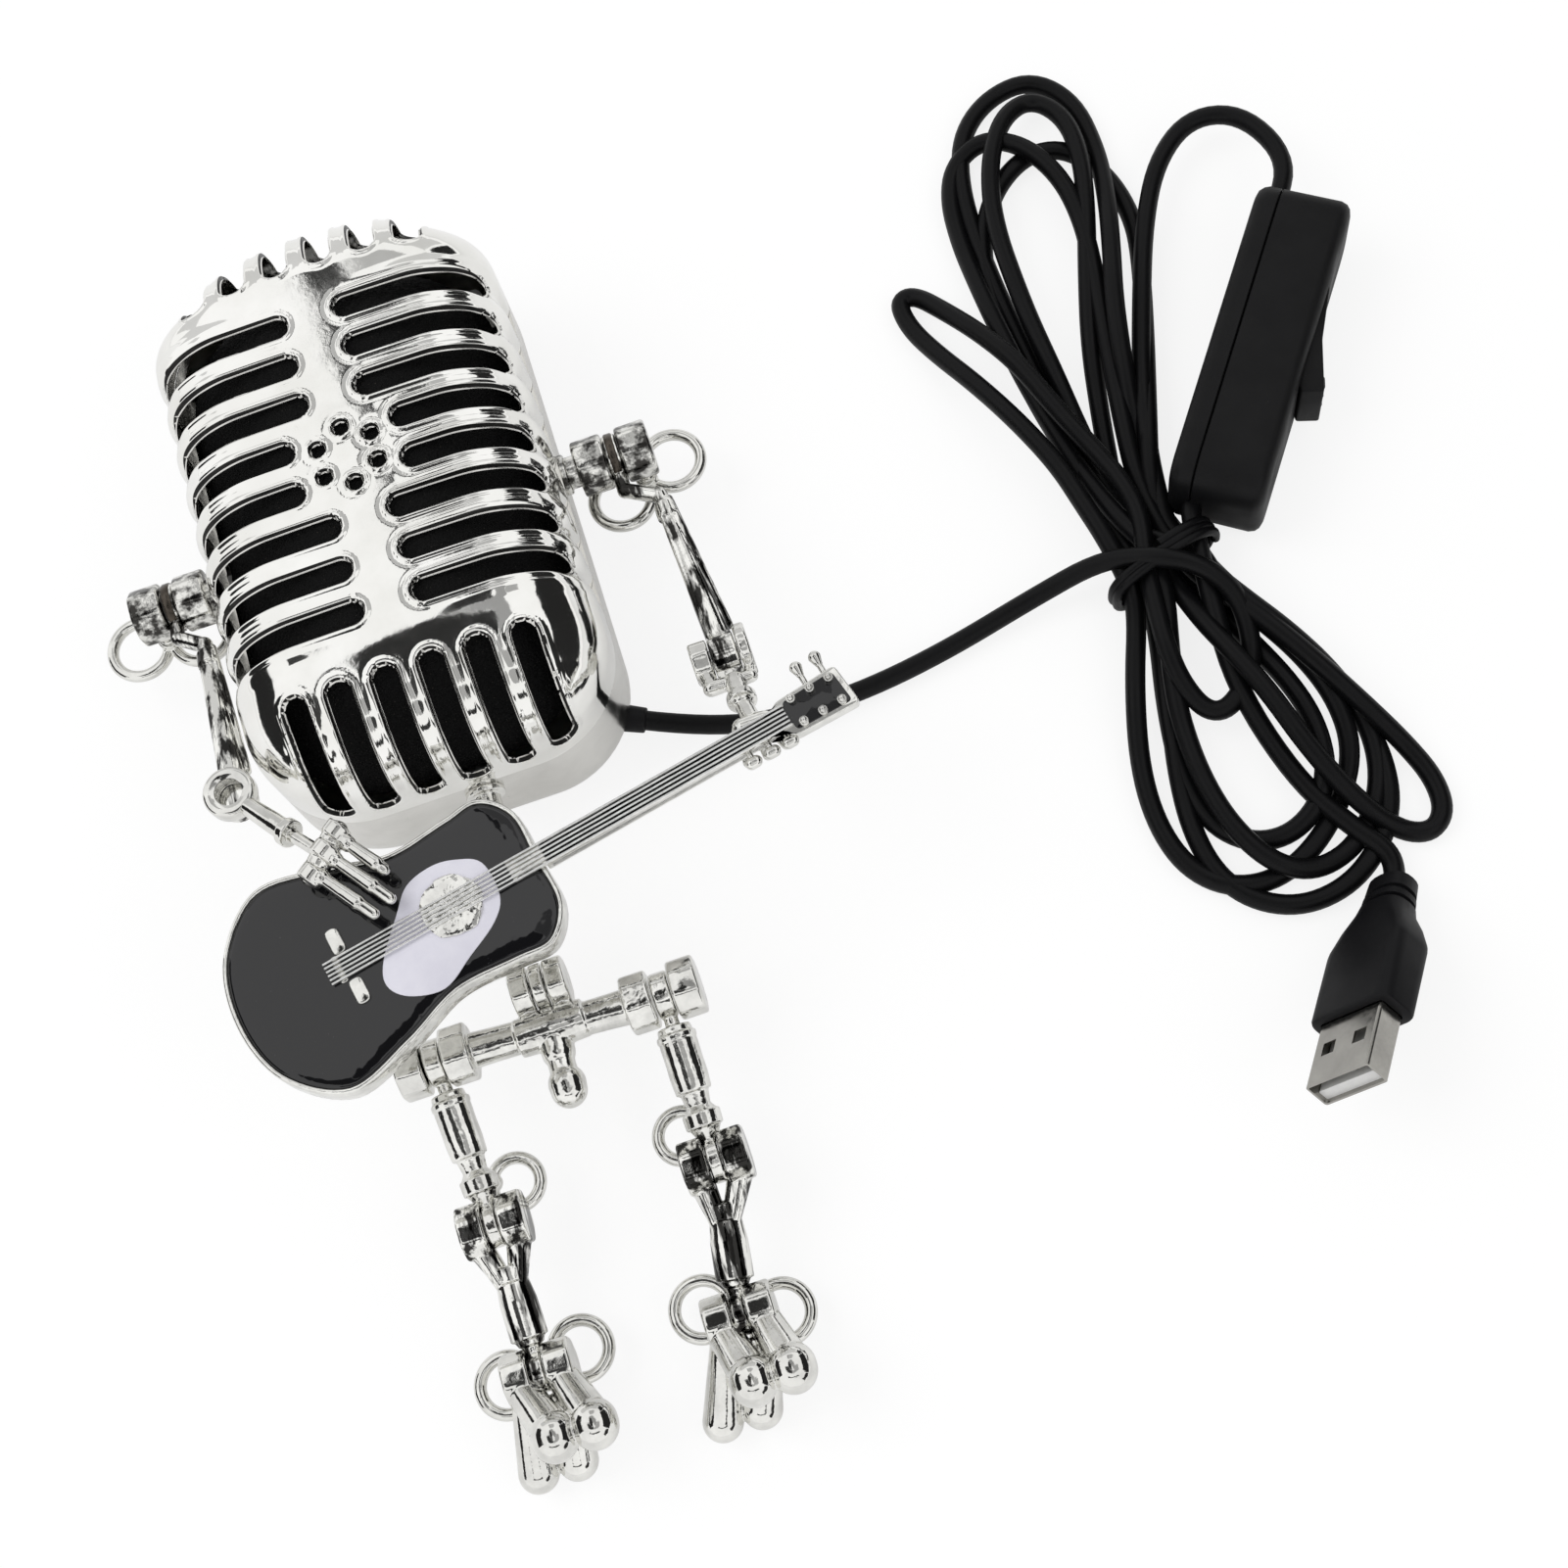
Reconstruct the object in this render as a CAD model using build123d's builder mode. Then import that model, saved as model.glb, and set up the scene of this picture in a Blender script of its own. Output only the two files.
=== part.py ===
"""Robot shaped desk lamp: a slotted lamp head with cast arms and legs, a small guitar and a corded switch.

The lamp lies on its back.  Millimetres, +Z up, +Y from the feet to the crown of the head.
The origin is the centre of the head's flat back.
"""
from math import asin, cos, hypot, pi, radians, sin, tan
import os

from build123d import *

os.makedirs("parts", exist_ok=True)

# ---------------------------------------------------------------- fits
running_clearance = 0.05        # radial, between a hinge pin and the piece that turns on it
seat_clearance = 0.03           # radial, between a pin or stud and the piece that holds it
side_clearance = 0.15           # beside a tongue in its fork

# ---------------------------------------------------------------- head
head_width = 58.6
head_length = 99.0
head_shift = -1.5               # middle of the shells from the middle of the slot rows
head_corner = 16.5
rear_depth = 21.0
front_depth = 21.0
front_round = 14.0
rear_round = 9.0
head_wall = 1.6
row_count = 8
row_pitch = 7.5
row_slot_height = 4.4
row_slot_inner = 3.6            # from the middle line to the slot's rounded end
ring_slot_inner = 7.7           # the same for the two rows beside the hole ring
row_slot_edge = 2.3             # from the shell's side to the slot's outer end
row_slot_floor = 9.0            # how far above the seam the row slots are cut
scallop_radius = 2.2
scallop_depth = 0.9
end_slot_count = 6
end_slot_pitch = 7.35
end_slot_width = 4.4
end_slot_inner = 35.5           # from the middle of the rows to the slot's rounded end
end_slot_floor = 3.5            # above the seam
hole_ring_radius = 5.06
hole_radius = 1.5
dimple_depth = 0.7
foam_thickness = 2.0
foam_gap = 0.2
foam_start = 3.0                # above the seam
boss_radius = 3.2
boss_inset = 4.5                # from the shell's side to the boss's middle
boss_y = 30.0
boss_height = 9.0
screw_radius = 1.25
screw_head_radius = 2.4
screw_head_height = 2.0
screw_grip = 6.0                # rear boss left under the screw's head
screw_bite = 6.0
board_width = 43.0
board_length = 82.0
board_thickness = 1.6
board_corner = 8.0
board_height = 15.0             # underside of the board above the back
rail_width = 5.0
rail_length = 60.0
rail_spacing = 28.0
chip_side = 5.0
chip_height = 1.4
chip_pitch_x = 13.0
chip_pitch_y = 15.0

# ---------------------------------------------------------------- studs, shoulders, neck
stud_height = 17.5              # shoulders, neck and hips lie at this height
stud_radius = 2.0
stud_reach = 4.6                # length of the stud inside the shell
stud_flange_radius = 3.2
stud_flange_thickness = 1.0
nut_flats = 7.0
nut_thickness = 2.8
shoulder_y = -2.0
shoulder_gap = 9.05             # from the shell's side to the middle of the shoulder
block_flats = 8.2
block_width = 3.9
eyelet_width = 2.3
eyelet_radius = 4.0
shoulder_shaft_radius = 2.5
spindle_radius = 1.8
neck_x = 2.9
neck_radius = 2.2
waist_y = -84.5
waist_tongue = 2.2
waist_ear_width = 3.1
waist_flats = 7.4

# ---------------------------------------------------------------- wing screws and rings
wire_radius = 0.8
wing_ring_radius = 5.0
wing_spread = 5.3               # from the hub to the middle of each loop
wing_drop = 3.3                 # loops below the flats of the shoulder's outer block
wing_stud_radius = 1.1
wing_stud_bite = 1.6
wing_turn_right = 22.0
wing_turn_left = -5.0
knee_ring_radius = 3.8
knee_ring_offset = 5.2
knee_ring_drop = 6.0            # below the thigh's axis
ankle_wing_radius = 4.3
ankle_wing_spread = 6.0
hub_thickness = 1.8

# ---------------------------------------------------------------- arms
arm_length = 44.0
arm_pitch_left = -16.0          # degrees below the horizontal, so a rising arm is negative
arm_pitch_right = -9.7
arm_crank_left = 5.85
arm_crank_right = 7.25
arm_stem_radius = 1.15
arm_stem_length = 6.9
arm_tube_top = 1.2
arm_tube_bottom = 2.1
arm_rod_radius = 0.85
elbow_flats = 6.8
elbow_block_width = 4.2
elbow_ear_width = 3.0
elbow_disc_width = 1.9
elbow_disc_radius = 4.3
elbow_pin_radius = 1.5
forearm_pitch_right = -22.0
ring_radius = 4.1
ring_hole_radius = 2.2
ring_thickness = 3.0
elbow_base_radius = 3.2
elbow_base_thickness = 3.0
forearm_turn_left = 37.2        # degrees about +Z, away from straight down the lamp
finger_radius = 0.9
forearm_tube_radius = 1.7
forearm_rod_radius = 1.05
palm_radius = 1.5
knuckle_height = 7.9            # above the ring's middle
fingertip_height = 8.4
knuckle_reach = 22.0
finger_lines_left = ((-3.0, -2.9, -34.4), (0.2, 0.2, -35.0), (3.2, 3.1, -31.6))     # root x, tip x, tip y
collar_radius = 2.3

# ---------------------------------------------------------------- pelvis and legs
hip_left = (-15.5, -90.5)
hip_right = (20.5, -91.9)
hip_gap = 3.2
hip_flats = 7.8
hip_ear_width = 4.0
hip_pin_radius = 1.7
hip_bar_radius = 2.5
peg_radius = 1.4
peg_ball_radius = 2.3
peg_length = 9.6
thigh_length = 26.0
thigh_pitch = 10.0
thigh_crank_left = 1.5
thigh_crank_right = 0.0
thigh_radius = 2.4
shin_length = 22.5
shin_pitch = 9.0
shin_crank_left = 0.3
shin_crank_right = -3.4
shin_radius = 2.35
knee_gap = 2.3
knee_ear_width = 3.6
knee_flats = 7.4
ankle_gap = 2.3
ankle_ear_width = 4.0
ankle_flats = 7.0
leg_pin_radius = 1.3
pin_head_depth = 0.5            # pins end this far inside the ears' outer faces
toe_radius = 3.0
toe_neck_radius = 2.0
toe_forward = 10.0
toe_rise = 5.0
toe_spacing = 6.1
toe_shift_left = 3.6            # middle of the toes beside the ankle's middle
toe_shift_right = 2.5
heel_radius = 2.9
heel_neck_radius = 1.7
heel_back = 13.1
heel_drop = 5.5
heel_spacing = 6.1
heel_shift_left = -2.0
heel_shift_right = -4.5

# ---------------------------------------------------------------- guitar
guitar_centre = (-3.2, -75.7)
guitar_turn = 11.7
guitar_back_height = 33.5
guitar_thickness = 4.5
guitar_middle = 0.9             # the body's middle line beside the soundhole
tail_reach = 35.6
shoulder_reach = 14.6
lower_bout = 17.5
waist_half = 12.2
upper_bout = 12.8
rim_width = 0.8
enamel_depth = 0.6
pickguard_thickness = 0.25
plate_radius = 4.6
plate_thickness = 0.3
string_count = 6
string_pitch = 0.62
string_radius = 0.26
string_start = -20.5
string_middle = 0.6
neck_width = 3.6
neck_depth = 2.8
neck_end = 55.5
headstock_end = 66.6
headstock_depth = 2.2
peg_spacing = 4.1
first_peg = 57.0
tuner_post_radius = 0.7
tuner_ball_radius = 1.0
tuner_shaft_radius = 0.42
stud_y = -71.0
guitar_stud_radius = 1.8
guitar_stud_flange = 4.0
stud_collar_radius = 3.8
stud_collar_length = 6.0

# ---------------------------------------------------------------- cord, switch and plug
cord_radius = 1.65
grommet_azimuth = -27.0
grommet_height = 5.5
grommet_radius = 2.8
grommet_flange_radius = 3.6
grommet_flange = 1.2
grommet_length = 5.0
hank_height = 9.6
hank_floor = 0.4
tie_centre = (117.2, -46.3)
tie_direction = (0.285, -0.958)
tie_width = 18.0
tie_length = 3.4
tie_height = 10.2
switch_centre = (144.5, -18.0)
switch_direction = (-0.588, -0.809)
switch_length = 58.0
switch_width = 15.8
switch_depth = 17.0
switch_floor = 0.2
switch_corner = 5.0
switch_edge = 1.6
switch_seam = 4.0               # thickness of the case's base
cord_entry_offset = 3.9         # from the case's middle towards its base
cord_entry_height = 8.5
rocker_length = 21.0
rocker_depth = 10.4
rocker_offset = 3.0             # the rocker's pivot from the case's middle, towards the top end
rocker_reach = 2.5              # depth of the pivot below the case's face
rocker_keel = 3.4               # depth of the rocker below its pivot
rocker_pocket = 6.6
rocker_tilt = 11.0
rocker_gap = 0.3
rocker_pin_radius = 1.0
plug_start = (131.7, -108.3, 3.5)
plug_direction = (-0.534, -0.742, 0.407)
plug_side = (0.745, 0.03, 0.667)
relief_length = 7.6
relief_width = 9.6
relief_depth = 7.0
overmold_width = 15.4
overmold_depth = 7.25
overmold_length = 20.2
overmold_taper = 6.4
shell_width = 12.0
shell_depth = 4.5
shell_length = 11.75
shell_seat = 6.0
shell_wall = 0.35
tongue_depth = 1.85


# ---------------------------------------------------------------- helpers
def limb_frame(origin, pitch):
    """Plane at a joint: x along the hinge, -y down the limb, z out of its front."""
    drop = radians(pitch)
    return Plane(origin=origin, x_dir=(1, 0, 0), z_dir=(0, -sin(drop), cos(drop)))


def at(frame, x, y, z=0.0):
    """Point given in a frame, as a vector of the lamp."""
    return frame.from_local_coords((x, y, z))


def across(frame, x):
    """Plane square to the frame's x direction, at distance x."""
    return Plane(origin=at(frame, x, 0), x_dir=frame.y_dir, z_dir=frame.x_dir)


def disc(frame, low, high, radius, mode=Mode.ADD):
    """Cylinder round the frame's x axis, from x = low to x = high."""
    with BuildSketch(across(frame, low)) as outline:
        Circle(radius)
    extrude(outline.sketch, amount=high - low, mode=mode)


def octagon(frame, low, high, flats, mode=Mode.ADD):
    """Eight-sided block round the frame's x axis, from x = low to x = high."""
    with BuildSketch(across(frame, low)) as outline:
        RegularPolygon(flats / 2, 8, major_radius=False, rotation=22.5)
    extrude(outline.sketch, amount=high - low, mode=mode)


def along(start, end):
    """Plane at start whose normal points to end."""
    return Plane(origin=start, z_dir=end - start)


def rod(start, end, radius, mode=Mode.ADD):
    """Round bar between two points."""
    with BuildSketch(along(start, end)) as outline:
        Circle(radius)
    extrude(outline.sketch, amount=(end - start).length, mode=mode)


def cone(start, end, first, second):
    """Round bar between two points that changes radius."""
    with BuildSketch(along(start, end)) as foot:
        Circle(first)
    with BuildSketch(along(start, end).offset((end - start).length)) as head:
        Circle(second)
    loft(sections=[foot.sketch, head.sketch])


def ball(centre, radius):
    """Sphere at a point."""
    with Locations(Location(centre)):
        Sphere(radius)


def bulb(start, end, first, radius):
    """Cone from a point to a larger ball that shares its axis."""
    cone(start, end, first, radius * 0.72)
    with Locations(along(end, end + end - start).location):
        Sphere(radius)


def domed_block(plane, grow, depth, rounding):
    """The head's plan, grown all round, raised from a plane with its far edge rounded."""
    middle = plane.to_local_coords(plane.origin + Vector(0, head_shift, 0))
    with BuildPart() as block:
        with BuildSketch(plane):
            with Locations((middle.X, middle.Y)):
                RectangleRounded(head_width + 2 * grow, head_length + 2 * grow, head_corner + grow)
        extrude(amount=depth)
        far_face = block.faces().sort_by(Axis(plane.origin, plane.z_dir))[-1]
        fillet(far_face.edges(), rounding)
    return block.part


# ---------------------------------------------------------------- head shells
seam = Plane.XY.offset(rear_depth)
seam_down = Plane(origin=seam.origin, x_dir=(1, 0, 0), z_dir=(0, 0, -1))
head_top = rear_depth + front_depth
half_width = head_width / 2
half_length = head_length / 2
row_slot_outer = half_width - row_slot_edge
boss_x = half_width - boss_inset
shoulder_x = half_width + shoulder_gap
boss_places = [(boss_x, boss_y), (-boss_x, boss_y), (boss_x, -boss_y), (-boss_x, -boss_y)]
chin_y = head_shift - half_length
corner_centre = (half_width - head_corner, chin_y + head_corner)
exit_turn = radians(grommet_azimuth)
exit_direction = Vector(cos(exit_turn), sin(exit_turn), 0)
exit_axis = Vector(corner_centre[0], corner_centre[1], grommet_height)
grommet_seat = exit_axis + exit_direction * (head_corner + 0.2)
grommet_face = grommet_seat + exit_direction * grommet_flange
grommet_back = grommet_seat - exit_direction * grommet_length

front_outer = domed_block(seam, 0.0, front_depth, front_round)
front_inner = domed_block(seam, -head_wall, front_depth - head_wall, front_round - head_wall)
rear_outer = domed_block(seam_down, 0.0, rear_depth, rear_round)
rear_inner = domed_block(seam_down, -head_wall, rear_depth - head_wall, rear_round - head_wall)

with BuildPart() as end_slots:
    with BuildSketch(seam.offset(end_slot_floor)):
        for end in (-1, 1):
            reach = half_length + end * head_shift + 4 * head_wall - end_slot_inner
            with Locations((0, end * (end_slot_inner + reach / 2))):
                with GridLocations(end_slot_pitch, 0, end_slot_count, 1):
                    SlotOverall(reach, end_slot_width, rotation=90)
    extrude(amount=front_depth)
    with BuildSketch(Plane.XZ):
        with Locations((0, rear_depth + end_slot_floor + front_depth / 2)):
            with GridLocations(end_slot_pitch, 0, end_slot_count, 1):
                SlotOverall(front_depth, end_slot_width, rotation=90)
    extrude(amount=head_length, both=True, mode=Mode.INTERSECT)

with BuildPart() as front_grille_shell:
    add(front_outer)
    add(front_inner, mode=Mode.SUBTRACT)
    add(end_slots.part, mode=Mode.SUBTRACT)
    with BuildSketch(seam.offset(row_slot_floor)):
        for row in range(row_count):
            row_y = (row_count - 1 - 2 * row) * row_pitch / 2
            beside_ring = abs(row_y) < row_pitch
            inner_end = ring_slot_inner if beside_ring else row_slot_inner
            slot_length = row_slot_outer - inner_end
            for side in (-1, 1):
                with Locations((side * (inner_end + slot_length / 2), row_y)):
                    SlotOverall(slot_length, row_slot_height)
    extrude(amount=front_depth, mode=Mode.SUBTRACT)
    with BuildSketch(seam):
        for side in (-1, 1):
            with Locations((side * (half_width + scallop_radius - scallop_depth), 0)):
                with GridLocations(0, row_pitch, 1, row_count):
                    Circle(scallop_radius)
    extrude(amount=front_depth, mode=Mode.SUBTRACT)
    with BuildSketch(Plane.XY.offset(head_top - 2 * head_wall)):
        with PolarLocations(hole_ring_radius, 6, start_angle=90):
            Circle(hole_radius)
    extrude(amount=3 * head_wall, mode=Mode.SUBTRACT)
    with BuildSketch(Plane.XY.offset(head_top - dimple_depth)):
        Circle(hole_radius)
    extrude(amount=head_wall, mode=Mode.SUBTRACT)
    with BuildSketch(seam):
        with Locations(*boss_places):
            Circle(boss_radius)
    extrude(amount=boss_height)
    with BuildSketch(seam):
        with Locations(*boss_places):
            Circle(screw_radius + seat_clearance)
    extrude(amount=screw_bite + seat_clearance, mode=Mode.SUBTRACT)

with BuildPart() as rear_bosses:
    with BuildSketch(Plane.XY):
        with Locations(*boss_places):
            Circle(boss_radius)
    extrude(amount=rear_depth)
    add(rear_outer, mode=Mode.INTERSECT)

shoulder_stud_line = Plane(origin=(0, shoulder_y, stud_height), x_dir=(1, 0, 0), z_dir=(0, 0, 1))
neck_line = Vector(neck_x, 0, stud_height)

with BuildPart() as rear_shell:
    add(rear_outer)
    add(rear_inner, mode=Mode.SUBTRACT)
    add(rear_bosses.part)
    with BuildSketch(Plane.XY):
        with Locations(*boss_places):
            Circle(screw_radius + running_clearance)
    extrude(amount=rear_depth, mode=Mode.SUBTRACT)
    with BuildSketch(Plane.XY):
        with Locations(*boss_places):
            Circle(screw_head_radius + running_clearance)
    extrude(amount=rear_depth - screw_grip, mode=Mode.SUBTRACT)
    disc(shoulder_stud_line, -head_width, head_width, stud_radius + seat_clearance, Mode.SUBTRACT)
    rod(neck_line + Vector(0, -head_length, 0), neck_line, stud_radius + seat_clearance, Mode.SUBTRACT)
    rod(grommet_back, grommet_face, grommet_radius, Mode.SUBTRACT)
    rod(grommet_seat, grommet_face + exit_direction * head_wall, grommet_flange_radius, Mode.SUBTRACT)
front_grille_shell.part.label = "front_grille_shell"
rear_shell.part.label = "rear_shell"
export_step(front_grille_shell.part, "parts/front_grille_shell.step")
export_step(rear_shell.part, "parts/rear_shell.step")

# ---------------------------------------------------------------- inside the head
foam_plane = seam.offset(foam_start)
foam_inset = head_wall + foam_gap
foam_depth = front_depth - foam_start - foam_inset
foam_outer = domed_block(foam_plane, -foam_inset, foam_depth, front_round - foam_inset)
foam_inner = domed_block(foam_plane, -foam_inset - foam_thickness, foam_depth - foam_thickness,
                         front_round - foam_inset - foam_thickness)
with BuildPart() as grille_foam:
    add(foam_outer)
    add(foam_inner, mode=Mode.SUBTRACT)
    with BuildSketch(foam_plane):
        with Locations(*boss_places):
            Circle(boss_radius + foam_gap)
    extrude(amount=boss_height - foam_start + foam_gap, mode=Mode.SUBTRACT)
grille_foam.part.label = "grille_foam"
export_step(grille_foam.part, "parts/grille_foam.step")

with BuildPart() as led_board:
    with BuildSketch(Plane.XY.offset(board_height)):
        RectangleRounded(board_width, board_length, board_corner)
    extrude(amount=board_thickness)
led_board.part.label = "led_board"
export_step(led_board.part, "parts/led_board.step")

with BuildPart() as led_chips:
    with BuildSketch(Plane.XY.offset(board_height + board_thickness)):
        with GridLocations(chip_pitch_x, chip_pitch_y, 3, 5):
            Rectangle(chip_side, chip_side)
    extrude(amount=chip_height)
led_chips.part.label = "led_chips"
export_step(led_chips.part, "parts/led_chips.step")

with BuildPart() as led_bracket:
    with BuildSketch(Plane.XY.offset(head_wall)):
        with GridLocations(rail_spacing, 0, 2, 1):
            Rectangle(rail_width, rail_length)
    extrude(amount=board_height - head_wall)
    with BuildSketch(Plane.XY.offset(head_wall)):
        with GridLocations(0, rail_length - rail_width, 1, 2):
            Rectangle(rail_spacing, rail_width)
    extrude(amount=rail_width)
led_bracket.part.label = "led_bracket"
export_step(led_bracket.part, "parts/led_bracket.step")

screw_seat = rear_depth - screw_grip
with BuildPart() as shell_screws:
    with BuildSketch(Plane.XY.offset(screw_seat - screw_head_height)):
        with Locations(*boss_places):
            Circle(screw_head_radius)
    extrude(amount=screw_head_height)
    with BuildSketch(Plane.XY.offset(screw_seat)):
        with Locations(*boss_places):
            Circle(screw_radius)
    extrude(amount=screw_grip + screw_bite)
    with BuildSketch(Plane.XY.offset(screw_seat - screw_head_height)):
        with Locations(*boss_places):
            Rectangle(2.6, 0.7)
            Rectangle(0.7, 2.6)
    extrude(amount=screw_head_height / 2, mode=Mode.SUBTRACT)
shell_screws.part.label = "shell_screws"
export_step(shell_screws.part, "parts/shell_screws.step")

with BuildPart() as cord_grommet:
    rod(grommet_back, grommet_seat, grommet_radius - seat_clearance)
    rod(grommet_seat, grommet_face, grommet_flange_radius - seat_clearance)
    rod(grommet_back, grommet_face, cord_radius + seat_clearance, Mode.SUBTRACT)
cord_grommet.part.label = "cord_grommet"
export_step(cord_grommet.part, "parts/cord_grommet.step")

# ---------------------------------------------------------------- shoulders
inner_wall_x = half_width - head_wall
eyelet_half = eyelet_width / 2
outer_block_start = eyelet_half + side_clearance
stud_end_x = half_width - stud_reach
wing_hub_y = -block_flats / 2 * 0.35
spindle_end = outer_block_start + block_width - 1.0


def shoulder_frame(side):
    """Frame at a shoulder whose x points away from the head."""
    return Plane(origin=(side * shoulder_x, shoulder_y, stud_height), x_dir=(side, 0, 0), z_dir=(0, 0, 1))


def shoulder_block(side):
    """Stud through the shell, inner octagon block and the spindle that the arm turns on."""
    frame = shoulder_frame(side)
    wall = half_width - shoulder_x
    with BuildPart() as block:
        disc(frame, stud_end_x - shoulder_x, wall, stud_radius)
        disc(frame, wall, wall + stud_flange_thickness, stud_flange_radius)
        disc(frame, wall, -outer_block_start - block_width, shoulder_shaft_radius)
        octagon(frame, -outer_block_start - block_width, -outer_block_start, block_flats)
        disc(frame, -outer_block_start, spindle_end, spindle_radius)
    return block.part


def shoulder_nut(side):
    """Outer octagon block, bored for the spindle and, from behind, for the wing screw."""
    frame = shoulder_frame(side)
    with BuildPart() as nut:
        octagon(frame, outer_block_start, outer_block_start + block_width, block_flats)
        disc(frame, outer_block_start, spindle_end + seat_clearance, spindle_radius + seat_clearance,
             Mode.SUBTRACT)
        middle = outer_block_start + block_width / 2
        rod(at(frame, middle, wing_hub_y, -block_flats),
            at(frame, middle, wing_hub_y, -block_flats / 2 + wing_stud_bite),
            wing_stud_radius + seat_clearance, Mode.SUBTRACT)
    return nut.part


def wing_screw(side, turn):
    """Screw with two wire loops, set into the back of the outer block."""
    frame = shoulder_frame(side)
    middle = outer_block_start + block_width / 2
    hub = at(frame, middle, wing_hub_y, -block_flats / 2 - wing_drop)
    with BuildPart() as wing:
        rod(hub - Vector(0, 0, hub_thickness / 2), hub + Vector(0, 0, hub_thickness), 1.9)
        rod(hub, hub + Vector(0, 0, wing_drop + wing_stud_bite), wing_stud_radius)
        for way in (0, 180):
            angle = radians(turn + way)
            offset_x = wing_spread * cos(angle)
            offset_y = wing_spread * sin(angle)
            with Locations(Location(hub + Vector(offset_x, offset_y, 0))):
                Torus(wing_ring_radius, wire_radius)
    return wing.part


shoulder_block_left = shoulder_block(-1)
shoulder_block_right = shoulder_block(1)
shoulder_nut_left = shoulder_nut(-1)
shoulder_nut_right = shoulder_nut(1)
wing_screw_shoulder_left = wing_screw(-1, wing_turn_left)
wing_screw_shoulder_right = wing_screw(1, wing_turn_right)
shoulder_block_left.label = "shoulder_block_left"
shoulder_block_right.label = "shoulder_block_right"
shoulder_nut_left.label = "shoulder_nut_left"
shoulder_nut_right.label = "shoulder_nut_right"
wing_screw_shoulder_left.label = "wing_screw_shoulder_left"
wing_screw_shoulder_right.label = "wing_screw_shoulder_right"
for piece in (shoulder_block_left, shoulder_block_right, shoulder_nut_left, shoulder_nut_right,
              wing_screw_shoulder_left, wing_screw_shoulder_right):
    export_step(piece, f"parts/{piece.label}.step")

# ---------------------------------------------------------------- neck post and inner nuts
neck_flange_y = chin_y
waist_point = Vector(neck_x, waist_y, stud_height)
waist_frame = limb_frame(waist_point, 0.0)
with BuildPart() as neck_post:
    rod(neck_line + Vector(0, neck_flange_y + stud_reach, 0), neck_line + Vector(0, neck_flange_y, 0),
        stud_radius)
    rod(neck_line + Vector(0, neck_flange_y, 0),
        neck_line + Vector(0, neck_flange_y - stud_flange_thickness, 0), stud_flange_radius)
    rod(neck_line + Vector(0, neck_flange_y, 0), waist_point + Vector(0, waist_flats * 0.85, 0),
        neck_radius)
    cone(waist_point + Vector(0, waist_flats * 0.85, 0), waist_point + Vector(0, waist_flats * 0.6, 0),
         neck_radius, waist_tongue * 0.46)
    rod(waist_point + Vector(0, waist_flats * 0.62, 0), waist_point, waist_tongue * 0.46)
    disc(waist_frame, -waist_tongue / 2, waist_tongue / 2, waist_flats / 2)
    disc(waist_frame, -waist_tongue, waist_tongue, leg_pin_radius + running_clearance, Mode.SUBTRACT)
neck_post.part.label = "neck_post"
export_step(neck_post.part, "parts/neck_post.step")


def inner_nut(seat, direction):
    """Hexagon nut against the inside of the shell."""
    nut_plane = Plane(origin=seat, z_dir=direction)
    with BuildSketch(nut_plane) as outline:
        RegularPolygon(nut_flats / 2, 6, major_radius=False)
        Circle(stud_radius + seat_clearance, mode=Mode.SUBTRACT)
    extrude(outline.sketch, amount=nut_thickness)


with BuildPart() as stud_nuts:
    inner_nut(Vector(inner_wall_x, shoulder_y, stud_height), Vector(-1, 0, 0))
    inner_nut(Vector(-inner_wall_x, shoulder_y, stud_height), Vector(1, 0, 0))
    inner_nut(Vector(neck_x, chin_y + head_wall, stud_height), Vector(0, 1, 0))
stud_nuts.part.label = "stud_nuts"
export_step(stud_nuts.part, "parts/stud_nuts.step")

# ---------------------------------------------------------------- arms
shoulder_left = Vector(-shoulder_x, shoulder_y, stud_height)
shoulder_right = Vector(shoulder_x, shoulder_y, stud_height)
arm_frame_left = limb_frame(shoulder_left, arm_pitch_left)
arm_frame_right = limb_frame(shoulder_right, arm_pitch_right)
elbow_left = at(arm_frame_left, arm_crank_left, -arm_length)
elbow_right = at(arm_frame_right, arm_crank_right, -arm_length)
ring_middle = elbow_left + Vector(0, 0, elbow_base_thickness / 2 + side_clearance + ring_thickness / 2)


def upper_arm_core(frame, crank, end_gap):
    """Eyelet, cranked stem, tapering tube and the slim rod beside it."""
    turn_y = -arm_stem_length
    tube_start = at(frame, crank * 0.72, turn_y - 3.4)
    tube_end = at(frame, crank, end_gap - arm_length)
    disc(frame, -eyelet_half, eyelet_half, eyelet_radius)
    rod(at(frame, 0, 0), at(frame, 0, turn_y), arm_stem_radius)
    ball(at(frame, 0, turn_y), arm_stem_radius)
    cone(at(frame, 0, turn_y), tube_start, arm_stem_radius, arm_tube_top)
    ball(tube_start, arm_tube_top)
    cone(tube_start, tube_end, arm_tube_top, arm_tube_bottom)
    rod_side = arm_tube_bottom + arm_rod_radius * 0.4
    rod_start = at(frame, crank * 0.72 + arm_tube_top * 0.9, turn_y - 5.0)
    rod_end = at(frame, crank + rod_side * 0.8, end_gap - arm_length + 3.0, -0.8)
    rod(rod_start, rod_end, arm_rod_radius)
    ball(rod_end, arm_rod_radius)


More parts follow.
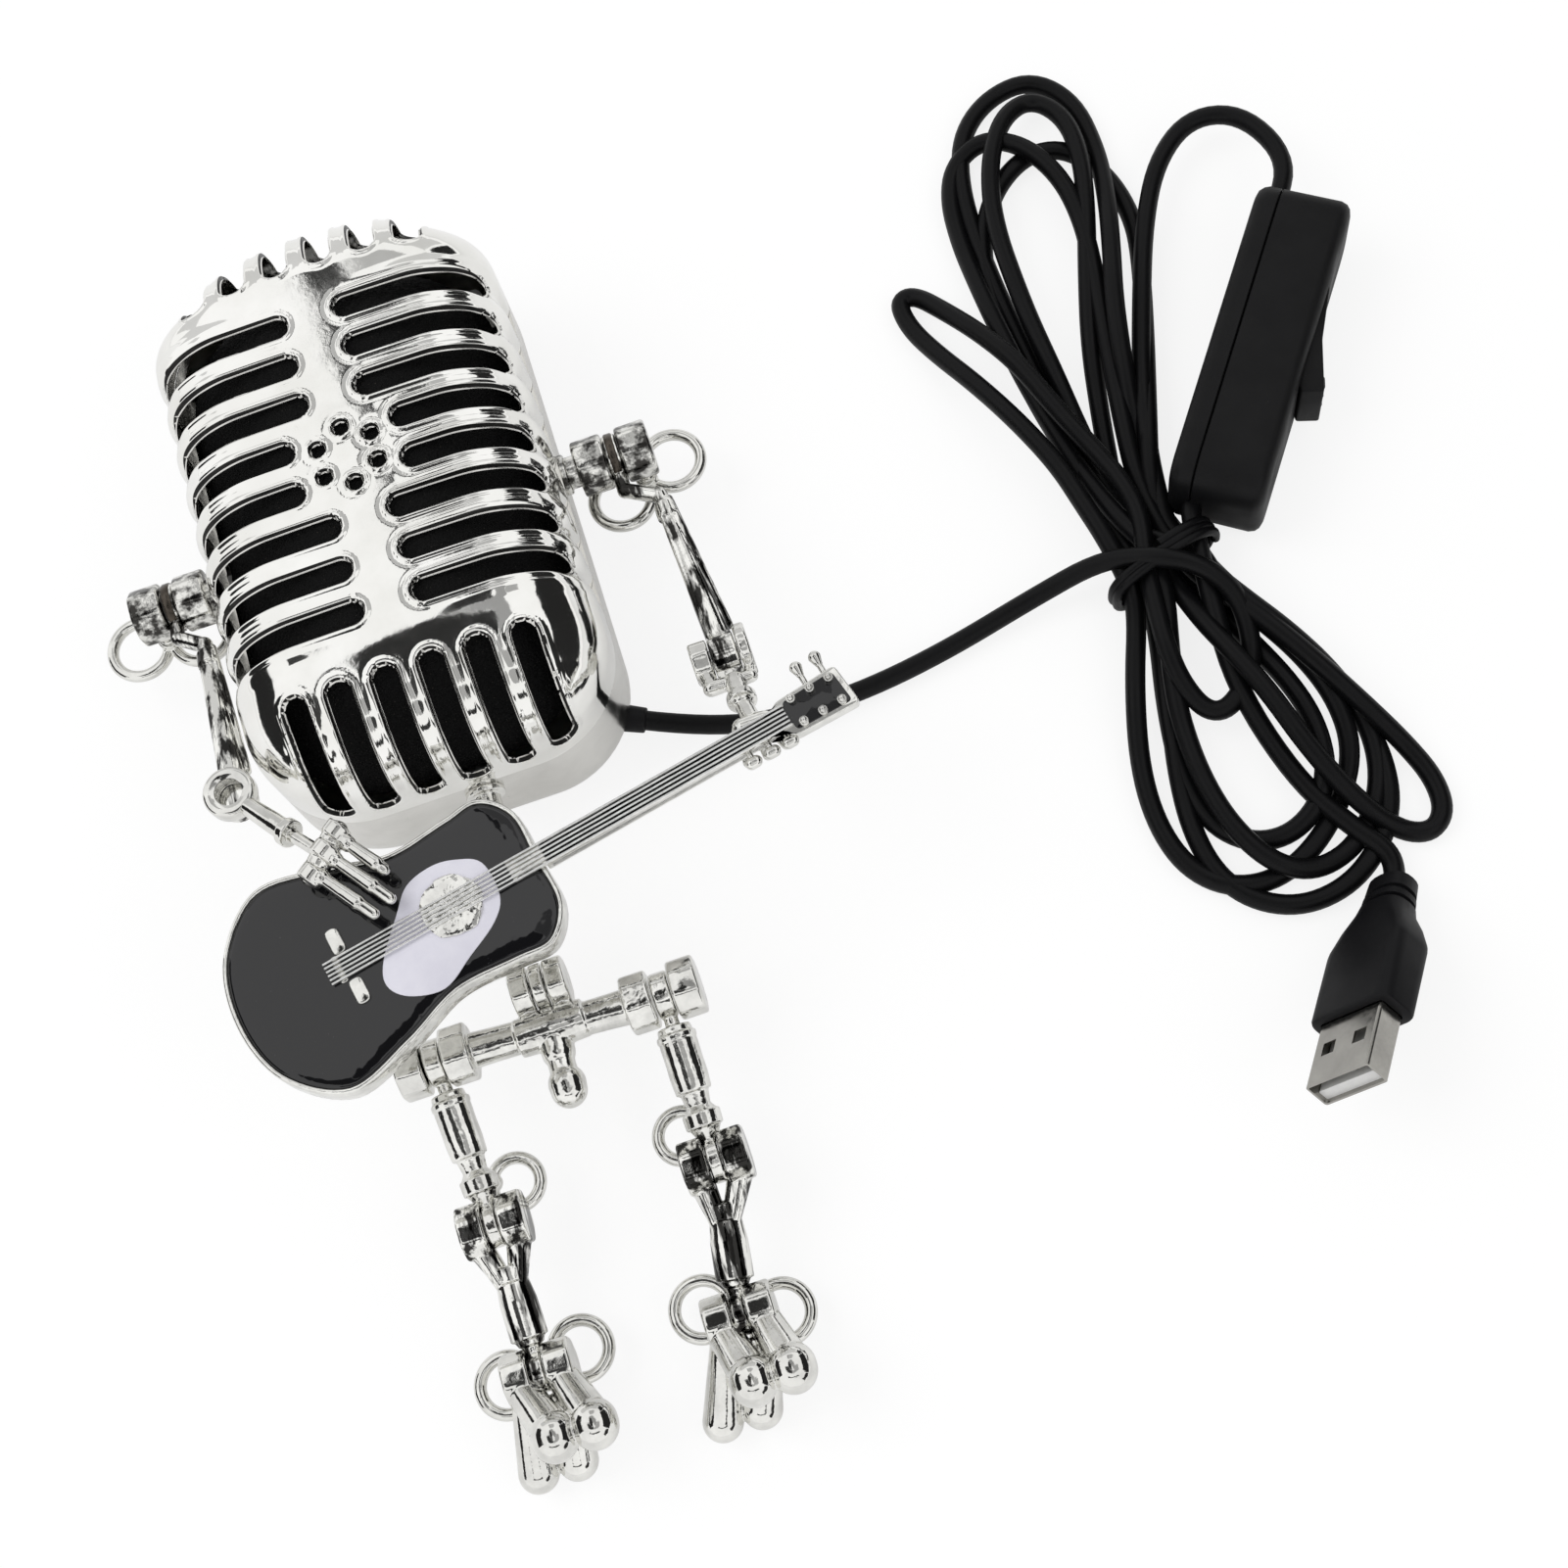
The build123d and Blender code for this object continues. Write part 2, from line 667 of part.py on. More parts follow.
with BuildPart() as upper_arm_left:
    upper_arm_core(arm_frame_left, arm_crank_left, elbow_base_radius * 0.8)
    rod(elbow_left - Vector(0, 0, elbow_base_thickness / 2),
        elbow_left + Vector(0, 0, elbow_base_thickness / 2),
        elbow_base_radius)
    rod(elbow_left, ring_middle, ring_hole_radius - running_clearance)
    rod(elbow_left - Vector(0, 0, ring_thickness), ring_middle + Vector(0, 0, ring_thickness),
        ring_hole_radius * 0.62, Mode.SUBTRACT)
    rod(ring_middle - Vector(0, 0, ring_thickness / 2 + side_clearance),
        ring_middle + Vector(0, 0, ring_thickness),
        ring_radius + side_clearance, Mode.SUBTRACT)
    rod(elbow_left + Vector(0, 0, elbow_base_thickness / 2), ring_middle,
        ring_hole_radius - running_clearance)
    rod(elbow_left - Vector(0, 0, ring_thickness), ring_middle + Vector(0, 0, ring_thickness),
        ring_hole_radius * 0.62, Mode.SUBTRACT)
    disc(arm_frame_left, -eyelet_width, eyelet_width, spindle_radius + running_clearance, Mode.SUBTRACT)

elbow_block_half = elbow_block_width / 2
elbow_frame_right = limb_frame(elbow_right, forearm_pitch_right)
with BuildPart() as upper_arm_right:
    upper_arm_core(arm_frame_right, arm_crank_right, elbow_flats * 0.4)
    octagon(limb_frame(elbow_right, arm_pitch_right), -elbow_block_half, elbow_block_half, elbow_flats)
    disc(elbow_frame_right, -elbow_flats, elbow_flats, elbow_pin_radius + running_clearance, Mode.SUBTRACT)
    disc(arm_frame_right, -eyelet_width, eyelet_width, spindle_radius + running_clearance, Mode.SUBTRACT)
upper_arm_left.part.label = "upper_arm_left"
upper_arm_right.part.label = "upper_arm_right"
export_step(upper_arm_left.part, "parts/upper_arm_left.step")
export_step(upper_arm_right.part, "parts/upper_arm_right.step")

# right forearm: a fork with an ear and a disc, a collar, a tube and three fingers behind the guitar's neck
fork_low = -elbow_block_half - side_clearance
fork_high = elbow_block_half + side_clearance
fork_bridge = -elbow_flats / 2 - 2.3
with BuildPart() as forearm_right:
    octagon(elbow_frame_right, fork_low - elbow_ear_width, fork_low, elbow_flats)
    disc(elbow_frame_right, fork_high, fork_high + elbow_disc_width, elbow_disc_radius)
    bridge_left = at(elbow_frame_right, fork_low - elbow_ear_width / 2, fork_bridge)
    bridge_right = at(elbow_frame_right, fork_high + elbow_disc_width / 2, fork_bridge)
    rod(at(elbow_frame_right, fork_low - elbow_ear_width / 2, -1.5), bridge_left, elbow_ear_width * 0.45)
    rod(at(elbow_frame_right, fork_high + elbow_disc_width / 2, -1.5), bridge_right,
        elbow_disc_width * 0.42)
    rod(bridge_left, bridge_right, elbow_disc_width * 0.42)
    ball(bridge_left, elbow_ear_width * 0.45)
    ball(bridge_right, elbow_disc_width * 0.45)
    rod(at(elbow_frame_right, 0.2, fork_bridge + 0.4), at(elbow_frame_right, 0.4, -11.6),
        forearm_tube_radius)
    rod(at(elbow_frame_right, 0.4, -9.4), at(elbow_frame_right, 0.4, -11.0), collar_radius)
    rod(at(elbow_frame_right, 0.4, -11.4), at(elbow_frame_right, 1.0, -15.6), forearm_tube_radius * 0.8)
    ball(at(elbow_frame_right, 1.0, -16.2), collar_radius)
    for root_x, tip_x, tip_y in ((-0.6, -1.5, -23.2), (1.2, 1.6, -23.0), (2.4, 4.7, -22.1)):
        root = at(elbow_frame_right, root_x, -16.6)
        tip = at(elbow_frame_right, tip_x, tip_y)
        rod(root, tip, finger_radius)
        ball(tip, finger_radius)
        ball(root, finger_radius * 1.4)
    disc(elbow_frame_right, fork_low - 2 * elbow_ear_width, fork_high + 2 * elbow_disc_width,
         elbow_pin_radius + seat_clearance, Mode.SUBTRACT)
forearm_right.part.label = "forearm_right"
export_step(forearm_right.part, "parts/forearm_right.step")

with BuildPart() as elbow_pin_right:
    disc(elbow_frame_right, fork_low - elbow_ear_width + pin_head_depth,
         fork_high + elbow_disc_width - pin_head_depth,
         elbow_pin_radius)
elbow_pin_right.part.label = "elbow_pin_right"
export_step(elbow_pin_right.part, "parts/elbow_pin_right.step")

# left forearm: a threaded ring, a tube with a collar, a thin rod, a knuckle bar and three fingers
forearm_turn = radians(forearm_turn_left)
forearm_frame_left = Plane(origin=ring_middle, x_dir=(cos(forearm_turn), sin(forearm_turn), 0),
                           z_dir=(0, 0, 1))
with BuildPart() as forearm_left:
    rod(at(forearm_frame_left, 0, 0, -ring_thickness / 2),
        at(forearm_frame_left, 0, 0, ring_thickness / 2), ring_radius)
    rod(at(forearm_frame_left, 0, -3.2, 0.35), at(forearm_frame_left, 0, -13.4, 3.1), forearm_tube_radius)
    rod(at(forearm_frame_left, 0, -12.4, 2.8), at(forearm_frame_left, 0, -13.9, 3.2), collar_radius)
    rod(at(forearm_frame_left, 0, -13.5, 3.1), at(forearm_frame_left, 0, -20.8, 6.6), forearm_rod_radius)
    palm_left = at(forearm_frame_left, -3.2, -22.6, 7.6)
    palm_right = at(forearm_frame_left, 3.4, -21.4, 7.6)
    rod(palm_left, palm_right, palm_radius)
    ball(palm_left, palm_radius)
    ball(palm_right, palm_radius)
    for root_x, tip_x, tip_y in finger_lines_left:
        root = at(forearm_frame_left, root_x, -knuckle_reach, knuckle_height)
        tip = at(forearm_frame_left, tip_x, tip_y, fingertip_height)
        rod(root, tip, finger_radius)
        ball(tip, finger_radius)
        ball(root, finger_radius * 1.5)
    rod(at(forearm_frame_left, 0, 0, -ring_thickness), at(forearm_frame_left, 0, 0, ring_thickness),
        ring_hole_radius, Mode.SUBTRACT)
forearm_left.part.label = "forearm_left"
export_step(forearm_left.part, "parts/forearm_left.step")

# ---------------------------------------------------------------- pelvis
hip_point_left = Vector(hip_left[0], hip_left[1], stud_height)
hip_point_right = Vector(hip_right[0], hip_right[1], stud_height)
hip_tongue = hip_gap - 2 * side_clearance


def hip_frame(point, side):
    """Frame at a hip whose x points outward."""
    return Plane(origin=point, x_dir=(side, 0, 0), z_dir=(0, 0, 1))


waist_ear_start = waist_tongue / 2 + side_clearance
bar_left = at(hip_frame(hip_point_left, -1), -hip_gap / 2 - hip_ear_width / 2, 0)
bar_right = at(hip_frame(hip_point_right, 1), -hip_gap / 2 - hip_ear_width / 2, 0)
bar_share = (neck_x - bar_left.X) / (bar_right.X - bar_left.X)
bar_middle = bar_left + (bar_right - bar_left) * bar_share
peg_end = bar_middle - Vector(0, peg_length, 0)
with BuildPart() as hip_bar:
    rod(bar_left, bar_right, hip_bar_radius)
    for hip_point, side in ((hip_point_left, -1), (hip_point_right, 1)):
        octagon(hip_frame(hip_point, side), -hip_gap / 2 - hip_ear_width, -hip_gap / 2, hip_flats)
    for side in (-1, 1):
        ear = Plane(origin=waist_point, x_dir=(side, 0, 0), z_dir=(0, 0, 1))
        octagon(ear, waist_ear_start, waist_ear_start + waist_ear_width, waist_flats)
        ear_middle = waist_ear_start + waist_ear_width / 2
        ear_x = side * ear_middle
        rod(waist_point + Vector(ear_x, -waist_flats * 0.3, 0), bar_middle + Vector(ear_x, 0, 0),
            waist_ear_width * 0.48)
    rod(bar_middle, peg_end, peg_radius)
    rod(bar_middle, bar_middle - Vector(0, hip_bar_radius + 1.4, 0), peg_radius * 1.5)
    ball(peg_end, peg_ball_radius)
    disc(waist_frame, -waist_flats, waist_flats, leg_pin_radius + seat_clearance, Mode.SUBTRACT)
    for hip_point, side in ((hip_point_left, -1), (hip_point_right, 1)):
        disc(hip_frame(hip_point, side), -hip_gap / 2 - hip_ear_width + pin_head_depth * 2, hip_gap,
             hip_pin_radius + seat_clearance, Mode.SUBTRACT)
hip_bar.part.label = "hip_bar"
export_step(hip_bar.part, "parts/hip_bar.step")

waist_pin_half = waist_ear_start + waist_ear_width - pin_head_depth
with BuildPart() as waist_pin:
    disc(waist_frame, -waist_pin_half, waist_pin_half, leg_pin_radius)
waist_pin.part.label = "waist_pin"
export_step(waist_pin.part, "parts/waist_pin.step")


def hip_nut(point, side):
    """Outer octagon block with the spindle that reaches into the bar's ear."""
    frame = hip_frame(point, side)
    with BuildPart() as nut:
        octagon(frame, hip_gap / 2, hip_gap / 2 + hip_ear_width, hip_flats)
        disc(frame, -hip_gap / 2 - hip_ear_width + pin_head_depth * 3, hip_gap, hip_pin_radius)
    return nut.part


hip_nut_left = hip_nut(hip_point_left, -1)
hip_nut_right = hip_nut(hip_point_right, 1)
hip_nut_left.label = "hip_nut_left"
hip_nut_right.label = "hip_nut_right"
export_step(hip_nut_left, "parts/hip_nut_left.step")
export_step(hip_nut_right, "parts/hip_nut_right.step")

# ---------------------------------------------------------------- legs
thigh_frame_left = limb_frame(hip_point_left, thigh_pitch)
thigh_frame_right = limb_frame(hip_point_right, thigh_pitch)
knee_left = at(thigh_frame_left, thigh_crank_left, -thigh_length)
knee_right = at(thigh_frame_right, thigh_crank_right, -thigh_length)
shin_frame_left = limb_frame(knee_left, shin_pitch)
shin_frame_right = limb_frame(knee_right, shin_pitch)
ankle_left = at(shin_frame_left, shin_crank_left, -shin_length)
ankle_right = at(shin_frame_right, shin_crank_right, -shin_length)
knee_tongue = knee_gap - 2 * side_clearance
ankle_tongue = ankle_gap - 2 * side_clearance


def thigh(frame, crank):
    """Hip tongue, round sleeve, waisted casting and knee tongue."""
    def on_line(distance):
        return at(frame, crank * distance / thigh_length, -distance)

    knee = at(frame, crank, -thigh_length)
    knee_frame = Plane(origin=knee, x_dir=frame.x_dir, z_dir=frame.z_dir)
    with BuildPart() as casting:
        disc(frame, -hip_tongue / 2, hip_tongue / 2, hip_flats / 2 - 0.3)
        rod(on_line(2.4), on_line(5.0), 1.1)
        cone(on_line(4.8), on_line(7.2), 1.1, 2.0)
        rod(on_line(7.0), on_line(15.4), thigh_radius)
        cone(on_line(15.2), on_line(17.4), 1.9, 1.5)
        cone(on_line(17.2), on_line(20.2), 1.5, 2.6)
        cone(on_line(20.0), on_line(thigh_length - 2.6), 2.6, knee_tongue / 2)
        disc(knee_frame, -knee_tongue / 2, knee_tongue / 2, knee_flats / 2 - 0.3)
        octagon(knee_frame, -knee_gap - knee_ear_width, -knee_tongue / 2, knee_flats + 1.2, Mode.SUBTRACT)
        octagon(knee_frame, knee_tongue / 2, knee_gap + knee_ear_width, knee_flats + 1.2, Mode.SUBTRACT)
        disc(frame, -hip_gap, hip_gap, hip_pin_radius + running_clearance, Mode.SUBTRACT)
        disc(knee_frame, -knee_gap, knee_gap, leg_pin_radius + running_clearance, Mode.SUBTRACT)
    return casting.part


def shin(frame, crank):
    """Two knee ears, the webs that join them, a round sleeve and the ankle tongue."""
    def on_line(distance, side=0.0):
        return at(frame, crank * distance / shin_length + side, -distance)

    ankle = at(frame, crank, -shin_length)
    ankle_frame = Plane(origin=ankle, x_dir=frame.x_dir, z_dir=frame.z_dir)
    ear_start = knee_gap / 2
    ear_middle = ear_start + knee_ear_width / 2
    with BuildPart() as casting:
        for side in (-1, 1):
            ear = Plane(origin=frame.origin, x_dir=frame.x_dir * side, z_dir=frame.z_dir)
            octagon(ear, ear_start, ear_start + knee_ear_width, knee_flats)
            cone(at(frame, side * ear_middle, -knee_flats * 0.3), on_line(9.0, side * 0.9), 1.7, 1.1)
        cone(on_line(6.2), on_line(9.2), 2.0, 1.5)
        rod(on_line(8.8), on_line(17.4), shin_radius)
        cone(on_line(17.2), on_line(shin_length - 2.6), 1.9, ankle_tongue / 2)
        disc(ankle_frame, -ankle_tongue / 2, ankle_tongue / 2, ankle_flats / 2 - 0.4)
        disc(frame, -knee_tongue / 2 - side_clearance, knee_tongue / 2 + side_clearance, knee_flats / 2,
             Mode.SUBTRACT)
        disc(frame, -knee_flats, knee_flats, leg_pin_radius + seat_clearance, Mode.SUBTRACT)
        octagon(ankle_frame, -ankle_gap - ankle_ear_width, -ankle_tongue / 2, ankle_flats + 1.2,
                Mode.SUBTRACT)
        octagon(ankle_frame, ankle_tongue / 2, ankle_gap + ankle_ear_width, ankle_flats + 1.2,
                Mode.SUBTRACT)
        disc(ankle_frame, -ankle_gap, ankle_gap, leg_pin_radius + running_clearance, Mode.SUBTRACT)
    return casting.part


def foot(ankle, toe_shift, heel_shift):
    """Two ankle ears, two balls in front and two longer bulbs behind."""
    frame = limb_frame(ankle, 0.0)
    with BuildPart() as casting:
        for side in (-1, 1):
            ear = Plane(origin=ankle, x_dir=(side, 0, 0), z_dir=(0, 0, 1))
            octagon(ear, ankle_gap / 2, ankle_gap / 2 + ankle_ear_width, ankle_flats)
            ear_middle = side * (ankle_gap + ankle_ear_width) / 2
            toe = at(frame, toe_shift + side * toe_spacing / 2, -toe_forward, toe_rise)
            heel = at(frame, heel_shift + side * heel_spacing / 2, -heel_back, -heel_drop)
            bulb(at(frame, ear_middle, -1.3, 0.7), toe, toe_neck_radius, toe_radius)
            bulb(at(frame, ear_middle, -1.3, -0.7), heel, heel_neck_radius, heel_radius)
        bridge_half = ankle_ear_width * 0.7
        bridge_y = -ankle_flats / 2 - 1.0
        rod(at(frame, -bridge_half, bridge_y), at(frame, bridge_half, bridge_y), 1.2)
        disc(frame, -ankle_gap / 2, ankle_gap / 2, ankle_flats / 2 - 0.1, Mode.SUBTRACT)
        disc(frame, -ankle_flats, ankle_flats, leg_pin_radius + seat_clearance, Mode.SUBTRACT)
    return casting.part


def leg_pin(point, gap, ear_width):
    """Plain pin through a fork."""
    half = gap / 2 + ear_width - pin_head_depth
    with BuildPart() as pin:
        disc(limb_frame(point, 0.0), -half, half, leg_pin_radius)
    return pin.part


def knee_ring(frame, crank, side):
    """Wire loop on a short stud, set into the back of the thigh on its inner side."""
    place = 19.6
    middle = crank * place / thigh_length
    hub = at(frame, middle + side * 0.9, -place, -knee_ring_drop)
    ring = at(frame, middle + side * knee_ring_offset, -place, -knee_ring_drop)
    thigh_core = at(frame, middle + side * 0.9, -place, -1.5)
    with BuildPart() as loop:
        with Locations(Location(ring)):
            Torus(knee_ring_radius, wire_radius)
        ball(hub, 1.5)
        rod(hub, thigh_core, wing_stud_radius)
    return loop.part


def ankle_wing(ankle, turn, held_by):
    """Plate under the ankle's ears with a wire loop on each side, clear of the foot that holds it."""
    plate_top = ankle - Vector(0, 0, ankle_flats / 2)
    hub = plate_top - Vector(0, 0, hub_thickness / 2)
    with BuildPart() as wing:
        with BuildSketch(Plane(origin=plate_top, z_dir=(0, 0, -1))):
            RectangleRounded(ankle_gap + ankle_ear_width, 2.6, 1.2)
        extrude(amount=hub_thickness)
        for way in (0, 180):
            angle = radians(turn + way)
            with Locations(Location(hub + Vector(ankle_wing_spread * cos(angle),
                                                 ankle_wing_spread * sin(angle) + 1.2, 0))):
                Torus(ankle_wing_radius, wire_radius)
        add(held_by, mode=Mode.SUBTRACT)
    return wing.part


thigh_left = thigh(thigh_frame_left, thigh_crank_left)
thigh_right = thigh(thigh_frame_right, thigh_crank_right)
shin_left = shin(shin_frame_left, shin_crank_left)
shin_right = shin(shin_frame_right, shin_crank_right)
foot_left = foot(ankle_left, toe_shift_left, heel_shift_left)
foot_right = foot(ankle_right, toe_shift_right, heel_shift_right)
knee_pin_left = leg_pin(knee_left, knee_gap, knee_ear_width)
knee_pin_right = leg_pin(knee_right, knee_gap, knee_ear_width)
ankle_pin_left = leg_pin(ankle_left, ankle_gap, ankle_ear_width)
ankle_pin_right = leg_pin(ankle_right, ankle_gap, ankle_ear_width)
knee_ring_left = knee_ring(thigh_frame_left, thigh_crank_left, 1)
knee_ring_right = knee_ring(thigh_frame_right, thigh_crank_right, -1)
ankle_wing_left = ankle_wing(ankle_left, 8.0, foot_left)
ankle_wing_right = ankle_wing(ankle_right, -20.0, foot_right)
with BuildPart() as thigh_left_drilled:
    add(thigh_left)
    add(knee_ring_left, mode=Mode.SUBTRACT)
with BuildPart() as thigh_right_drilled:
    add(thigh_right)
    add(knee_ring_right, mode=Mode.SUBTRACT)
thigh_left_drilled.part.label = "thigh_left"
thigh_right_drilled.part.label = "thigh_right"
shin_left.label = "shin_left"
shin_right.label = "shin_right"
foot_left.label = "foot_left"
foot_right.label = "foot_right"
knee_pin_left.label = "knee_pin_left"
knee_pin_right.label = "knee_pin_right"
ankle_pin_left.label = "ankle_pin_left"
ankle_pin_right.label = "ankle_pin_right"
knee_ring_left.label = "knee_ring_left"
knee_ring_right.label = "knee_ring_right"
ankle_wing_left.label = "wing_screw_ankle_left"
ankle_wing_right.label = "wing_screw_ankle_right"
for piece in (thigh_left_drilled.part, thigh_right_drilled.part, shin_left, shin_right, foot_left,
              foot_right,
              knee_pin_left, knee_pin_right, ankle_pin_left, ankle_pin_right, knee_ring_left,
              knee_ring_right,
              ankle_wing_left, ankle_wing_right):
    export_step(piece, f"parts/{piece.label}.step")

# ---------------------------------------------------------------- guitar
turn_rad = radians(guitar_turn)
guitar_top_height = guitar_back_height + guitar_thickness
guitar_plane = Plane(origin=(guitar_centre[0], guitar_centre[1], guitar_back_height),
                     x_dir=(cos(turn_rad), sin(turn_rad), 0), z_dir=(0, 0, 1))
guitar_top = guitar_plane.offset(guitar_thickness)
def guitar_outline(plane, inset):
    """The body's outline on a plane, drawn in by an inset."""
    tail = tail_reach - inset
    lower = lower_bout - inset
    waist = waist_half - inset
    upper = upper_bout - inset
    shoulder = shoulder_reach - inset
    half = [(-tail * 0.93, lower * 0.6), (-tail * 0.7, lower), (-tail * 0.4, lower * 0.88),
            (-tail * 0.14, waist),
            (shoulder * 0.3, upper * 0.985), (shoulder * 0.72, upper), (shoulder * 0.99, upper * 0.62)]
    upper_side = [(x, guitar_middle + y) for x, y in half]
    lower_side = [(x, guitar_middle - y) for x, y in reversed(half)]
    with BuildSketch(plane) as outline:
        with BuildLine():
            Spline((-tail, guitar_middle), *upper_side, (shoulder, guitar_middle), *lower_side,
                   periodic=True)
        make_face()
    return outline.sketch


with BuildPart() as guitar_body:
    extrude(guitar_outline(guitar_plane, 0.0), amount=guitar_thickness)
    extrude(guitar_outline(guitar_top.offset(-enamel_depth), rim_width), amount=2 * enamel_depth,
            mode=Mode.SUBTRACT)
with BuildPart() as guitar_top_enamel:
    extrude(guitar_outline(guitar_top.offset(-enamel_depth), rim_width + seat_clearance),
            amount=enamel_depth)
guitar_body.part.label = "guitar_body"
guitar_top_enamel.part.label = "guitar_top_enamel"
export_step(guitar_body.part, "parts/guitar_body.step")
export_step(guitar_top_enamel.part, "parts/guitar_top_enamel.step")

pickguard_points = [(-7.8, 3.6), (-4.5, 6.9), (-0.1, 7.7), (3.6, 6.7), (6.8, 4.2), (6.9, -1.5), (4.4, -4.8),
                    (-1.0, -7.6), (-6.3, -10.0), (-11.4, -8.3), (-13.6, -5.2), (-12.4, -1.6)]
with BuildPart() as guitar_pickguard:
    with BuildSketch(guitar_top):
        with BuildLine():
            Spline(*pickguard_points, periodic=True)
        make_face()
    extrude(amount=pickguard_thickness)
guitar_pickguard.part.label = "guitar_pickguard"
export_step(guitar_pickguard.part, "parts/guitar_pickguard.step")

plate_plane = guitar_top.offset(pickguard_thickness)
with BuildPart() as soundhole_plate:
    with BuildSketch(plate_plane):
        with Locations((0, string_middle)):
            Circle(plate_radius)
    extrude(amount=plate_thickness)
soundhole_plate.part.label = "soundhole_plate"
export_step(soundhole_plate.part, "parts/soundhole_plate.step")

string_seat = pickguard_thickness + plate_thickness
with BuildPart() as guitar_bridge:
    with BuildSketch(guitar_top):
        with Locations((string_start + 3.2, string_middle + 3.9),
                       (string_start + 3.2, string_middle - 4.2)):
            Rectangle(1.5, 4.0)
        with Locations((string_start + 1.0, string_middle)):
            Rectangle(2.0, string_pitch * string_count + 0.6)
        with Locations((string_start + 2.6, string_middle)):
            Rectangle(1.6, 10.0)
    extrude(amount=string_seat)
guitar_bridge.part.label = "guitar_bridge"
export_step(guitar_bridge.part, "parts/guitar_bridge.step")

with BuildPart() as guitar_strings:
    for index in range(string_count):
        string_y = string_middle + (index - (string_count - 1) / 2) * string_pitch
        rod(at(guitar_top, string_start, string_y, string_seat + string_radius),
            at(guitar_top, neck_end + 1.0, string_y, string_seat + string_radius), string_radius)
guitar_strings.part.label = "guitar_strings"
export_step(guitar_strings.part, "parts/guitar_strings.step")

neck_top = guitar_top.offset(string_seat)
with BuildPart() as guitar_neck:
    with BuildSketch(neck_top):
        with Locations(((shoulder_reach + neck_end) / 2 + 0.2, string_middle)):
            Rectangle(neck_end - shoulder_reach - 0.3, neck_width)
    extrude(amount=-neck_depth)
    with BuildSketch(neck_top):
        with BuildLine():
            Polyline((neck_end - 1.5, string_middle - neck_width / 2), (neck_end + 0.4, -2.9),
                     (headstock_end, -3.1),
                     (headstock_end - 0.6, 4.0), (neck_end + 0.2, 3.4),
                     (neck_end - 1.5, string_middle + neck_width / 2),
                     close=True)
        make_face()
    extrude(amount=-headstock_depth)
    with BuildSketch(neck_top):
        with Locations((shoulder_reach - 2.0, string_middle)):
            Rectangle(5.0, neck_width)
    extrude(amount=-string_seat + 0.02)
    with BuildSketch(neck_top.offset(-enamel_depth)):
        with BuildLine():
            Polyline((neck_end + 1.4, -2.3), (headstock_end - 0.7, -2.5), (headstock_end - 1.2, 3.4),
                     (neck_end + 1.4, 2.9), close=True)
        make_face()
    extrude(amount=2 * enamel_depth, mode=Mode.SUBTRACT)
guitar_neck.part.label = "guitar_neck"
export_step(guitar_neck.part, "parts/guitar_neck.step")

with BuildPart() as headstock_enamel:
    with BuildSketch(neck_top.offset(-enamel_depth)):
        with BuildLine():
            Polyline((neck_end + 1.4, -2.3), (headstock_end - 0.7, -2.5), (headstock_end - 1.2, 3.4),
                     (neck_end + 1.4, 2.9), close=True)
        make_face()
    extrude(amount=enamel_depth)
headstock_enamel.part.label = "headstock_enamel"
export_step(headstock_enamel.part, "parts/headstock_enamel.step")

with BuildPart() as guitar_tuners:
    for index in range(3):
        peg_x = first_peg + 0.9 + index * peg_spacing * 0.78
        for side, edge, post in ((1, 3.7, 2.4), (-1, -3.0, -1.7)):
            rod(at(neck_top, peg_x, post, 0), at(neck_top, peg_x, post, 0.9), tuner_post_radius)
            shaft_start = at(neck_top, peg_x, edge + side * 0.05, -1.1)
            knob = at(neck_top, peg_x, edge + side * 2.2, -1.1)
            rod(shaft_start, knob, tuner_shaft_radius)
            ball(knob, tuner_ball_radius)
    add(guitar_neck.part, mode=Mode.SUBTRACT)
guitar_tuners.part.label = "guitar_tuners"
export_step(guitar_tuners.part, "parts/guitar_tuners.step")

stud_axis = Vector(neck_x, stud_y, stud_height)
with BuildPart() as guitar_stud:
    rod(stud_axis + Vector(0, stud_collar_length / 2, 0), stud_axis - Vector(0, stud_collar_length / 2, 0),
        stud_collar_radius)
    rod(stud_axis, Vector(neck_x, stud_y, guitar_back_height), guitar_stud_radius)
    rod(Vector(neck_x, stud_y, guitar_back_height - 1.2), Vector(neck_x, stud_y, guitar_back_height),
        guitar_stud_flange)
    rod(stud_axis + Vector(0, stud_collar_length, 0), stud_axis - Vector(0, stud_collar_length, 0),
        neck_radius + seat_clearance, Mode.SUBTRACT)
guitar_stud.part.label = "guitar_stud"
export_step(guitar_stud.part, "parts/guitar_stud.step")


# ---------------------------------------------------------------- cord
def cord_tube(points):
    """Round tube along straight runs joined by arcs as large as the runs allow."""
    radii = []
    for before, corner, after in zip(points, points[1:], points[2:]):
        first = corner - before
        second = after - corner
        half_turn = radians(first.get_angle(second)) / 2
        radii.append(0.45 * min(first.length, second.length) / tan(half_turn))
    print("cord radii, mm:", [round(radius, 1) for radius in radii])
    with BuildPart() as tube:
        with BuildLine() as route:
            FilletPolyline(*points, radius=radii)
        with BuildSketch(Plane(origin=points[0], z_dir=points[1] - points[0])):
            Circle(cord_radius)
        sweep()
    route_length = sum(edge.length for edge in route.line.edges())
    straight_volume = pi * cord_radius ** 2 * route_length
    print("tube volume over section times length:", round(tube.part.volume / straight_volume, 4))
    return tube.part


lead_points = [grommet_face, Vector(37.5, -46.6, 4.3), Vector(49.5, -49.2, 2.4), Vector(65.1, -49.0, 2.0),
               Vector(80.0, -46.9, 2.1), Vector(96.0, -43.5, 3.2), Vector(111.5, -42.2, 5.2)]
lead_tube = cord_tube(lead_points)

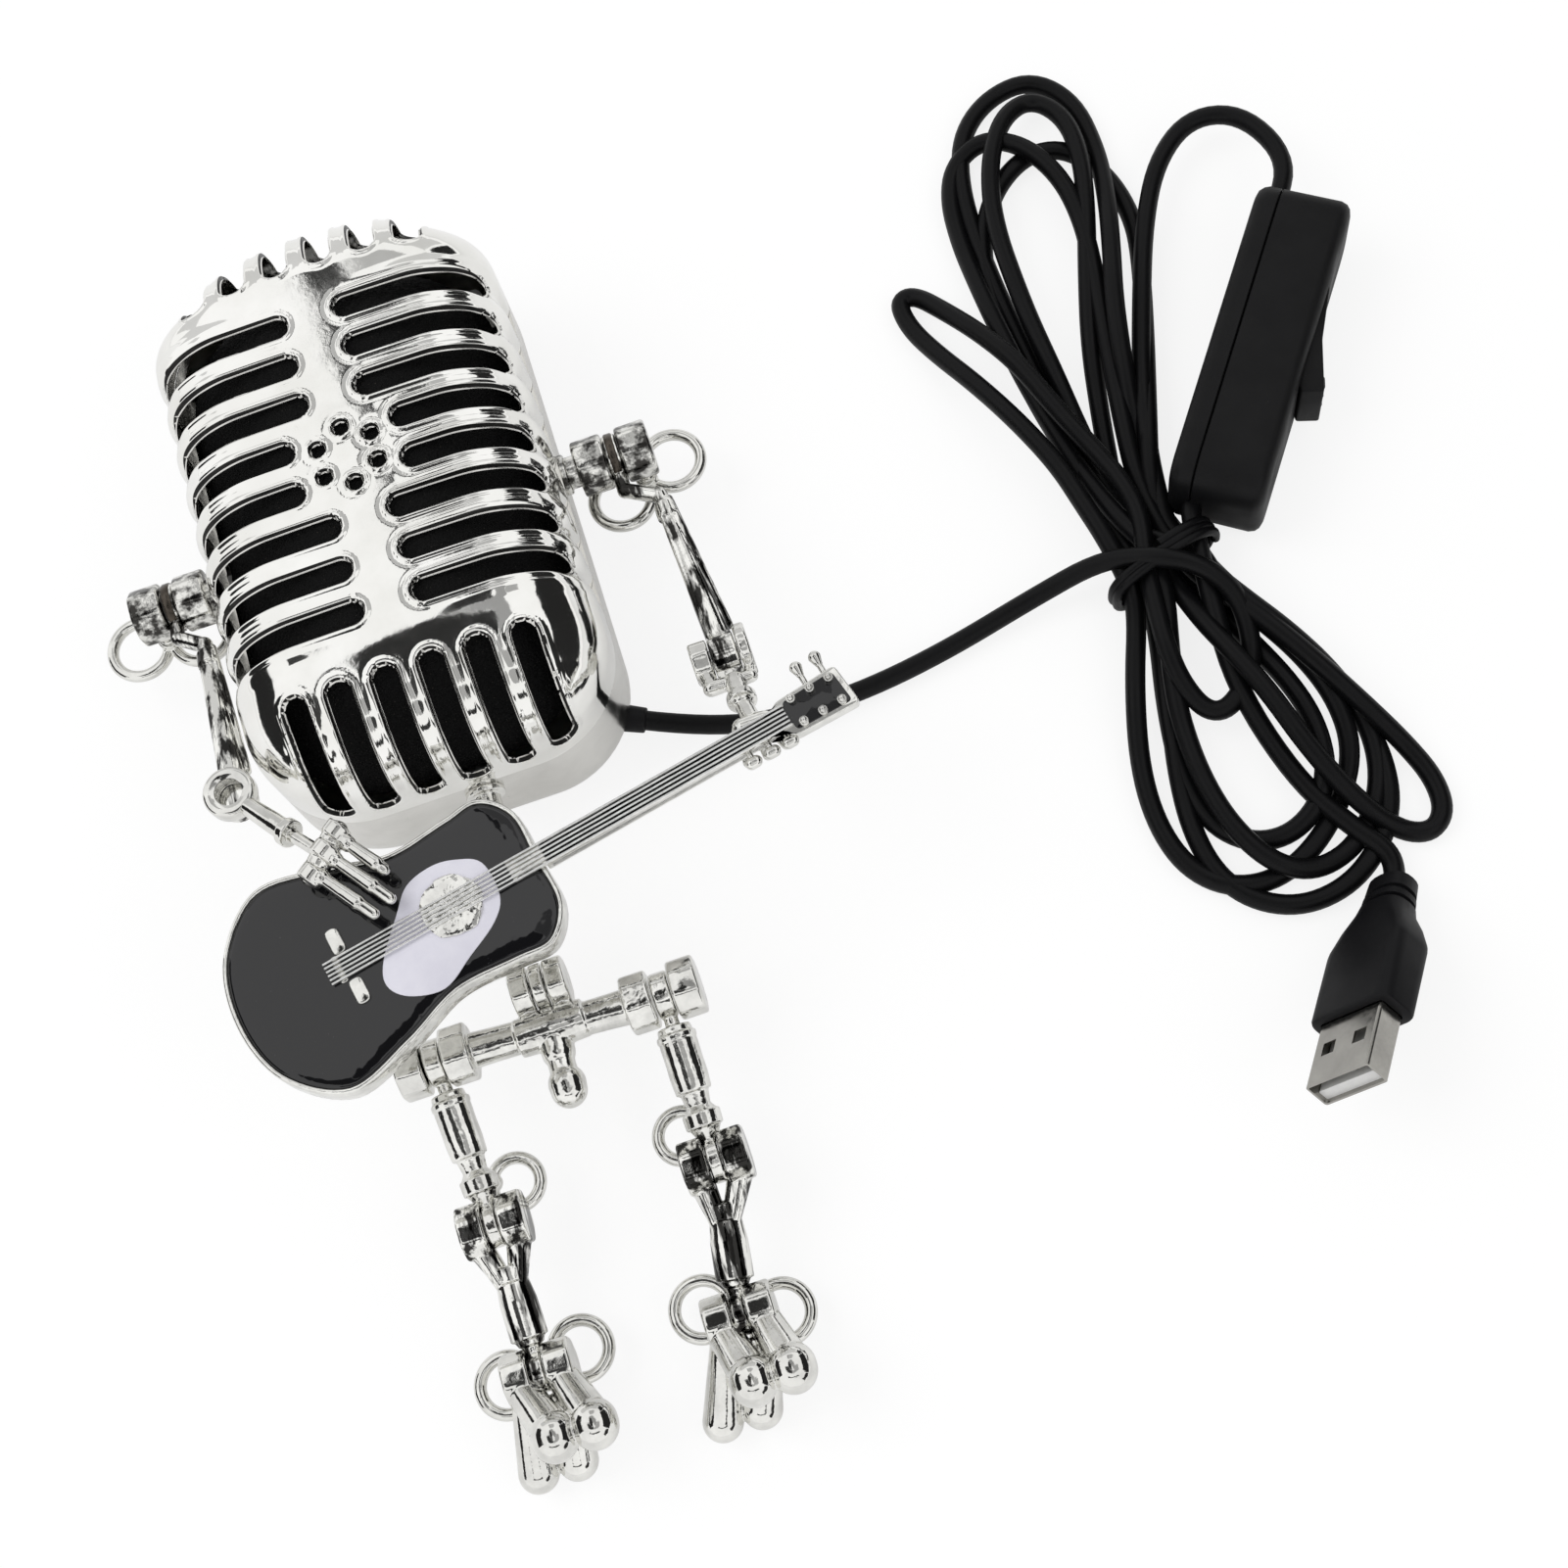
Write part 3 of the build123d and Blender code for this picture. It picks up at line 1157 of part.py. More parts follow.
tie_plane = Plane(origin=(tie_centre[0], tie_centre[1], hank_floor),
                  x_dir=(-tie_direction[1], tie_direction[0], 0), z_dir=(0, 0, 1))
upper_outline = [(107.0, -40.0), (105.9, -25.3), (103.6, -14.7), (99.6, -6.2), (94.6, 4.8), (91.6, 14.5),
                 (92.2, 18.0),
                 (94.7, 18.5), (99.0, 15.3), (104.2, 8.6), (105.6, 19.0), (106.5, 31.2), (109.0, 38.8),
                 (114.5, 45.3), (120.8, 50.4), (128.6, 51.8), (133.9, 46.1), (135.1, 36.8), (135.5, 28.0),
                 (134.8, 18.8), (132.6, 10.3), (128.6, 3.4), (122.2, -14.4), (118.4, -28.4), (116.6, -42.0),
                 (118.0, -47.0), (108.6, -50.4)]
lower_outline = [(109.2, -44.6), (110.2, -51.0), (104.6, -63.9), (99.8, -78.0), (98.3, -87.9),
                 (100.0, -96.1),
                 (105.1, -101.8), (112.0, -104.5), (116.8, -108.2), (124.6, -108.6), (129.6, -104.6),
                 (133.2, -99.6),
                 (137.5, -101.6), (141.7, -101.7), (144.0, -98.3), (144.7, -92.5), (141.9, -85.5),
                 (139.4, -79.8),
                 (137.2, -73.2), (133.6, -65.6), (128.6, -57.3), (126.4, -52.0), (125.0, -45.0)]


def hank(outline, keep_side):
    """Flat closed solid with the outline of a bundle of loops, cut square at the tie."""
    with BuildPart() as bundle:
        with BuildSketch(Plane.XY.offset(hank_floor)):
            with BuildLine():
                Polyline(*outline, close=True)
            make_face()
        extrude(amount=hank_height)
        cut_face = Plane(origin=at(tie_plane, 0, keep_side * tie_length / 2),
                         z_dir=tie_plane.y_dir * keep_side)
        split(bisect_by=cut_face, keep=Keep.TOP)
    return bundle.part


cord_hank_upper = hank(upper_outline, 1)
cord_hank_lower = hank(lower_outline, -1)
cord_hank_upper.label = "cord_hank_upper"
cord_hank_lower.label = "cord_hank_lower"
export_step(cord_hank_upper, "parts/cord_hank_upper.step")
export_step(cord_hank_lower, "parts/cord_hank_lower.step")

with BuildPart() as cord_tie:
    with BuildSketch(tie_plane):
        Rectangle(tie_width, tie_length)
    extrude(amount=tie_height)
    fillet(cord_tie.edges().filter_by(Axis(tie_plane.origin, tie_plane.y_dir)), 3.0)
cord_tie.part.label = "cord_tie"
export_step(cord_tie.part, "parts/cord_tie.step")

with BuildPart() as cord_lead:
    add(lead_tube)
    for neighbour in (cord_tie.part, cord_hank_upper, cord_hank_lower):
        add(neighbour, mode=Mode.SUBTRACT)
cord_lead.part.label = "cord_lead"
export_step(cord_lead.part, "parts/cord_lead.step")

# ---------------------------------------------------------------- switch
# the case lies on its side: x towards its foot end, y towards the rocker, z up
switch_plane = Plane(origin=(switch_centre[0], switch_centre[1], switch_floor),
                     x_dir=(switch_direction[0], switch_direction[1], 0), z_dir=(0, 0, 1))
half_case = switch_length / 2
base_low = -switch_width / 2
seam_y = base_low + switch_seam
case_high = switch_width / 2
pivot_x = -rocker_offset
pivot_y = case_high - rocker_reach
pocket_half = rocker_length / 2 + rocker_gap
entry_top = at(switch_plane, -half_case, -cord_entry_offset, cord_entry_height - switch_floor)
entry_foot = at(switch_plane, half_case, -cord_entry_offset, cord_entry_height - switch_floor)


def case_block(low, high):
    """Slice of the rounded case between two heights above its base."""
    with BuildSketch(switch_plane) as plan:
        with Locations((0, (low + high) / 2)):
            Rectangle(switch_length, high - low)
    return extrude(plan.sketch, amount=switch_depth, mode=Mode.PRIVATE)


with BuildPart() as case_form:
    with BuildSketch(switch_plane):
        RectangleRounded(switch_length, switch_width, switch_corner)
    extrude(amount=switch_depth)
    case_levels = case_form.faces().group_by(Axis.Z)
    fillet(case_levels[-1].edges() + case_levels[0].edges(), switch_edge)

with BuildPart() as cord_bores:
    bore_depth = 7.0
    rod(entry_top - switch_plane.x_dir * cord_radius, entry_top + switch_plane.x_dir * bore_depth,
        cord_radius + seat_clearance)
    rod(entry_foot - switch_plane.x_dir * bore_depth, entry_foot + switch_plane.x_dir * cord_radius,
        cord_radius + seat_clearance)

with BuildPart() as switch_case_base:
    add(case_form.part)
    add(case_block(seam_y, case_high), mode=Mode.SUBTRACT)
    add(cord_bores.part, mode=Mode.SUBTRACT)

with BuildPart() as switch_case_cover:
    add(case_form.part)
    add(case_block(base_low, seam_y), mode=Mode.SUBTRACT)
    add(cord_bores.part, mode=Mode.SUBTRACT)
    with BuildSketch(switch_plane.offset((switch_depth - rocker_depth) / 2 - rocker_gap)):
        with Locations((pivot_x, case_high - rocker_pocket / 2 + rocker_gap)):
            Rectangle(2 * pocket_half, rocker_pocket + 2 * rocker_gap)
    extrude(amount=rocker_depth + 2 * rocker_gap, mode=Mode.SUBTRACT)
    pivot_low = at(switch_plane, pivot_x, pivot_y, (switch_depth - rocker_depth) / 2 - 1.5)
    pivot_high = at(switch_plane, pivot_x, pivot_y, (switch_depth + rocker_depth) / 2 + 1.5)
    rod(pivot_low, pivot_high, rocker_pin_radius + running_clearance, Mode.SUBTRACT)
switch_case_base.part.label = "switch_case_base"
switch_case_cover.part.label = "switch_case_cover"
export_step(switch_case_base.part, "parts/switch_case_base.step")
export_step(switch_case_cover.part, "parts/switch_case_cover.step")

rocker_turn = radians(rocker_tilt)
with BuildPart() as switch_rocker:
    with BuildSketch(switch_plane.offset((switch_depth - rocker_depth) / 2)):
        with BuildLine():
            Polyline((pivot_x - rocker_length / 2 + 0.6, case_high + 0.1), (pivot_x, case_high + 1.4),
                     (pivot_x + rocker_length / 2 - 1.3, case_high + rocker_length * tan(rocker_turn)),
                     (pivot_x + rocker_length / 2 - 0.2, case_high + 0.4),
                     (pivot_x + rocker_keel, pivot_y - 0.6), (pivot_x, pivot_y - rocker_keel),
                     (pivot_x - rocker_keel, pivot_y - 0.6),
                     (pivot_x - rocker_length / 2 + 0.6, case_high - 2.4), close=True)
        make_face()
    extrude(amount=rocker_depth)
    rod(at(switch_plane, pivot_x, pivot_y, (switch_depth - rocker_depth) / 2 - 1.3),
        at(switch_plane, pivot_x, pivot_y, (switch_depth + rocker_depth) / 2 + 1.3), rocker_pin_radius)
switch_rocker.part.label = "switch_rocker"
export_step(switch_rocker.part, "parts/switch_rocker.step")

# ---------------------------------------------------------------- plug
plug_axis = Vector(*plug_direction).normalized()
plug_plane = Plane(origin=Vector(*plug_start), x_dir=Vector(*plug_side), z_dir=plug_axis)
with BuildPart() as plug_overmold:
    with BuildSketch(plug_plane):
        RectangleRounded(relief_width * 0.82, relief_depth * 0.86, relief_depth * 0.4)
    with BuildSketch(plug_plane.offset(relief_length)):
        RectangleRounded(relief_width, relief_depth, relief_depth * 0.4)
    loft()
    with BuildSketch(plug_plane.offset(relief_length)):
        RectangleRounded(relief_width, relief_depth, 1.5)
    with BuildSketch(plug_plane.offset(relief_length + overmold_taper)):
        RectangleRounded(overmold_width, overmold_depth, 1.5)
    loft()
    with BuildSketch(plug_plane.offset(relief_length + overmold_taper)):
        RectangleRounded(overmold_width, overmold_depth, 1.5)
    extrude(amount=overmold_length - overmold_taper)
    with BuildSketch(plug_plane.offset(relief_length + overmold_length - shell_seat)):
        Rectangle(shell_width + 2 * seat_clearance, shell_depth + 2 * seat_clearance)
    extrude(amount=shell_seat, mode=Mode.SUBTRACT)
    for groove in (3.0, 5.0):
        with BuildSketch(plug_plane.offset(groove)):
            RectangleRounded(relief_width + 2, relief_depth + 2, 2.8)
            RectangleRounded(relief_width * 0.78, relief_depth * 0.78, 2.1, mode=Mode.SUBTRACT)
        extrude(amount=0.7, mode=Mode.SUBTRACT)
plug_overmold.part.label = "plug_overmold"
export_step(plug_overmold.part, "parts/plug_overmold.step")

shell_start = relief_length + overmold_length - shell_seat
shell_total = shell_seat + shell_length
inside_width = shell_width - 2 * shell_wall
inside_depth = shell_depth - 2 * shell_wall
with BuildPart() as plug_shell:
    with BuildSketch(plug_plane.offset(shell_start)):
        RectangleRounded(shell_width, shell_depth, 0.5)
        RectangleRounded(inside_width, inside_depth, 0.3, mode=Mode.SUBTRACT)
    extrude(amount=shell_total)
    hole_plane = Plane(origin=at(plug_plane, 0, 0, shell_start + shell_total - 6.4), x_dir=plug_plane.x_dir,
                       z_dir=plug_plane.y_dir)
    with BuildSketch(hole_plane):
        with GridLocations(6.0, 0, 2, 1):
            Rectangle(2.4, 2.4)
    extrude(amount=shell_depth, mode=Mode.SUBTRACT)
plug_shell.part.label = "plug_shell"
export_step(plug_shell.part, "parts/plug_shell.step")

with BuildPart() as plug_tongue:
    with BuildSketch(plug_plane.offset(shell_start)):
        with Locations((0, (tongue_depth - inside_depth) / 2)):
            RectangleRounded(inside_width, tongue_depth, 0.3)
    extrude(amount=shell_total - 0.8)
plug_tongue.part.label = "plug_tongue"
export_step(plug_tongue.part, "parts/plug_tongue.step")

# ---------------------------------------------------------------- loose strands beside the hank
switch_axis = switch_plane.x_dir
strand_start = at(tie_plane, 3.6, tie_length / 4, 5.2 - hank_floor)
strand_points = [strand_start, Vector(120.9, -34.2, 5.0), Vector(122.7, -24.0, 5.0),
                 Vector(126.4, -11.5, 5.0),
                 Vector(131.4, 2.0, 5.0), Vector(136.6, 14.9, 5.0), Vector(142.9, 26.0, 5.2),
                 Vector(151.0, 31.8, 5.9),
                 Vector(159.3, 28.6, 7.0), entry_top - switch_axis * 9.0,
                 entry_top + switch_axis * cord_radius]
tail_start = entry_foot - switch_axis * cord_radius
tail_end = at(tie_plane, 7.0, tie_length / 4, 8.0 - hank_floor)
strand_foot = Vector(134.6, -100.6, 2.6)
strand_top = cord_tube(strand_points)
with BuildPart() as cord_strands:
    add(strand_top)
    rod(tail_start, tail_end, cord_radius)
    rod(strand_foot, Vector(*plug_start) + plug_axis * 0.6, cord_radius)
    for neighbour in (cord_tie.part, cord_hank_lower, cord_hank_upper, plug_overmold.part,
                      switch_case_base.part, switch_case_cover.part):
        add(neighbour, mode=Mode.SUBTRACT)
cord_strands.part.label = "cord_strands"
export_step(cord_strands.part, "parts/cord_strands.step")
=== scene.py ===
"""Robot shaped desk lamp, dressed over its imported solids.

Sizes in the classes are millimetres; meshes are written in metres.
"""

import logging
import math
from dataclasses import dataclass, field
from enum import Enum
from typing import Iterable, Optional, Sequence

import bpy
import numpy as np
from mathutils import Matrix


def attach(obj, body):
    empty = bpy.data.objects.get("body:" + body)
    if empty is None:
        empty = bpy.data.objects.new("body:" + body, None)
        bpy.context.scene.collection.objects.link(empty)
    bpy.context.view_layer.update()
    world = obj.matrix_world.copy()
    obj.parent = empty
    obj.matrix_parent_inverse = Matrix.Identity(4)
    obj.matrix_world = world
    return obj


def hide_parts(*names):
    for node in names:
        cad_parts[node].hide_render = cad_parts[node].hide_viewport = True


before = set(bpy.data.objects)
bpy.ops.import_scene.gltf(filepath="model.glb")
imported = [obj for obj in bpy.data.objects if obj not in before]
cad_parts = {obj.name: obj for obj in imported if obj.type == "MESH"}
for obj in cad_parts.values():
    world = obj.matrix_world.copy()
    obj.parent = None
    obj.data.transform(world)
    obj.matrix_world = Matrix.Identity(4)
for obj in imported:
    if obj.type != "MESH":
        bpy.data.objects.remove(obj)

MM = 0.001
SHOULDER = (38.35, -2.0, 17.5)       # middle of the right shoulder; the left one mirrors it
HIP_LEFT = (-15.5, -90.5)
HIP_RIGHT = (20.5, -91.9)
HIP_HEIGHT = 17.5
PLUG_ENTRY = (131.7, -108.3, 3.5)    # where the cord goes into the plug's grip
PLUG_AXIS = (-0.534, -0.742, 0.407)
UP = (0.0, 0.0, 1.0)
Array = np.ndarray
log = logging.getLogger("lamp")


class Side(Enum):
    """A side of the figure, by its sign along x."""

    LEFT = -1
    RIGHT = 1

    @property
    def tag(self) -> str:
        """Name used in nodes and bodies."""
        return self.name.lower()


# ---------------------------------------------------------------- frames and surfaces
def vec(*values: float) -> Array:
    """Return the values as a numpy vector."""
    return np.array(values, dtype=float)


def unit(v: Array) -> Array:
    """Return vectors scaled to length one along their last axis."""
    return v / np.maximum(np.linalg.norm(v, axis=-1, keepdims=True), 1e-12)


@dataclass(frozen=True)
class Seat:
    """A place and three directions to build in."""

    origin: Array
    x: Array
    y: Array
    z: Array

    def at(self, points: Array) -> Array:
        """Carry local points to the lamp: origin plus each coordinate times its direction."""
        points = np.asarray(points, dtype=float)
        return self.origin + points @ np.stack([self.x, self.y, self.z])

    def moved(self, *local: float) -> "Seat":
        """Return the same directions at a local point."""
        return Seat(self.at(vec(*local)), self.x, self.y, self.z)


def limb_seat(origin: Sequence[float], pitch: float, side: int = 1) -> Seat:
    """Seat at a joint: x along the hinge, -y down the limb, which drops by the pitch in degrees."""
    drop = math.radians(pitch)
    x = vec(side, 0, 0)
    z = vec(0, -math.sin(drop), math.cos(drop))
    y = np.cross(z, vec(1, 0, 0))
    return Seat(np.asarray(origin, dtype=float), x, y, z)


def shoulder_at(side: Side) -> tuple[float, float, float]:
    """Middle of a side's shoulder."""
    x, y, z = SHOULDER
    return side.value * x, y, z


def turned_seat(origin: Sequence[float], degrees: float) -> Seat:
    """Seat turned about the vertical by an angle."""
    a = math.radians(degrees)
    return Seat(np.asarray(origin, dtype=float), vec(math.cos(a), math.sin(a), 0),
                vec(-math.sin(a), math.cos(a), 0), vec(0, 0, 1))


def seat_on(origin: Array, axis: Array, hint: Array) -> Seat:
    """Seat whose z is the axis and whose x is the hint made square to it."""
    z = unit(np.asarray(axis, dtype=float))
    x = unit(hint - z * float(hint @ z))
    return Seat(np.asarray(origin, dtype=float), x, np.cross(z, x), z)


def circle(radius: float, sides: int = 32) -> Array:
    """Points of a circle: radius times cosine and sine of equal turns."""
    a = np.linspace(0, 2 * math.pi, sides, endpoint=False)
    return np.stack([radius * np.cos(a), radius * np.sin(a)], axis=1)


def softened(corners: Array, radius: float, steps: int = 5) -> Array:
    """Round a closed outline's corners.

    Each corner becomes a parabola from a point on the edge before it to one on the edge after
    it, both a radius away, weighted (1-t)^2, 2t(1-t) and t^2.

    Args:
        corners: outline points, (n, 2).
        radius: distance of the curve's ends from the corner.
        steps: points to a corner.

    Returns:
        The rounded outline, (n * steps, 2).
    """
    corners = np.asarray(corners, dtype=float)
    before = np.roll(corners, 1, axis=0) - corners
    after = np.roll(corners, -1, axis=0) - corners
    cut_b = np.minimum(radius, 0.49 * np.linalg.norm(before, axis=1, keepdims=True))
    cut_a = np.minimum(radius, 0.49 * np.linalg.norm(after, axis=1, keepdims=True))
    start = corners + unit(before) * cut_b
    end = corners + unit(after) * cut_a
    t = np.linspace(0, 1, steps)[None, :, None]
    curve = (1 - t) ** 2 * start[:, None] + 2 * t * (1 - t) * corners[:, None] + t ** 2 * end[:, None]
    return curve.reshape(-1, 2)


def octagon(flats: float, rounding: float = 0.7) -> Array:
    """Rounded eight-sided outline with flats this far apart."""
    a = np.radians(22.5 + 45 * np.arange(8))
    r = flats / 2 / math.cos(math.radians(22.5))
    return softened(np.stack([r * np.cos(a), r * np.sin(a)], axis=1), rounding, 5)


def oval(width: float, depth: float, corner: float, steps: int = 9) -> Array:
    """Rounded rectangle outline."""
    w, d = width / 2, depth / 2
    return softened(np.array([[w, -d], [w, d], [-w, d], [-w, -d]]), corner, steps)


def inset(outline: Array, amount: float) -> Array:
    """Draw a closed outline in along its normals, taken from each point's two neighbours."""
    edge = np.roll(outline, -1, axis=0) - np.roll(outline, 1, axis=0)
    normal = unit(np.stack([edge[:, 1], -edge[:, 0]], axis=1))
    return outline - normal * amount


def smooth_loop(points: Array, per_span: int = 8) -> Array:
    """Closed curve through points.

    Each span is the cubic through its two points whose slopes are half the step between
    the points on either side.

    Args:
        points: the points that the curve goes through, (n, 2) or (n, 3).
        per_span: points worked out from one of them to the next.

    Returns:
        The curve, (n * per_span, 2) or (n * per_span, 3).
    """
    p0, p1 = np.roll(points, 1, axis=0), points
    p2, p3 = np.roll(points, -1, axis=0), np.roll(points, -2, axis=0)
    t = np.linspace(0, 1, per_span, endpoint=False)[None, :, None]
    p0, p1, p2, p3 = (p[:, None] for p in (p0, p1, p2, p3))
    curve = 0.5 * (2 * p1 + (p2 - p0) * t + (2 * p0 - 5 * p1 + 4 * p2 - p3) * t ** 2
                   + (3 * p1 - p0 - 3 * p2 + p3) * t ** 3)
    return curve.reshape(-1, points.shape[1])


def sheet_quads(rows: int, columns: int) -> Array:
    """Faces of an open grid: each joins four neighbours, counted row by row."""
    index = np.arange(rows * columns).reshape(rows, columns)
    corners = [index[:-1, :-1], index[1:, :-1], index[1:, 1:], index[:-1, 1:]]
    return np.stack(corners, axis=-1).reshape(-1, 4)


def stand(name: str, data: bpy.types.ID) -> bpy.types.Object:
    """Make an object from its data and put it in the scene."""
    made = bpy.data.objects.new(name, data)
    bpy.context.scene.collection.objects.link(made)
    return made


class Skin:
    """Closed surfaces, in millimetres, gathered into one piece."""

    def __init__(self) -> None:
        """Start with no points."""
        self.points: list[Array] = []
        self.faces: list[list[int]] = []
        self.count = 0

    def add(self, points: Array, quads: Array, extra: Optional[Array] = None) -> None:
        """Append one closed surface, turned so that its faces point outwards.

        The signed volume is a sixth of the sum of each face's triple products; where it is
        negative every face is reversed.
        """
        tris = np.concatenate([quads[:, [0, 1, 2]], quads[:, [0, 2, 3]]]
                              + ([extra] if extra is not None and len(extra) else []))
        a, b, c = points[tris[:, 0]], points[tris[:, 1]], points[tris[:, 2]]
        flip = float(np.einsum("ij,ij->i", a, np.cross(b, c)).sum()) < 0
        step = -1 if flip else 1
        self.faces += (quads[:, ::step] + self.count).tolist()
        if extra is not None and len(extra):
            self.faces += (extra[:, ::step] + self.count).tolist()
        self.points.append(points)
        self.count += len(points)

    def lattice(self, grid: Array, wrap: bool = False) -> "Skin":
        """Add rings joined in order.

        Args:
            grid: the rings' points, (rings, points to a ring, 3).
            wrap: join the last ring to the first, where the ends are otherwise closed by fans.

        Returns:
            The skin itself, so that calls can be chained.
        """
        n, m, _ = grid.shape
        index = np.arange(n * m).reshape(n, m)
        low = index if wrap else index[:-1]
        high = np.roll(index, -1, axis=0) if wrap else index[1:]
        quads = np.stack([low, np.roll(low, -1, 1), np.roll(high, -1, 1), high], axis=-1).reshape(-1, 4)
        points = grid.reshape(-1, 3)
        extra = None
        if not wrap:
            points = np.concatenate([points, grid[0].mean(0)[None], grid[-1].mean(0)[None]])
            first, last = index[0], index[-1]
            foot = np.stack([np.full(m, n * m), np.roll(first, -1), first], axis=1)
            head = np.stack([np.full(m, n * m + 1), last, np.roll(last, -1)], axis=1)
            extra = np.concatenate([foot, head])
        self.add(points, quads, extra)
        return self

    def swept(self, path: Array, sizes: Array, side: Array, rise: Array, sides: int) -> "Skin":
        """Add a tube: at each point of a path a circle of its size, spread along two directions."""
        ring = circle(1.0, sides)
        return self.lattice(path[:, None] + sizes[:, None, None] * (ring[None, :, :1] * side
                                                                    + ring[None, :, 1:] * rise))

    def carried(self, path: Array, radii: Array, sides: int = 24, hint: Optional[Array] = None) -> "Skin":
        """Add a tube: a circle set square to the path's direction at each of its points.

        Args:
            path: middles of the circles, (n, 3).
            radii: their radii, (n,).
            sides: points to a circle.
            hint: a direction that the path never takes, from which the circles' first axis is made.

        Returns:
            The skin itself.
        """
        path, radii = np.asarray(path, dtype=float), np.asarray(radii, dtype=float)
        direction = unit(np.gradient(path, axis=0))
        hint = vec(0.13, 0.21, 1.0) if hint is None else hint
        side = unit(np.cross(direction, hint))
        rise = np.cross(side, direction)
        return self.swept(path, radii, side[:, None], rise[:, None], sides)

    def bar(self, start: Array, end: Array, radii: Sequence[float], sides: int = 24) -> "Skin":
        """Add a straight bar with a small quarter round at each end.

        Args:
            start: middle of one end.
            end: middle of the other.
            radii: its radii at places spread evenly along it.
            sides: points to a circle.

        Returns:
            The skin itself.
        """
        start, end = np.asarray(start, dtype=float), np.asarray(end, dtype=float)
        radii = np.asarray(radii, dtype=float)
        length = float(np.linalg.norm(end - start))
        lip = min(0.25, radii.min() * 0.4, length * 0.2)
        t = np.linspace(0, 1, len(radii))
        a = np.radians([90, 60, 30])
        head_t = lip / length * (1 - np.sin(a))
        head_r = radii[0] - lip * (1 - np.cos(a))
        tail_r = radii[-1] - lip * (1 - np.cos(a[::-1]))
        stations = np.concatenate([head_t, t * (1 - 2 * lip / length) + lip / length, 1 - head_t[::-1]])
        sizes = np.concatenate([head_r, radii, tail_r])
        path = start + (end - start) * stations[:, None]
        hint = vec(0.31, 0.12, 1.0)
        if abs(float(unit(end - start) @ unit(hint))) > 0.9:
            hint = vec(1.0, 0.2, 0.1)
        direction = unit(end - start)
        side = unit(np.cross(direction, hint))
        return self.swept(path, sizes, side, np.cross(side, direction), sides)

    def bulb(self, start: Array, end: Array, first: float, second: float, sides: int = 32) -> "Skin":
        """Add a capsule: half a ball at each end and a cone between them."""
        start, end = np.asarray(start, dtype=float), np.asarray(end, dtype=float)
        length = max(float(np.linalg.norm(end - start)), 1e-4)
        direction = (end - start) / length
        a = np.radians(np.linspace(3, 90, 9))
        along = np.concatenate([-first * np.cos(a), np.linspace(0, length, 6)[1:-1],
                                length + second * np.cos(a[::-1])])
        middle = np.linspace(first, second, 6)[1:-1]
        sizes = np.concatenate([first * np.sin(a), middle, second * np.sin(a[::-1])])
        hint = vec(0.31, 0.12, 1.0) if abs(direction[2]) < 0.85 else vec(1.0, 0.2, 0.1)
        side = unit(np.cross(direction, hint))
        path = start + direction * along[:, None]
        return self.swept(path, sizes, side, np.cross(side, direction), sides)

    def ball(self, centre: Array, radius: float, sides: int = 36) -> "Skin":
        """Add a sphere."""
        centre = np.asarray(centre, dtype=float)
        return self.bulb(centre - vec(0, 0, 1e-3), centre + vec(0, 0, 1e-3), radius, radius, sides)

    def prism(self, seat: Seat, outline: Array, low: float, high: float, bevel: float = 0.35) -> "Skin":
        """Add an outline, in the seat's x and y, raised from low to high with rounded rims.

        The rim follows a quarter circle of the bevel's radius.

        Args:
            seat: where the outline lies.
            outline: closed outline, (n, 2).
            low: height of its lower face.
            high: height of its upper face.
            bevel: radius of both rims.

        Returns:
            The skin itself.
        """
        a = np.radians([0, 30, 60, 90])
        draw = np.concatenate([bevel * (1 - np.sin(a)), bevel * (1 - np.sin(a[::-1]))])
        rise = np.concatenate([low + bevel * (1 - np.cos(a)), high - bevel * (1 - np.cos(a[::-1]))])
        rings = [np.column_stack([inset(outline, d), np.full(len(outline), h)]) for d, h in zip(draw, rise)]
        return self.lattice(seat.at(np.stack(rings)))

    def block(self, seat: Seat, flats: float, low: float, high: float, bevel: float = 0.45,
              rounding: float = 0.8) -> "Skin":
        """Add a rounded octagonal block round the seat's x axis."""
        across = Seat(seat.origin, seat.y, seat.z, seat.x)
        return self.prism(across, octagon(flats, rounding), low, high, bevel)

    def disc(self, seat: Seat, radius: float, low: float, high: float, bevel: float = 0.3,
             sides: int = 40) -> "Skin":
        """Add a round plate about the seat's x axis."""
        across = Seat(seat.origin, seat.y, seat.z, seat.x)
        return self.prism(across, circle(radius, sides), low, high, bevel)

    def hoop(self, centre: Array, radius: float, wire: float, around: int = 56, sides: int = 16) -> "Skin":
        """Add a wire ring lying level: a small circle carried round a big one."""
        seat = seat_on(centre, vec(*UP), vec(1.0, 0.13, 0.07))
        a = np.radians(np.linspace(0, 360.0, around, endpoint=False))
        radial = np.stack([np.cos(a), np.sin(a), np.zeros_like(a)], axis=1)
        ring = circle(wire, sides)
        local = radial[:, None] * (radius + ring[None, :, :1]) + vec(0, 0, 1) * ring[None, :, 1:]
        return self.lattice(seat.at(local), wrap=True)

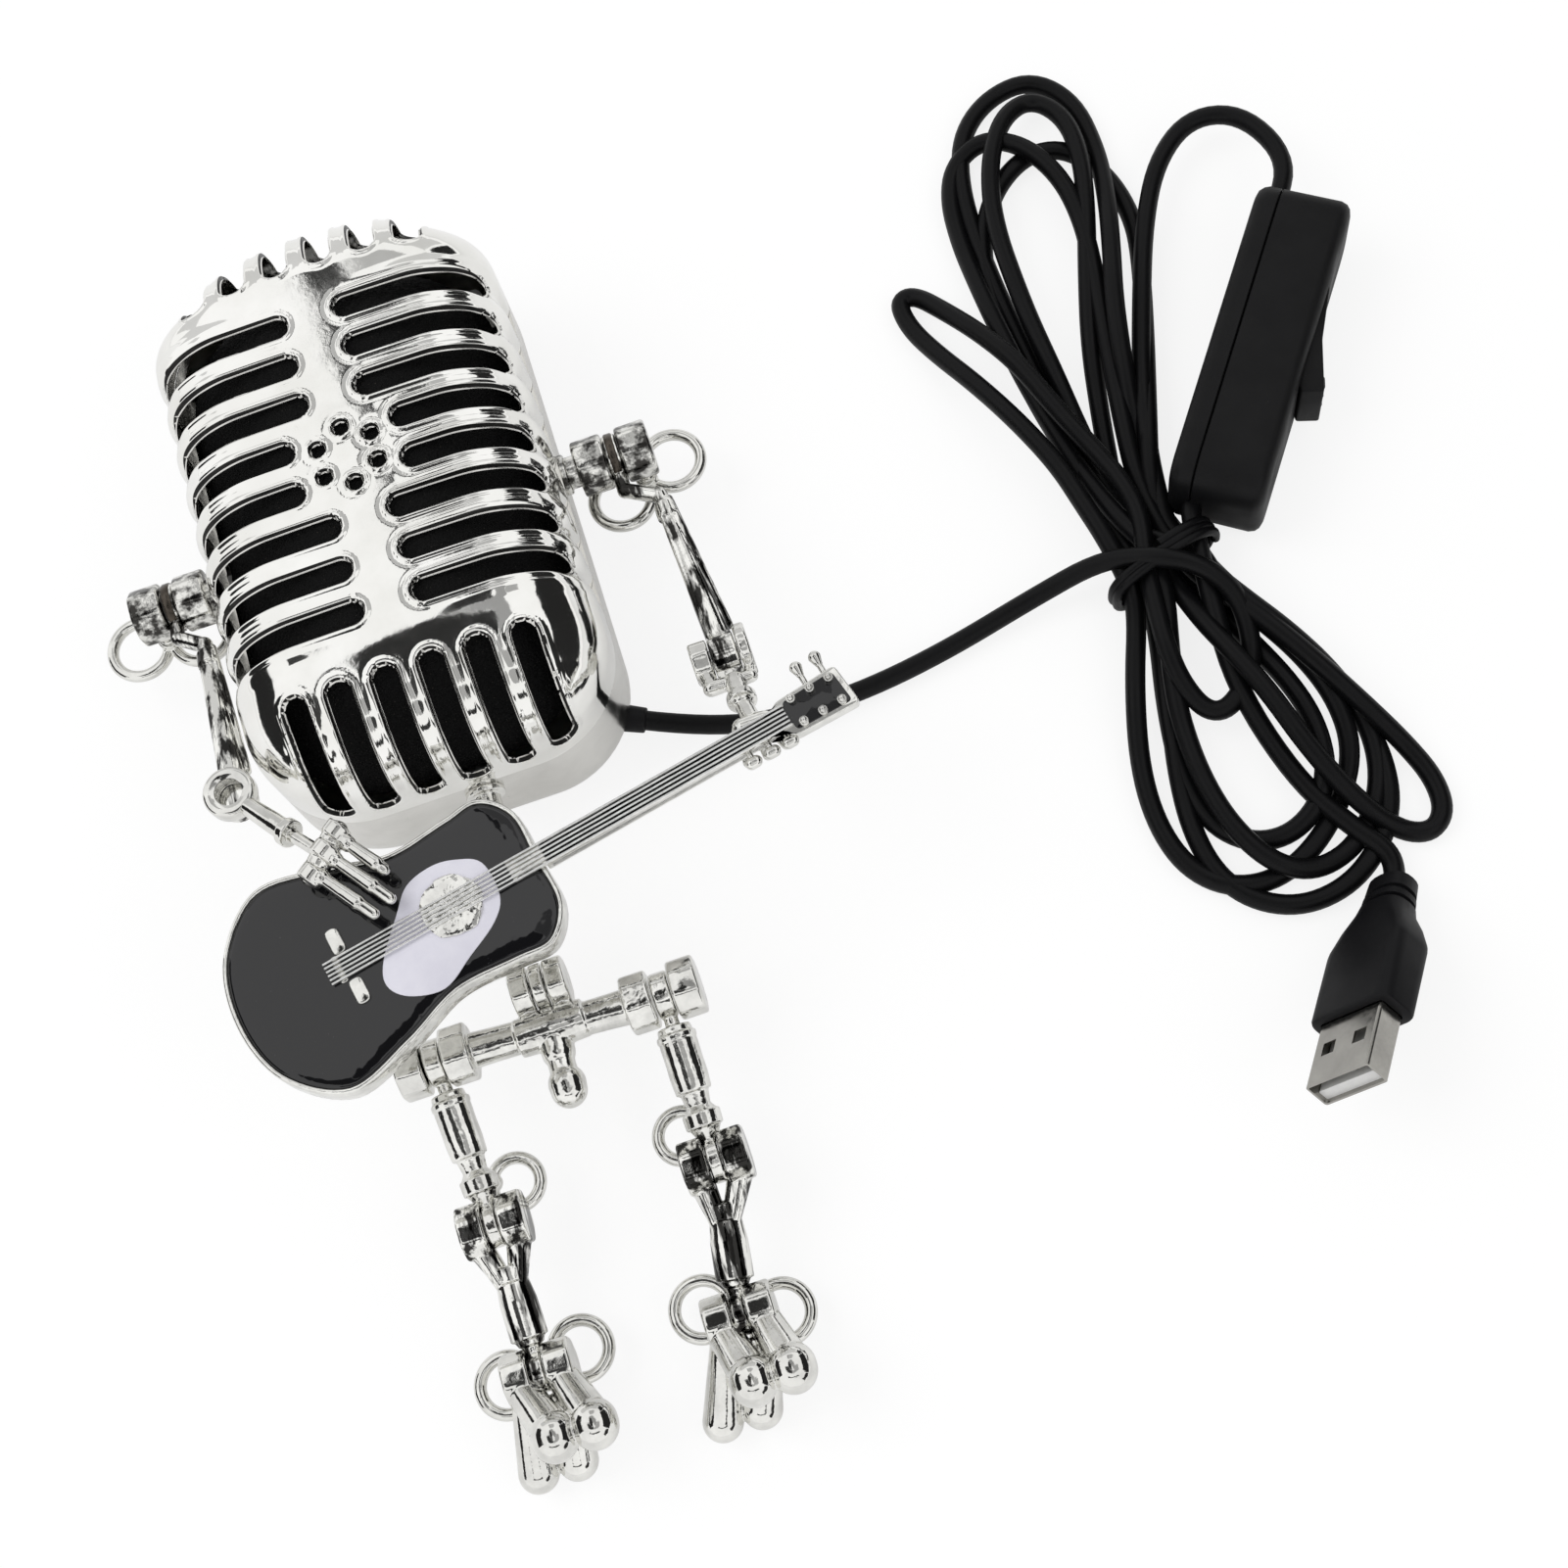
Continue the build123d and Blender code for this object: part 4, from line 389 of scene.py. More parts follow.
    def make(self, name: str, body: str, slot: str, finish: bpy.types.Material, replaces: Iterable[str] = (),
             fuse: float = 0.0, relax: int = 4, sharp: float = 40.0) -> bpy.types.Object:
        """Turn the gathered surfaces into a piece.

        Args:
            name: name of the piece.
            body: body it rides on.
            slot: material slot of the record; not used.
            finish: its material.
            replaces: nodes it stands for.
            fuse: voxel size that melts the surfaces into one skin, or nothing.
            relax: smoothing passes after melting.
            sharp: angle above which an edge stays crisp, in degrees.

        Returns:
            The new object.
        """
        mesh = bpy.data.meshes.new(name)
        mesh.from_pydata(np.concatenate(self.points) * MM, [], self.faces)
        piece = stand(name, mesh)
        if fuse:
            melt = piece.modifiers.new("melt", "REMESH")
            melt.mode = "VOXEL"
            melt.voxel_size = fuse * MM
            soften = piece.modifiers.new("soften", "SMOOTH")
            soften.factor = 0.5
            soften.iterations = relax
            bpy.context.view_layer.update()
            depsgraph = bpy.context.evaluated_depsgraph_get()
            mesh = bpy.data.meshes.new_from_object(piece.evaluated_get(depsgraph))
            piece.modifiers.clear()
            piece.data = mesh
            mesh.name = name
        mesh.shade_smooth()
        if not fuse:
            mesh.set_sharp_from_angle(angle=math.radians(sharp))
        mesh.materials.clear()
        mesh.materials.append(finish)
        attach(piece, body)
        replaced = list(replaces)
        if replaced:
            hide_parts(*replaced)
        log.info("%s: %d faces on %s", name, len(mesh.polygons), body)
        return piece


# ---------------------------------------------------------------- finishes
class Shader:
    """A material's nodes, with short calls for the few kinds that the finishes use."""

    def __init__(self, name: str) -> None:
        """Make an empty material with a Principled shader."""
        self.material = bpy.data.materials.new(name)
        self.material.use_nodes = True
        self.tree = self.material.node_tree
        self.tree.nodes.clear()
        self.output = self.tree.nodes.new("ShaderNodeOutputMaterial")
        self.principled = self.tree.nodes.new("ShaderNodeBsdfPrincipled")
        self.tree.links.new(self.principled.outputs[0], self.output.inputs[0])
        self.coords = self.tree.nodes.new("ShaderNodeTexCoord").outputs["Object"]

    def set(self, **values: object) -> "Shader":
        """Set sockets of the shader by name, with underscores for spaces."""
        for key, value in values.items():
            self.principled.inputs[key.replace("_", " ")].default_value = value
        return self

    def scaled(self, size: float, stretch: Sequence[float] = (1, 1, 1)) -> bpy.types.NodeSocket:
        """Object coordinates counted in a size in millimetres, each axis stretched by a factor."""
        mapping = self.tree.nodes.new("ShaderNodeMapping")
        mapping.inputs["Scale"].default_value = tuple(1.0 / (size * MM * s) for s in stretch)
        self.tree.links.new(self.coords, mapping.inputs["Vector"])
        return mapping.outputs[0]

    def noise(self, size: float, detail: float = 3.0, roughness: float = 0.5,
              stretch: Sequence[float] = (1, 1, 1)) -> bpy.types.NodeSocket:
        """Noise whose features are about a size in millimetres."""
        place = self.scaled(size, stretch)
        node = self.tree.nodes.new("ShaderNodeTexNoise")
        node.inputs["Scale"].default_value = 1.0
        node.inputs["Detail"].default_value = detail
        node.inputs["Roughness"].default_value = roughness
        self.tree.links.new(place, node.inputs["Vector"])
        return node.outputs["Fac"]

    def cells(self, size: float) -> bpy.types.NodeSocket:
        """Distance pattern of cells about a size in millimetres."""
        place = self.scaled(size)
        node = self.tree.nodes.new("ShaderNodeTexVoronoi")
        node.feature = "F1"
        node.inputs["Scale"].default_value = 1.0
        self.tree.links.new(place, node.inputs["Vector"])
        return node.outputs["Distance"]

    def span(self, source: bpy.types.NodeSocket, low: float, high: float, out_low: float = 0.0,
             out_high: float = 1.0) -> bpy.types.NodeSocket:
        """Map a range of a value onto another, clamped."""
        node = self.tree.nodes.new("ShaderNodeMapRange")
        node.inputs["From Min"].default_value = low
        node.inputs["From Max"].default_value = high
        node.inputs["To Min"].default_value = out_low
        node.inputs["To Max"].default_value = out_high
        self.tree.links.new(source, node.inputs["Value"])
        return node.outputs[0]

    def mix(self, share: bpy.types.NodeSocket, first: Sequence[float],
            second: Sequence[float]) -> bpy.types.NodeSocket:
        """Mix two colours by a share."""
        node = self.tree.nodes.new("ShaderNodeMix")
        node.data_type = "RGBA"
        node.inputs[6].default_value = (*first, 1.0)
        node.inputs[7].default_value = (*second, 1.0)
        self.tree.links.new(share, node.inputs[0])
        return node.outputs[2]

    def bump(self, height: bpy.types.NodeSocket, depth: float,
             under: Optional[bpy.types.NodeSocket] = None) -> bpy.types.NodeSocket:
        """Raise the surface by a height pattern, depth in millimetres."""
        node = self.tree.nodes.new("ShaderNodeBump")
        node.inputs["Strength"].default_value = 1.0
        node.inputs["Distance"].default_value = depth * MM
        self.tree.links.new(height, node.inputs["Height"])
        if under is not None:
            self.tree.links.new(under, node.inputs["Normal"])
        return node.outputs[0]

    def use(self, socket: str, source: bpy.types.NodeSocket) -> "Shader":
        """Link a pattern to one of the shader's sockets."""
        self.tree.links.new(source, self.principled.inputs[socket])
        return self


@dataclass(frozen=True)
class PlatedMetal:
    """Plating over a casting: slow waves, small pits and slightly duller patches; where the dark colour is
    near black the patches are painted dark reflections, and an all-dark plating is painted shade.
    """

    name: str
    light: tuple[float, float, float] = (0.84, 0.835, 0.80)
    dark: tuple[float, float, float] = (0.68, 0.675, 0.645)
    shine: tuple[float, float] = (0.05, 0.16)
    wave_size: float = 6.0
    wave_depth: float = 0.05
    pit_size: float = 0.7
    pit_depth: float = 0.02
    patch: tuple[float, float] = (0.35, 0.7)
    stretch: tuple[float, float, float] = (1.0, 1.0, 1.0)

    def build(self) -> bpy.types.Material:
        """Return the material."""
        s = Shader(self.name).set(Metallic=1.0)
        patches = s.noise(self.wave_size * 1.4, 4.0, 0.6, self.stretch)
        s.use("Base Color", s.mix(s.span(patches, *self.patch), self.light, self.dark))
        s.use("Roughness", s.span(s.noise(self.pit_size * 3, 5.0, 0.65), 0.35, 0.75, *self.shine))
        slow = s.bump(s.noise(self.wave_size, 2.0, 0.4), self.wave_depth)
        s.use("Normal", s.bump(s.noise(self.pit_size, 4.0, 0.6), self.pit_depth, under=slow))
        return s.material


@dataclass(frozen=True)
class Enamel:
    """Thick glossy enamel with a faint orange-peel skin and dust specks."""

    name: str
    colour: tuple[float, float, float] = (0.006, 0.006, 0.007)
    speck: tuple[float, float, float] = (0.05, 0.05, 0.055)

    def build(self) -> bpy.types.Material:
        """Return the material."""
        s = Shader(self.name).set(Roughness=0.05, Specular_IOR_Level=0.62)
        s.use("Base Color", s.mix(s.span(s.noise(0.35, 2.0), 0.72, 0.80), self.colour, self.speck))
        s.use("Normal", s.bump(s.noise(4.5, 2.0), 0.11))
        return s.material


@dataclass(frozen=True)
class SoftPlastic:
    """Soft moulded plastic with a fine grain, dust specks and rubbed patches."""

    name: str
    colour: tuple[float, float, float] = (0.0065, 0.0065, 0.007)
    dust: tuple[float, float, float] = (0.12, 0.12, 0.12)
    roughness: tuple[float, float] = (0.42, 0.58)
    grain: float = 0.25
    grain_depth: float = 0.012
    speck_from: float = 0.74

    def build(self) -> bpy.types.Material:
        """Return the material."""
        s = Shader(self.name).set(Specular_IOR_Level=0.16)
        s.use("Base Color", s.mix(s.span(s.noise(0.5, 3.0, 0.7), self.speck_from, self.speck_from + 0.1),
                                  self.colour, self.dust))
        s.use("Roughness", s.span(s.noise(7.0, 3.0), 0.35, 0.7, *self.roughness))
        s.use("Normal", s.bump(s.noise(self.grain, 3.0, 0.6), self.grain_depth))
        return s.material


@dataclass(frozen=True)
class Foam:
    """Open black foam: pores, soft fibres and light flecks that paint the glints of its cell walls."""

    name: str = "grille_foam_black"

    def build(self) -> bpy.types.Material:
        """Return the material."""
        s = Shader(self.name).set(Roughness=0.9, Specular_IOR_Level=0.25)
        # light flecks in the base colour: painted glints of the foam's cell walls
        painted_glint = s.span(s.noise(0.28, 1.0, 0.4), 0.74, 0.84)
        s.use("Base Color", s.mix(painted_glint, (0.006, 0.006, 0.006), (0.13, 0.11, 0.09)))
        s.use("Normal", s.bump(s.cells(0.45), 0.35))
        return s.material


@dataclass(frozen=True)
class Painted:
    """Even paint or print with fine grain."""

    name: str
    light: tuple[float, float, float]
    dark: tuple[float, float, float]
    roughness: float = 0.4
    metallic: float = 0.0
    size: float = 1.0
    depth: float = 0.01

    def build(self) -> bpy.types.Material:
        """Return the material."""
        s = Shader(self.name).set(Roughness=self.roughness, Metallic=self.metallic)
        pattern = s.noise(self.size, 4.0, 0.6)
        s.use("Base Color", s.mix(s.span(pattern, 0.35, 0.7), self.light, self.dark))
        s.use("Normal", s.bump(pattern, self.depth))
        return s.material


@dataclass
class Palette:
    """Every finish on the lamp, built once."""

    grille: bpy.types.Material = field(default_factory=lambda: PlatedMetal(
        "grille_plating", (0.94, 0.935, 0.91), (0.84, 0.835, 0.80), (0.04, 0.11), 9.0, 0.06, 1.2,
        0.008).build())
    # near-black plating for the slots' walls: painted shade
    lining: bpy.types.Material = field(default_factory=lambda: PlatedMetal(
        "slot_lining_dark", (0.035, 0.034, 0.033), (0.02, 0.02, 0.02), (0.35, 0.5), 2.0, 0.03, 0.4,
        0.01).build())
    shell: bpy.types.Material = field(default_factory=lambda: PlatedMetal(
        "shell_satin_plating", (0.80, 0.79, 0.76), (0.66, 0.65, 0.62), (0.16, 0.30), 12.0, 0.05, 0.9,
        0.006).build())
    block: bpy.types.Material = field(default_factory=lambda: PlatedMetal(
        "block_plating", (0.86, 0.855, 0.82), (0.66, 0.655, 0.63), (0.03, 0.10), 3.2, 0.06, 0.5,
        0.01).build())
    # near-black streaks along the limbs: painted dark reflections on the plating
    streaked: bpy.types.Material = field(default_factory=lambda: PlatedMetal(
        "limb_plating_streaked", (0.90, 0.895, 0.86), (0.035, 0.034, 0.032), (0.03, 0.10), 1.3, 0.02, 0.5,
        0.008, (0.45, 0.55), (1.0, 9.0, 1.0)).build())
    # near-black patches on the block plating: painted dark reflections
    rough: bpy.types.Material = field(default_factory=lambda: PlatedMetal(
        "block_plating_rough", (0.82, 0.815, 0.78), (0.05, 0.048, 0.045), (0.05, 0.16), 1.7, 0.06, 0.5, 0.03,
        (0.42, 0.58)).build())
    cast: bpy.types.Material = field(default_factory=lambda: PlatedMetal(
        "cast_plating", (0.88, 0.875, 0.84), (0.66, 0.655, 0.63), (0.03, 0.11), 2.2, 0.15, 0.5,
        0.016).build())
    bronze: bpy.types.Material = field(default_factory=lambda: PlatedMetal(
        "washer_bronze", (0.11, 0.095, 0.08), (0.05, 0.043, 0.035), (0.18, 0.34), 2.0, 0.05, 0.4,
        0.03).build())
    wire: bpy.types.Material = field(default_factory=lambda: PlatedMetal(
        "ring_plating", shine=(0.03, 0.10), wave_size=2.5, wave_depth=0.08, pit_size=0.5,
        pit_depth=0.01).build())
    enamel: bpy.types.Material = field(default_factory=lambda: Enamel("guitar_black_enamel").build())
    pearl: bpy.types.Material = field(default_factory=lambda: Painted(
        "pickguard_pearl", (0.80, 0.79, 0.87), (0.72, 0.71, 0.80), 0.22, 0.0, 6.0, 0.01).build())
    strings: bpy.types.Material = field(default_factory=lambda: PlatedMetal(
        "string_steel", (0.95, 0.95, 0.94), (0.8, 0.8, 0.79), (0.12, 0.24), 1.4, 0.04, 0.3, 0.01).build())
    nickel: bpy.types.Material = field(default_factory=lambda: PlatedMetal(
        "plug_nickel", (0.42, 0.41, 0.38), (0.33, 0.32, 0.30), (0.16, 0.28), 5.0, 0.02, 0.3, 0.004).build())
    steel: bpy.types.Material = field(default_factory=lambda: PlatedMetal(
        "inner_steel", (0.6, 0.6, 0.6), (0.45, 0.45, 0.45), (0.3, 0.45), 4.0, 0.02, 0.5, 0.01).build())
    foam: bpy.types.Material = field(default_factory=lambda: Foam().build())
    cord: bpy.types.Material = field(default_factory=lambda: SoftPlastic(
        "cord_jacket", (0.0035, 0.0035, 0.004), (0.02, 0.02, 0.02), (0.34, 0.46), 0.6, 0.01, 0.78).build())
    case: bpy.types.Material = field(default_factory=lambda: SoftPlastic("switch_plastic").build())
    rubber: bpy.types.Material = field(default_factory=lambda: SoftPlastic(
        "plug_plastic", (0.006, 0.006, 0.007), (0.04, 0.04, 0.04), (0.36, 0.5), 0.4, 0.01, 0.78).build())
    board: bpy.types.Material = field(default_factory=lambda: Painted(
        "board_white", (0.86, 0.86, 0.84), (0.8, 0.8, 0.78)).build())
    chip: bpy.types.Material = field(default_factory=lambda: Painted(
        "chip_phosphor", (0.9, 0.75, 0.25), (0.85, 0.68, 0.2), 0.3).build())
    white: bpy.types.Material = field(default_factory=lambda: Painted(
        "tongue_white", (0.86, 0.86, 0.84), (0.8, 0.8, 0.79), 0.35).build())


# ---------------------------------------------------------------- head
@dataclass
class GrilleHead:
    """The slotted front shell and the foam behind it; the plain rear shell is dressed elsewhere."""

    half_width: float = 29.3
    half_length: float = 49.5
    shift: float = -1.5
    corner: float = 16.5
    top: float = 42.0
    seam: float = 21.0
    round: float = 14.0
    rows: int = 8
    pitch: float = 7.5
    slot: float = 4.5
    slot_in: float = 3.6
    ring_in: float = 7.7
    slot_out: float = 28.5
    end_pitch: float = 7.35
    end_width: float = 4.7
    chin_from: float = 35.4
    crown_from: float = 35.5
    end_floor: float = 24.5
    arch: float = 0.0115
    dome: float = 1.2
    chin_start: float = 28.5
    chin_slope: float = 0.22
    hole_ring: float = 5.06
    hole: float = 1.5
    rim: float = 0.5
    cell: float = 0.36
    wall_slope: float = 0.14
    ledge: float = 0.36
    wall_depth: float = 0.7
    ledge_drop: float = 0.12
    right_arch: float = 0.65
    bead_at: float = 0.36
    bead_spread: float = 0.24
    valley: float = 0.14
    valley_at: float = 0.95
    valley_spread: float = 0.26

    def core(self, q: Array) -> Array:
        """Nearest point of the flat core, whose middle is shifted from the middle of the rows."""
        inner = vec(self.half_width - self.corner, self.half_length - self.corner)
        middle = vec(0, self.shift)
        return middle + np.clip(q - middle, -inner, inner)

    def eased(self, p: Array) -> Array:
        """Bow the shell: the top sinks with the square of x, and so does the crown's end along y.

        The chin falls from the last row on, first as a parabola and then as a straight slope.
        All of it fades out towards the seam, in proportion to the height over it.

        Args:
            p: points of the plain shell, (..., 3).

        Returns:
            The bowed points.
        """
        rise = np.clip((p[..., 2] - self.seam) / (self.top - self.seam), 0, 1)
        across = np.minimum(np.abs(p[..., 0]), 21.0)
        fade = np.clip((p[..., 1] - 30) / 16, 0, 1)
        lean = np.where(p[..., 0] > 0, self.right_arch, 1.0)
        bow = self.arch * lean * across ** 2 * fade * fade * (3 - 2 * fade) * np.clip(rise * 1.6, 0, 1)
        sink = self.dome * (p[..., 0] / self.half_width) ** 2
        down = np.clip(-self.chin_start - p[..., 1], 0, 14)
        sink = sink + self.chin_slope * np.where(down < 5, down ** 2 / 10, down - 2.5)
        return p - np.stack([0 * bow, bow, sink * rise], axis=-1)

    def wrap(self, q: Array) -> tuple[Array, Array, Array]:
        """Fold flat points over the shell.

        Inside the core the points lie on the top. Past it they go round a quarter circle of
        the shell's round and then straight down the wall, keeping their distance from the core.

        Args:
            q: flat points, (..., 2).

        Returns:
            The points, their outward normals and their distance past the core.
        """
        small = self.corner - self.round
        base = self.core(q)
        gap = q - base
        dist = np.linalg.norm(gap, axis=-1, keepdims=True)
        n = np.where(dist > 1e-9, gap / np.maximum(dist, 1e-9), 0.0)
        past = np.maximum(dist - small, 0)
        arc = np.minimum(past, self.round * math.pi / 2)
        angle = arc / self.round
        plan = base + n * (np.minimum(dist, small) + self.round * np.sin(angle))
        height = self.top - self.round + self.round * np.cos(angle) - (past - arc)
        normal = np.concatenate([n * np.sin(angle), np.cos(angle)], axis=-1)
        return np.concatenate([plan, height], axis=-1), normal, past[..., 0]

    def row_of(self, y: Array) -> tuple[Array, Array]:
        """Return the nearest row's middle and its number from the crown."""
        first = (self.rows - 1) / 2 * self.pitch
        number = np.clip(np.round((first - y) / self.pitch), 0, self.rows - 1)
        return first - number * self.pitch, number

    def gap(self, p: Array) -> Array:
        """Distance from the nearest opening's edge, negative inside it.

        A row slot is the distance to a straight core line less half its height; an end slot
        the same across x, rounded at its upper end along y and at its lower end along z.

        Args:
            p: points of the plain shell, (..., 3).

        Returns:
            The distances, (...).
        """
        x, y, z = np.abs(p[..., 0]), p[..., 1], p[..., 2]
        middle, number = self.row_of(y)
        start = np.where(np.abs(number - (self.rows - 1) / 2) < 1, self.ring_in, self.slot_in) + self.slot / 2
        end = self.slot_out - self.slot / 2
        along = np.maximum(x - end, 0) + np.maximum(start - x, 0)
        rows = np.hypot(along, y - middle) - self.slot / 2
        centre = (np.clip(np.round(x / self.end_pitch - 0.5), 0, 2) + 0.5) * self.end_pitch
        half = self.end_width / 2
        start = np.where(y > 0, self.crown_from, self.chin_from)
        upper = np.maximum(start + half - np.abs(y), 0)
        lower = np.maximum(self.end_floor + half - z, 0)
        ends = np.sqrt((x - centre) ** 2 + upper ** 2 + lower ** 2) - half
        a = np.radians(90 + 60 * np.arange(6))
        spots = np.stack([self.hole_ring * np.cos(a), self.hole_ring * np.sin(a)], axis=1)
        holes = np.min(np.linalg.norm(p[..., None, :2] - spots, axis=-1), axis=-1) - self.hole
        holes = np.where(z > self.top - 1, holes, 9.0)
        return np.minimum(np.minimum(rows, ends), holes)

    def lines(self, reach: float, marks: Array) -> Array:
        """Grid lines from -reach to reach, a cell apart, with extra ones at the marks."""
        base = np.arange(-reach, reach + self.cell, self.cell)
        keep = np.min(np.abs(base[:, None] - marks[None, :]), axis=1) > 0.45 * self.cell
        return np.sort(np.concatenate([base[keep], marks]))

    def relief(self, p: Array, past: Array, d: Array) -> Array:
        """Height of the surface over the plain shell.

        A bead stands round each opening with a narrow valley beyond it, the bars between rows
        swell, and the side walls are scooped in line with the rows.

        Args:
            p: points of the plain shell, (..., 3).
            past: how far each has gone past the core.
            d: its distance from the nearest opening.

        Returns:
            The heights, (...).
        """
        x, y = np.abs(p[..., 0]), p[..., 1]
        middle, _ = self.row_of(y)
        in_rows = np.clip((31.5 - np.abs(y)) / 1.5, 0, 1)
        wave = np.cos(math.pi * (y - middle) / self.pitch) ** 2
        side = np.clip((past - 9.0) / 6.0, 0, 1) * (x > 14) * in_rows
        side = side * side * (3 - 2 * side)
        scoop = -1.0 * side * wave ** 1.3
        swell = 0.35 * np.clip((x - 6) / 12, 0, 1) * in_rows * (1 - wave) * (1 - side)
        strong = 0.35 + 0.65 * np.clip((p[..., 0] + 2) / 4, 0, 1) * np.clip((26 - x) / 8, 0, 1) * in_rows
        bead = self.rim * strong * np.exp(-((d - self.bead_at) / self.bead_spread) ** 2)
        valley = -self.valley * strong * np.exp(-((d - self.valley_at) / self.valley_spread) ** 2)
        return scoop + swell + (bead + valley) * np.clip(1 - side, 0.35, 1)

    def snapped(self, q: Array) -> tuple[Array, Array]:
        """Slide the grid onto the openings' edges.

        Points within about half a cell of an edge go onto it, the next row of them to the
        wall's foot and the next to the ledge's end, along the slope of the distance.

        Returns:
            The moved flat points and the distance each one was sent to.
        """
        h = 0.05

        def slope_at(q: Array) -> tuple[Array, Array]:
            """Distance and its slope over the flat grid."""
            ahead = [self.gap(self.wrap(q + step)[0]) for step in (vec(h, 0), vec(0, h))]
            behind = [self.gap(self.wrap(q - step)[0]) for step in (vec(h, 0), vec(0, h))]
            slope = np.stack([(a - b) / (2 * h) for a, b in zip(ahead, behind)], axis=-1)
            return self.gap(self.wrap(q)[0]), slope

        d, slope = slope_at(q)
        reach = 0.55 * self.cell * np.abs(unit(slope)).sum(-1)
        target = np.where(np.abs(d) < reach, 0.0, d)
        target = np.where((d <= -reach) & (d > -reach - self.cell), -self.wall_slope, target)
        target = np.where((d <= -reach - self.cell) & (d > -reach - 2 * self.cell), -self.ledge, target)
        target = np.where(d <= -reach - 2 * self.cell, -9.0, target)
        move = (target != d) & (target > -8)
        for _ in range(6):
            size = np.maximum((slope ** 2).sum(-1), 0.05)
            q = q + np.where(move[..., None], slope * (np.clip(target - d, -0.3, 0.3) / size)[..., None], 0.0)
            d, slope = slope_at(q)
        return q, np.where(move | (target < -8), target, d)

    def grid(self) -> tuple[Array, Array, Array]:
        """Work out the shell's points, its faces, and each face's finish: plain, wall or ledge; the wall
        finish is dark plating that paints the slots' shade.

        Points past the seam slide back onto it, and faces past it or within an opening's
        ledge are left out. The rows at the openings drop behind the wall.
        """
        limit = self.round * math.pi / 2 + self.top - self.round - self.seam
        reach_x = self.half_width - self.round + limit
        reach_y = self.half_length - self.round + limit
        row_y = (np.arange(self.rows) - (self.rows - 1) / 2) * self.pitch
        marks_y = np.concatenate([row_y - self.slot / 2, row_y + self.slot / 2])
        end_x = (np.arange(6) - 2.5) * self.end_pitch
        marks_x = np.concatenate([end_x - self.end_width / 2, end_x + self.end_width / 2])
        xs, ys = self.lines(reach_x, marks_x), self.lines(reach_y + abs(self.shift), marks_y)
        q, d = self.snapped(np.stack(np.meshgrid(xs, ys, indexing="ij"), axis=-1))
        small = self.corner - self.round
        base = self.core(q)
        out = q - base
        dist = np.linalg.norm(out, axis=-1)
        edge = limit + small
        beyond = dist > edge + 1.3 * self.cell
        near = (dist > edge - 0.35 * self.cell) & ~beyond
        q = np.where(near[..., None], base + out / np.maximum(dist, 1e-9)[..., None] * edge, q)
        p, normal, past = self.wrap(q)
        lift = self.relief(p, past, np.maximum(d, 0))
        foot = (np.abs(d + self.wall_slope) < 1e-6) & (d < 0)
        ledge = np.abs(d + self.ledge) < 1e-6
        lift = np.where(foot, -self.wall_depth, np.where(ledge, -self.wall_depth - self.ledge_drop, lift))
        points = self.eased(p + normal * lift[..., None])
        quads = sheet_quads(*points.shape[:2])
        gone = (beyond | (d < -1)).reshape(-1)
        end = ledge.reshape(-1)
        keep = ~gone[quads].any(axis=1) & ~end[quads].all(axis=1)
        on_ledge = end[quads[keep]].any(axis=1)
        # faces at a wall's foot get the dark plating that paints the slots' shade; ledge faces get the shell
        # plating
        lining = np.where(on_ledge, 2, foot.reshape(-1)[quads[keep]].any(axis=1) * 1)
        return points.reshape(-1, 3), quads[keep], lining

    def build(self, palette: Palette) -> None:
        """Make the front shell and the foam."""
        points, quads, lining = self.grid()
        used, back = np.unique(quads, return_inverse=True)
        mesh = bpy.data.meshes.new("grille_shell")
        mesh.from_pydata(points[used] * MM, [], back.reshape(-1, 4).tolist())
        piece = stand("grille_shell", mesh)
        mesh.shade_smooth()
        mesh.materials.append(palette.grille)
        # second finish: painted shade on the slot walls
        mesh.materials.append(palette.lining)
        mesh.materials.append(palette.shell)
        mesh.polygons.foreach_set("material_index", lining.astype(np.int32))
        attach(piece, "lamp_head")
        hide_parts("front_grille_shell")
        log.info("grille_shell: %d faces", len(mesh.polygons))
        self.build_foam(palette)

    def build_foam(self, palette: Palette) -> None:
        """Make the foam: a rounder form inside the shell, with a soft uneven skin."""
        inner = GrilleHead(half_width=26.6, half_length=45.0, shift=-3.6, corner=20.0, top=40.3, seam=23.0,
                           round=20.0)
        limit = inner.round * math.acos((inner.seam - inner.top + inner.round) / inner.round)
        reach_x = inner.half_width - inner.round + limit
        reach_y = inner.half_length - inner.round + limit
        across, along = np.linspace(-1, 1, 120), np.linspace(-1, 1, 200)
        u, v = np.meshgrid(across, along, indexing="ij")
        # the square is squeezed to a round-cornered sheet so that its rim follows the seam
        q = np.stack([u * reach_x, v * reach_y + inner.shift], axis=-1)
        base = inner.core(q)
        out = q - base
        dist = np.linalg.norm(out, axis=-1, keepdims=True)
        most = np.maximum(np.abs(out[..., :1]), np.abs(out[..., 1:]))
        q = base + np.where(dist > 1e-9, out / np.maximum(dist, 1e-9), 0) * most
        p, normal, _ = inner.wrap(q)
        x, y, z = p[..., 0], p[..., 1], p[..., 2]
        rough = (np.sin(x * 2.1 + np.sin(y * 1.7)) * np.sin(y * 2.3 + z)
                 + np.sin(x * 4.9 + y * 3.1) * np.sin(y * 5.3 - x * 1.3)) * 0.1
        outer = self.eased(p + normal * rough[..., None])
        points = outer.reshape(-1, 3)
        quads = sheet_quads(*outer.shape[:2])
        mesh = bpy.data.meshes.new("foam_sheet")
        mesh.from_pydata(points * MM, [], quads.tolist())
        piece = stand("foam_sheet", mesh)
        mesh.shade_smooth()
        mesh.materials.append(palette.foam)
        wall = piece.modifiers.new("thickness", "SOLIDIFY")
        wall.thickness = 1.4 * MM
        wall.offset = -1.0
        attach(piece, "lamp_head")
        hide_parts("grille_foam")


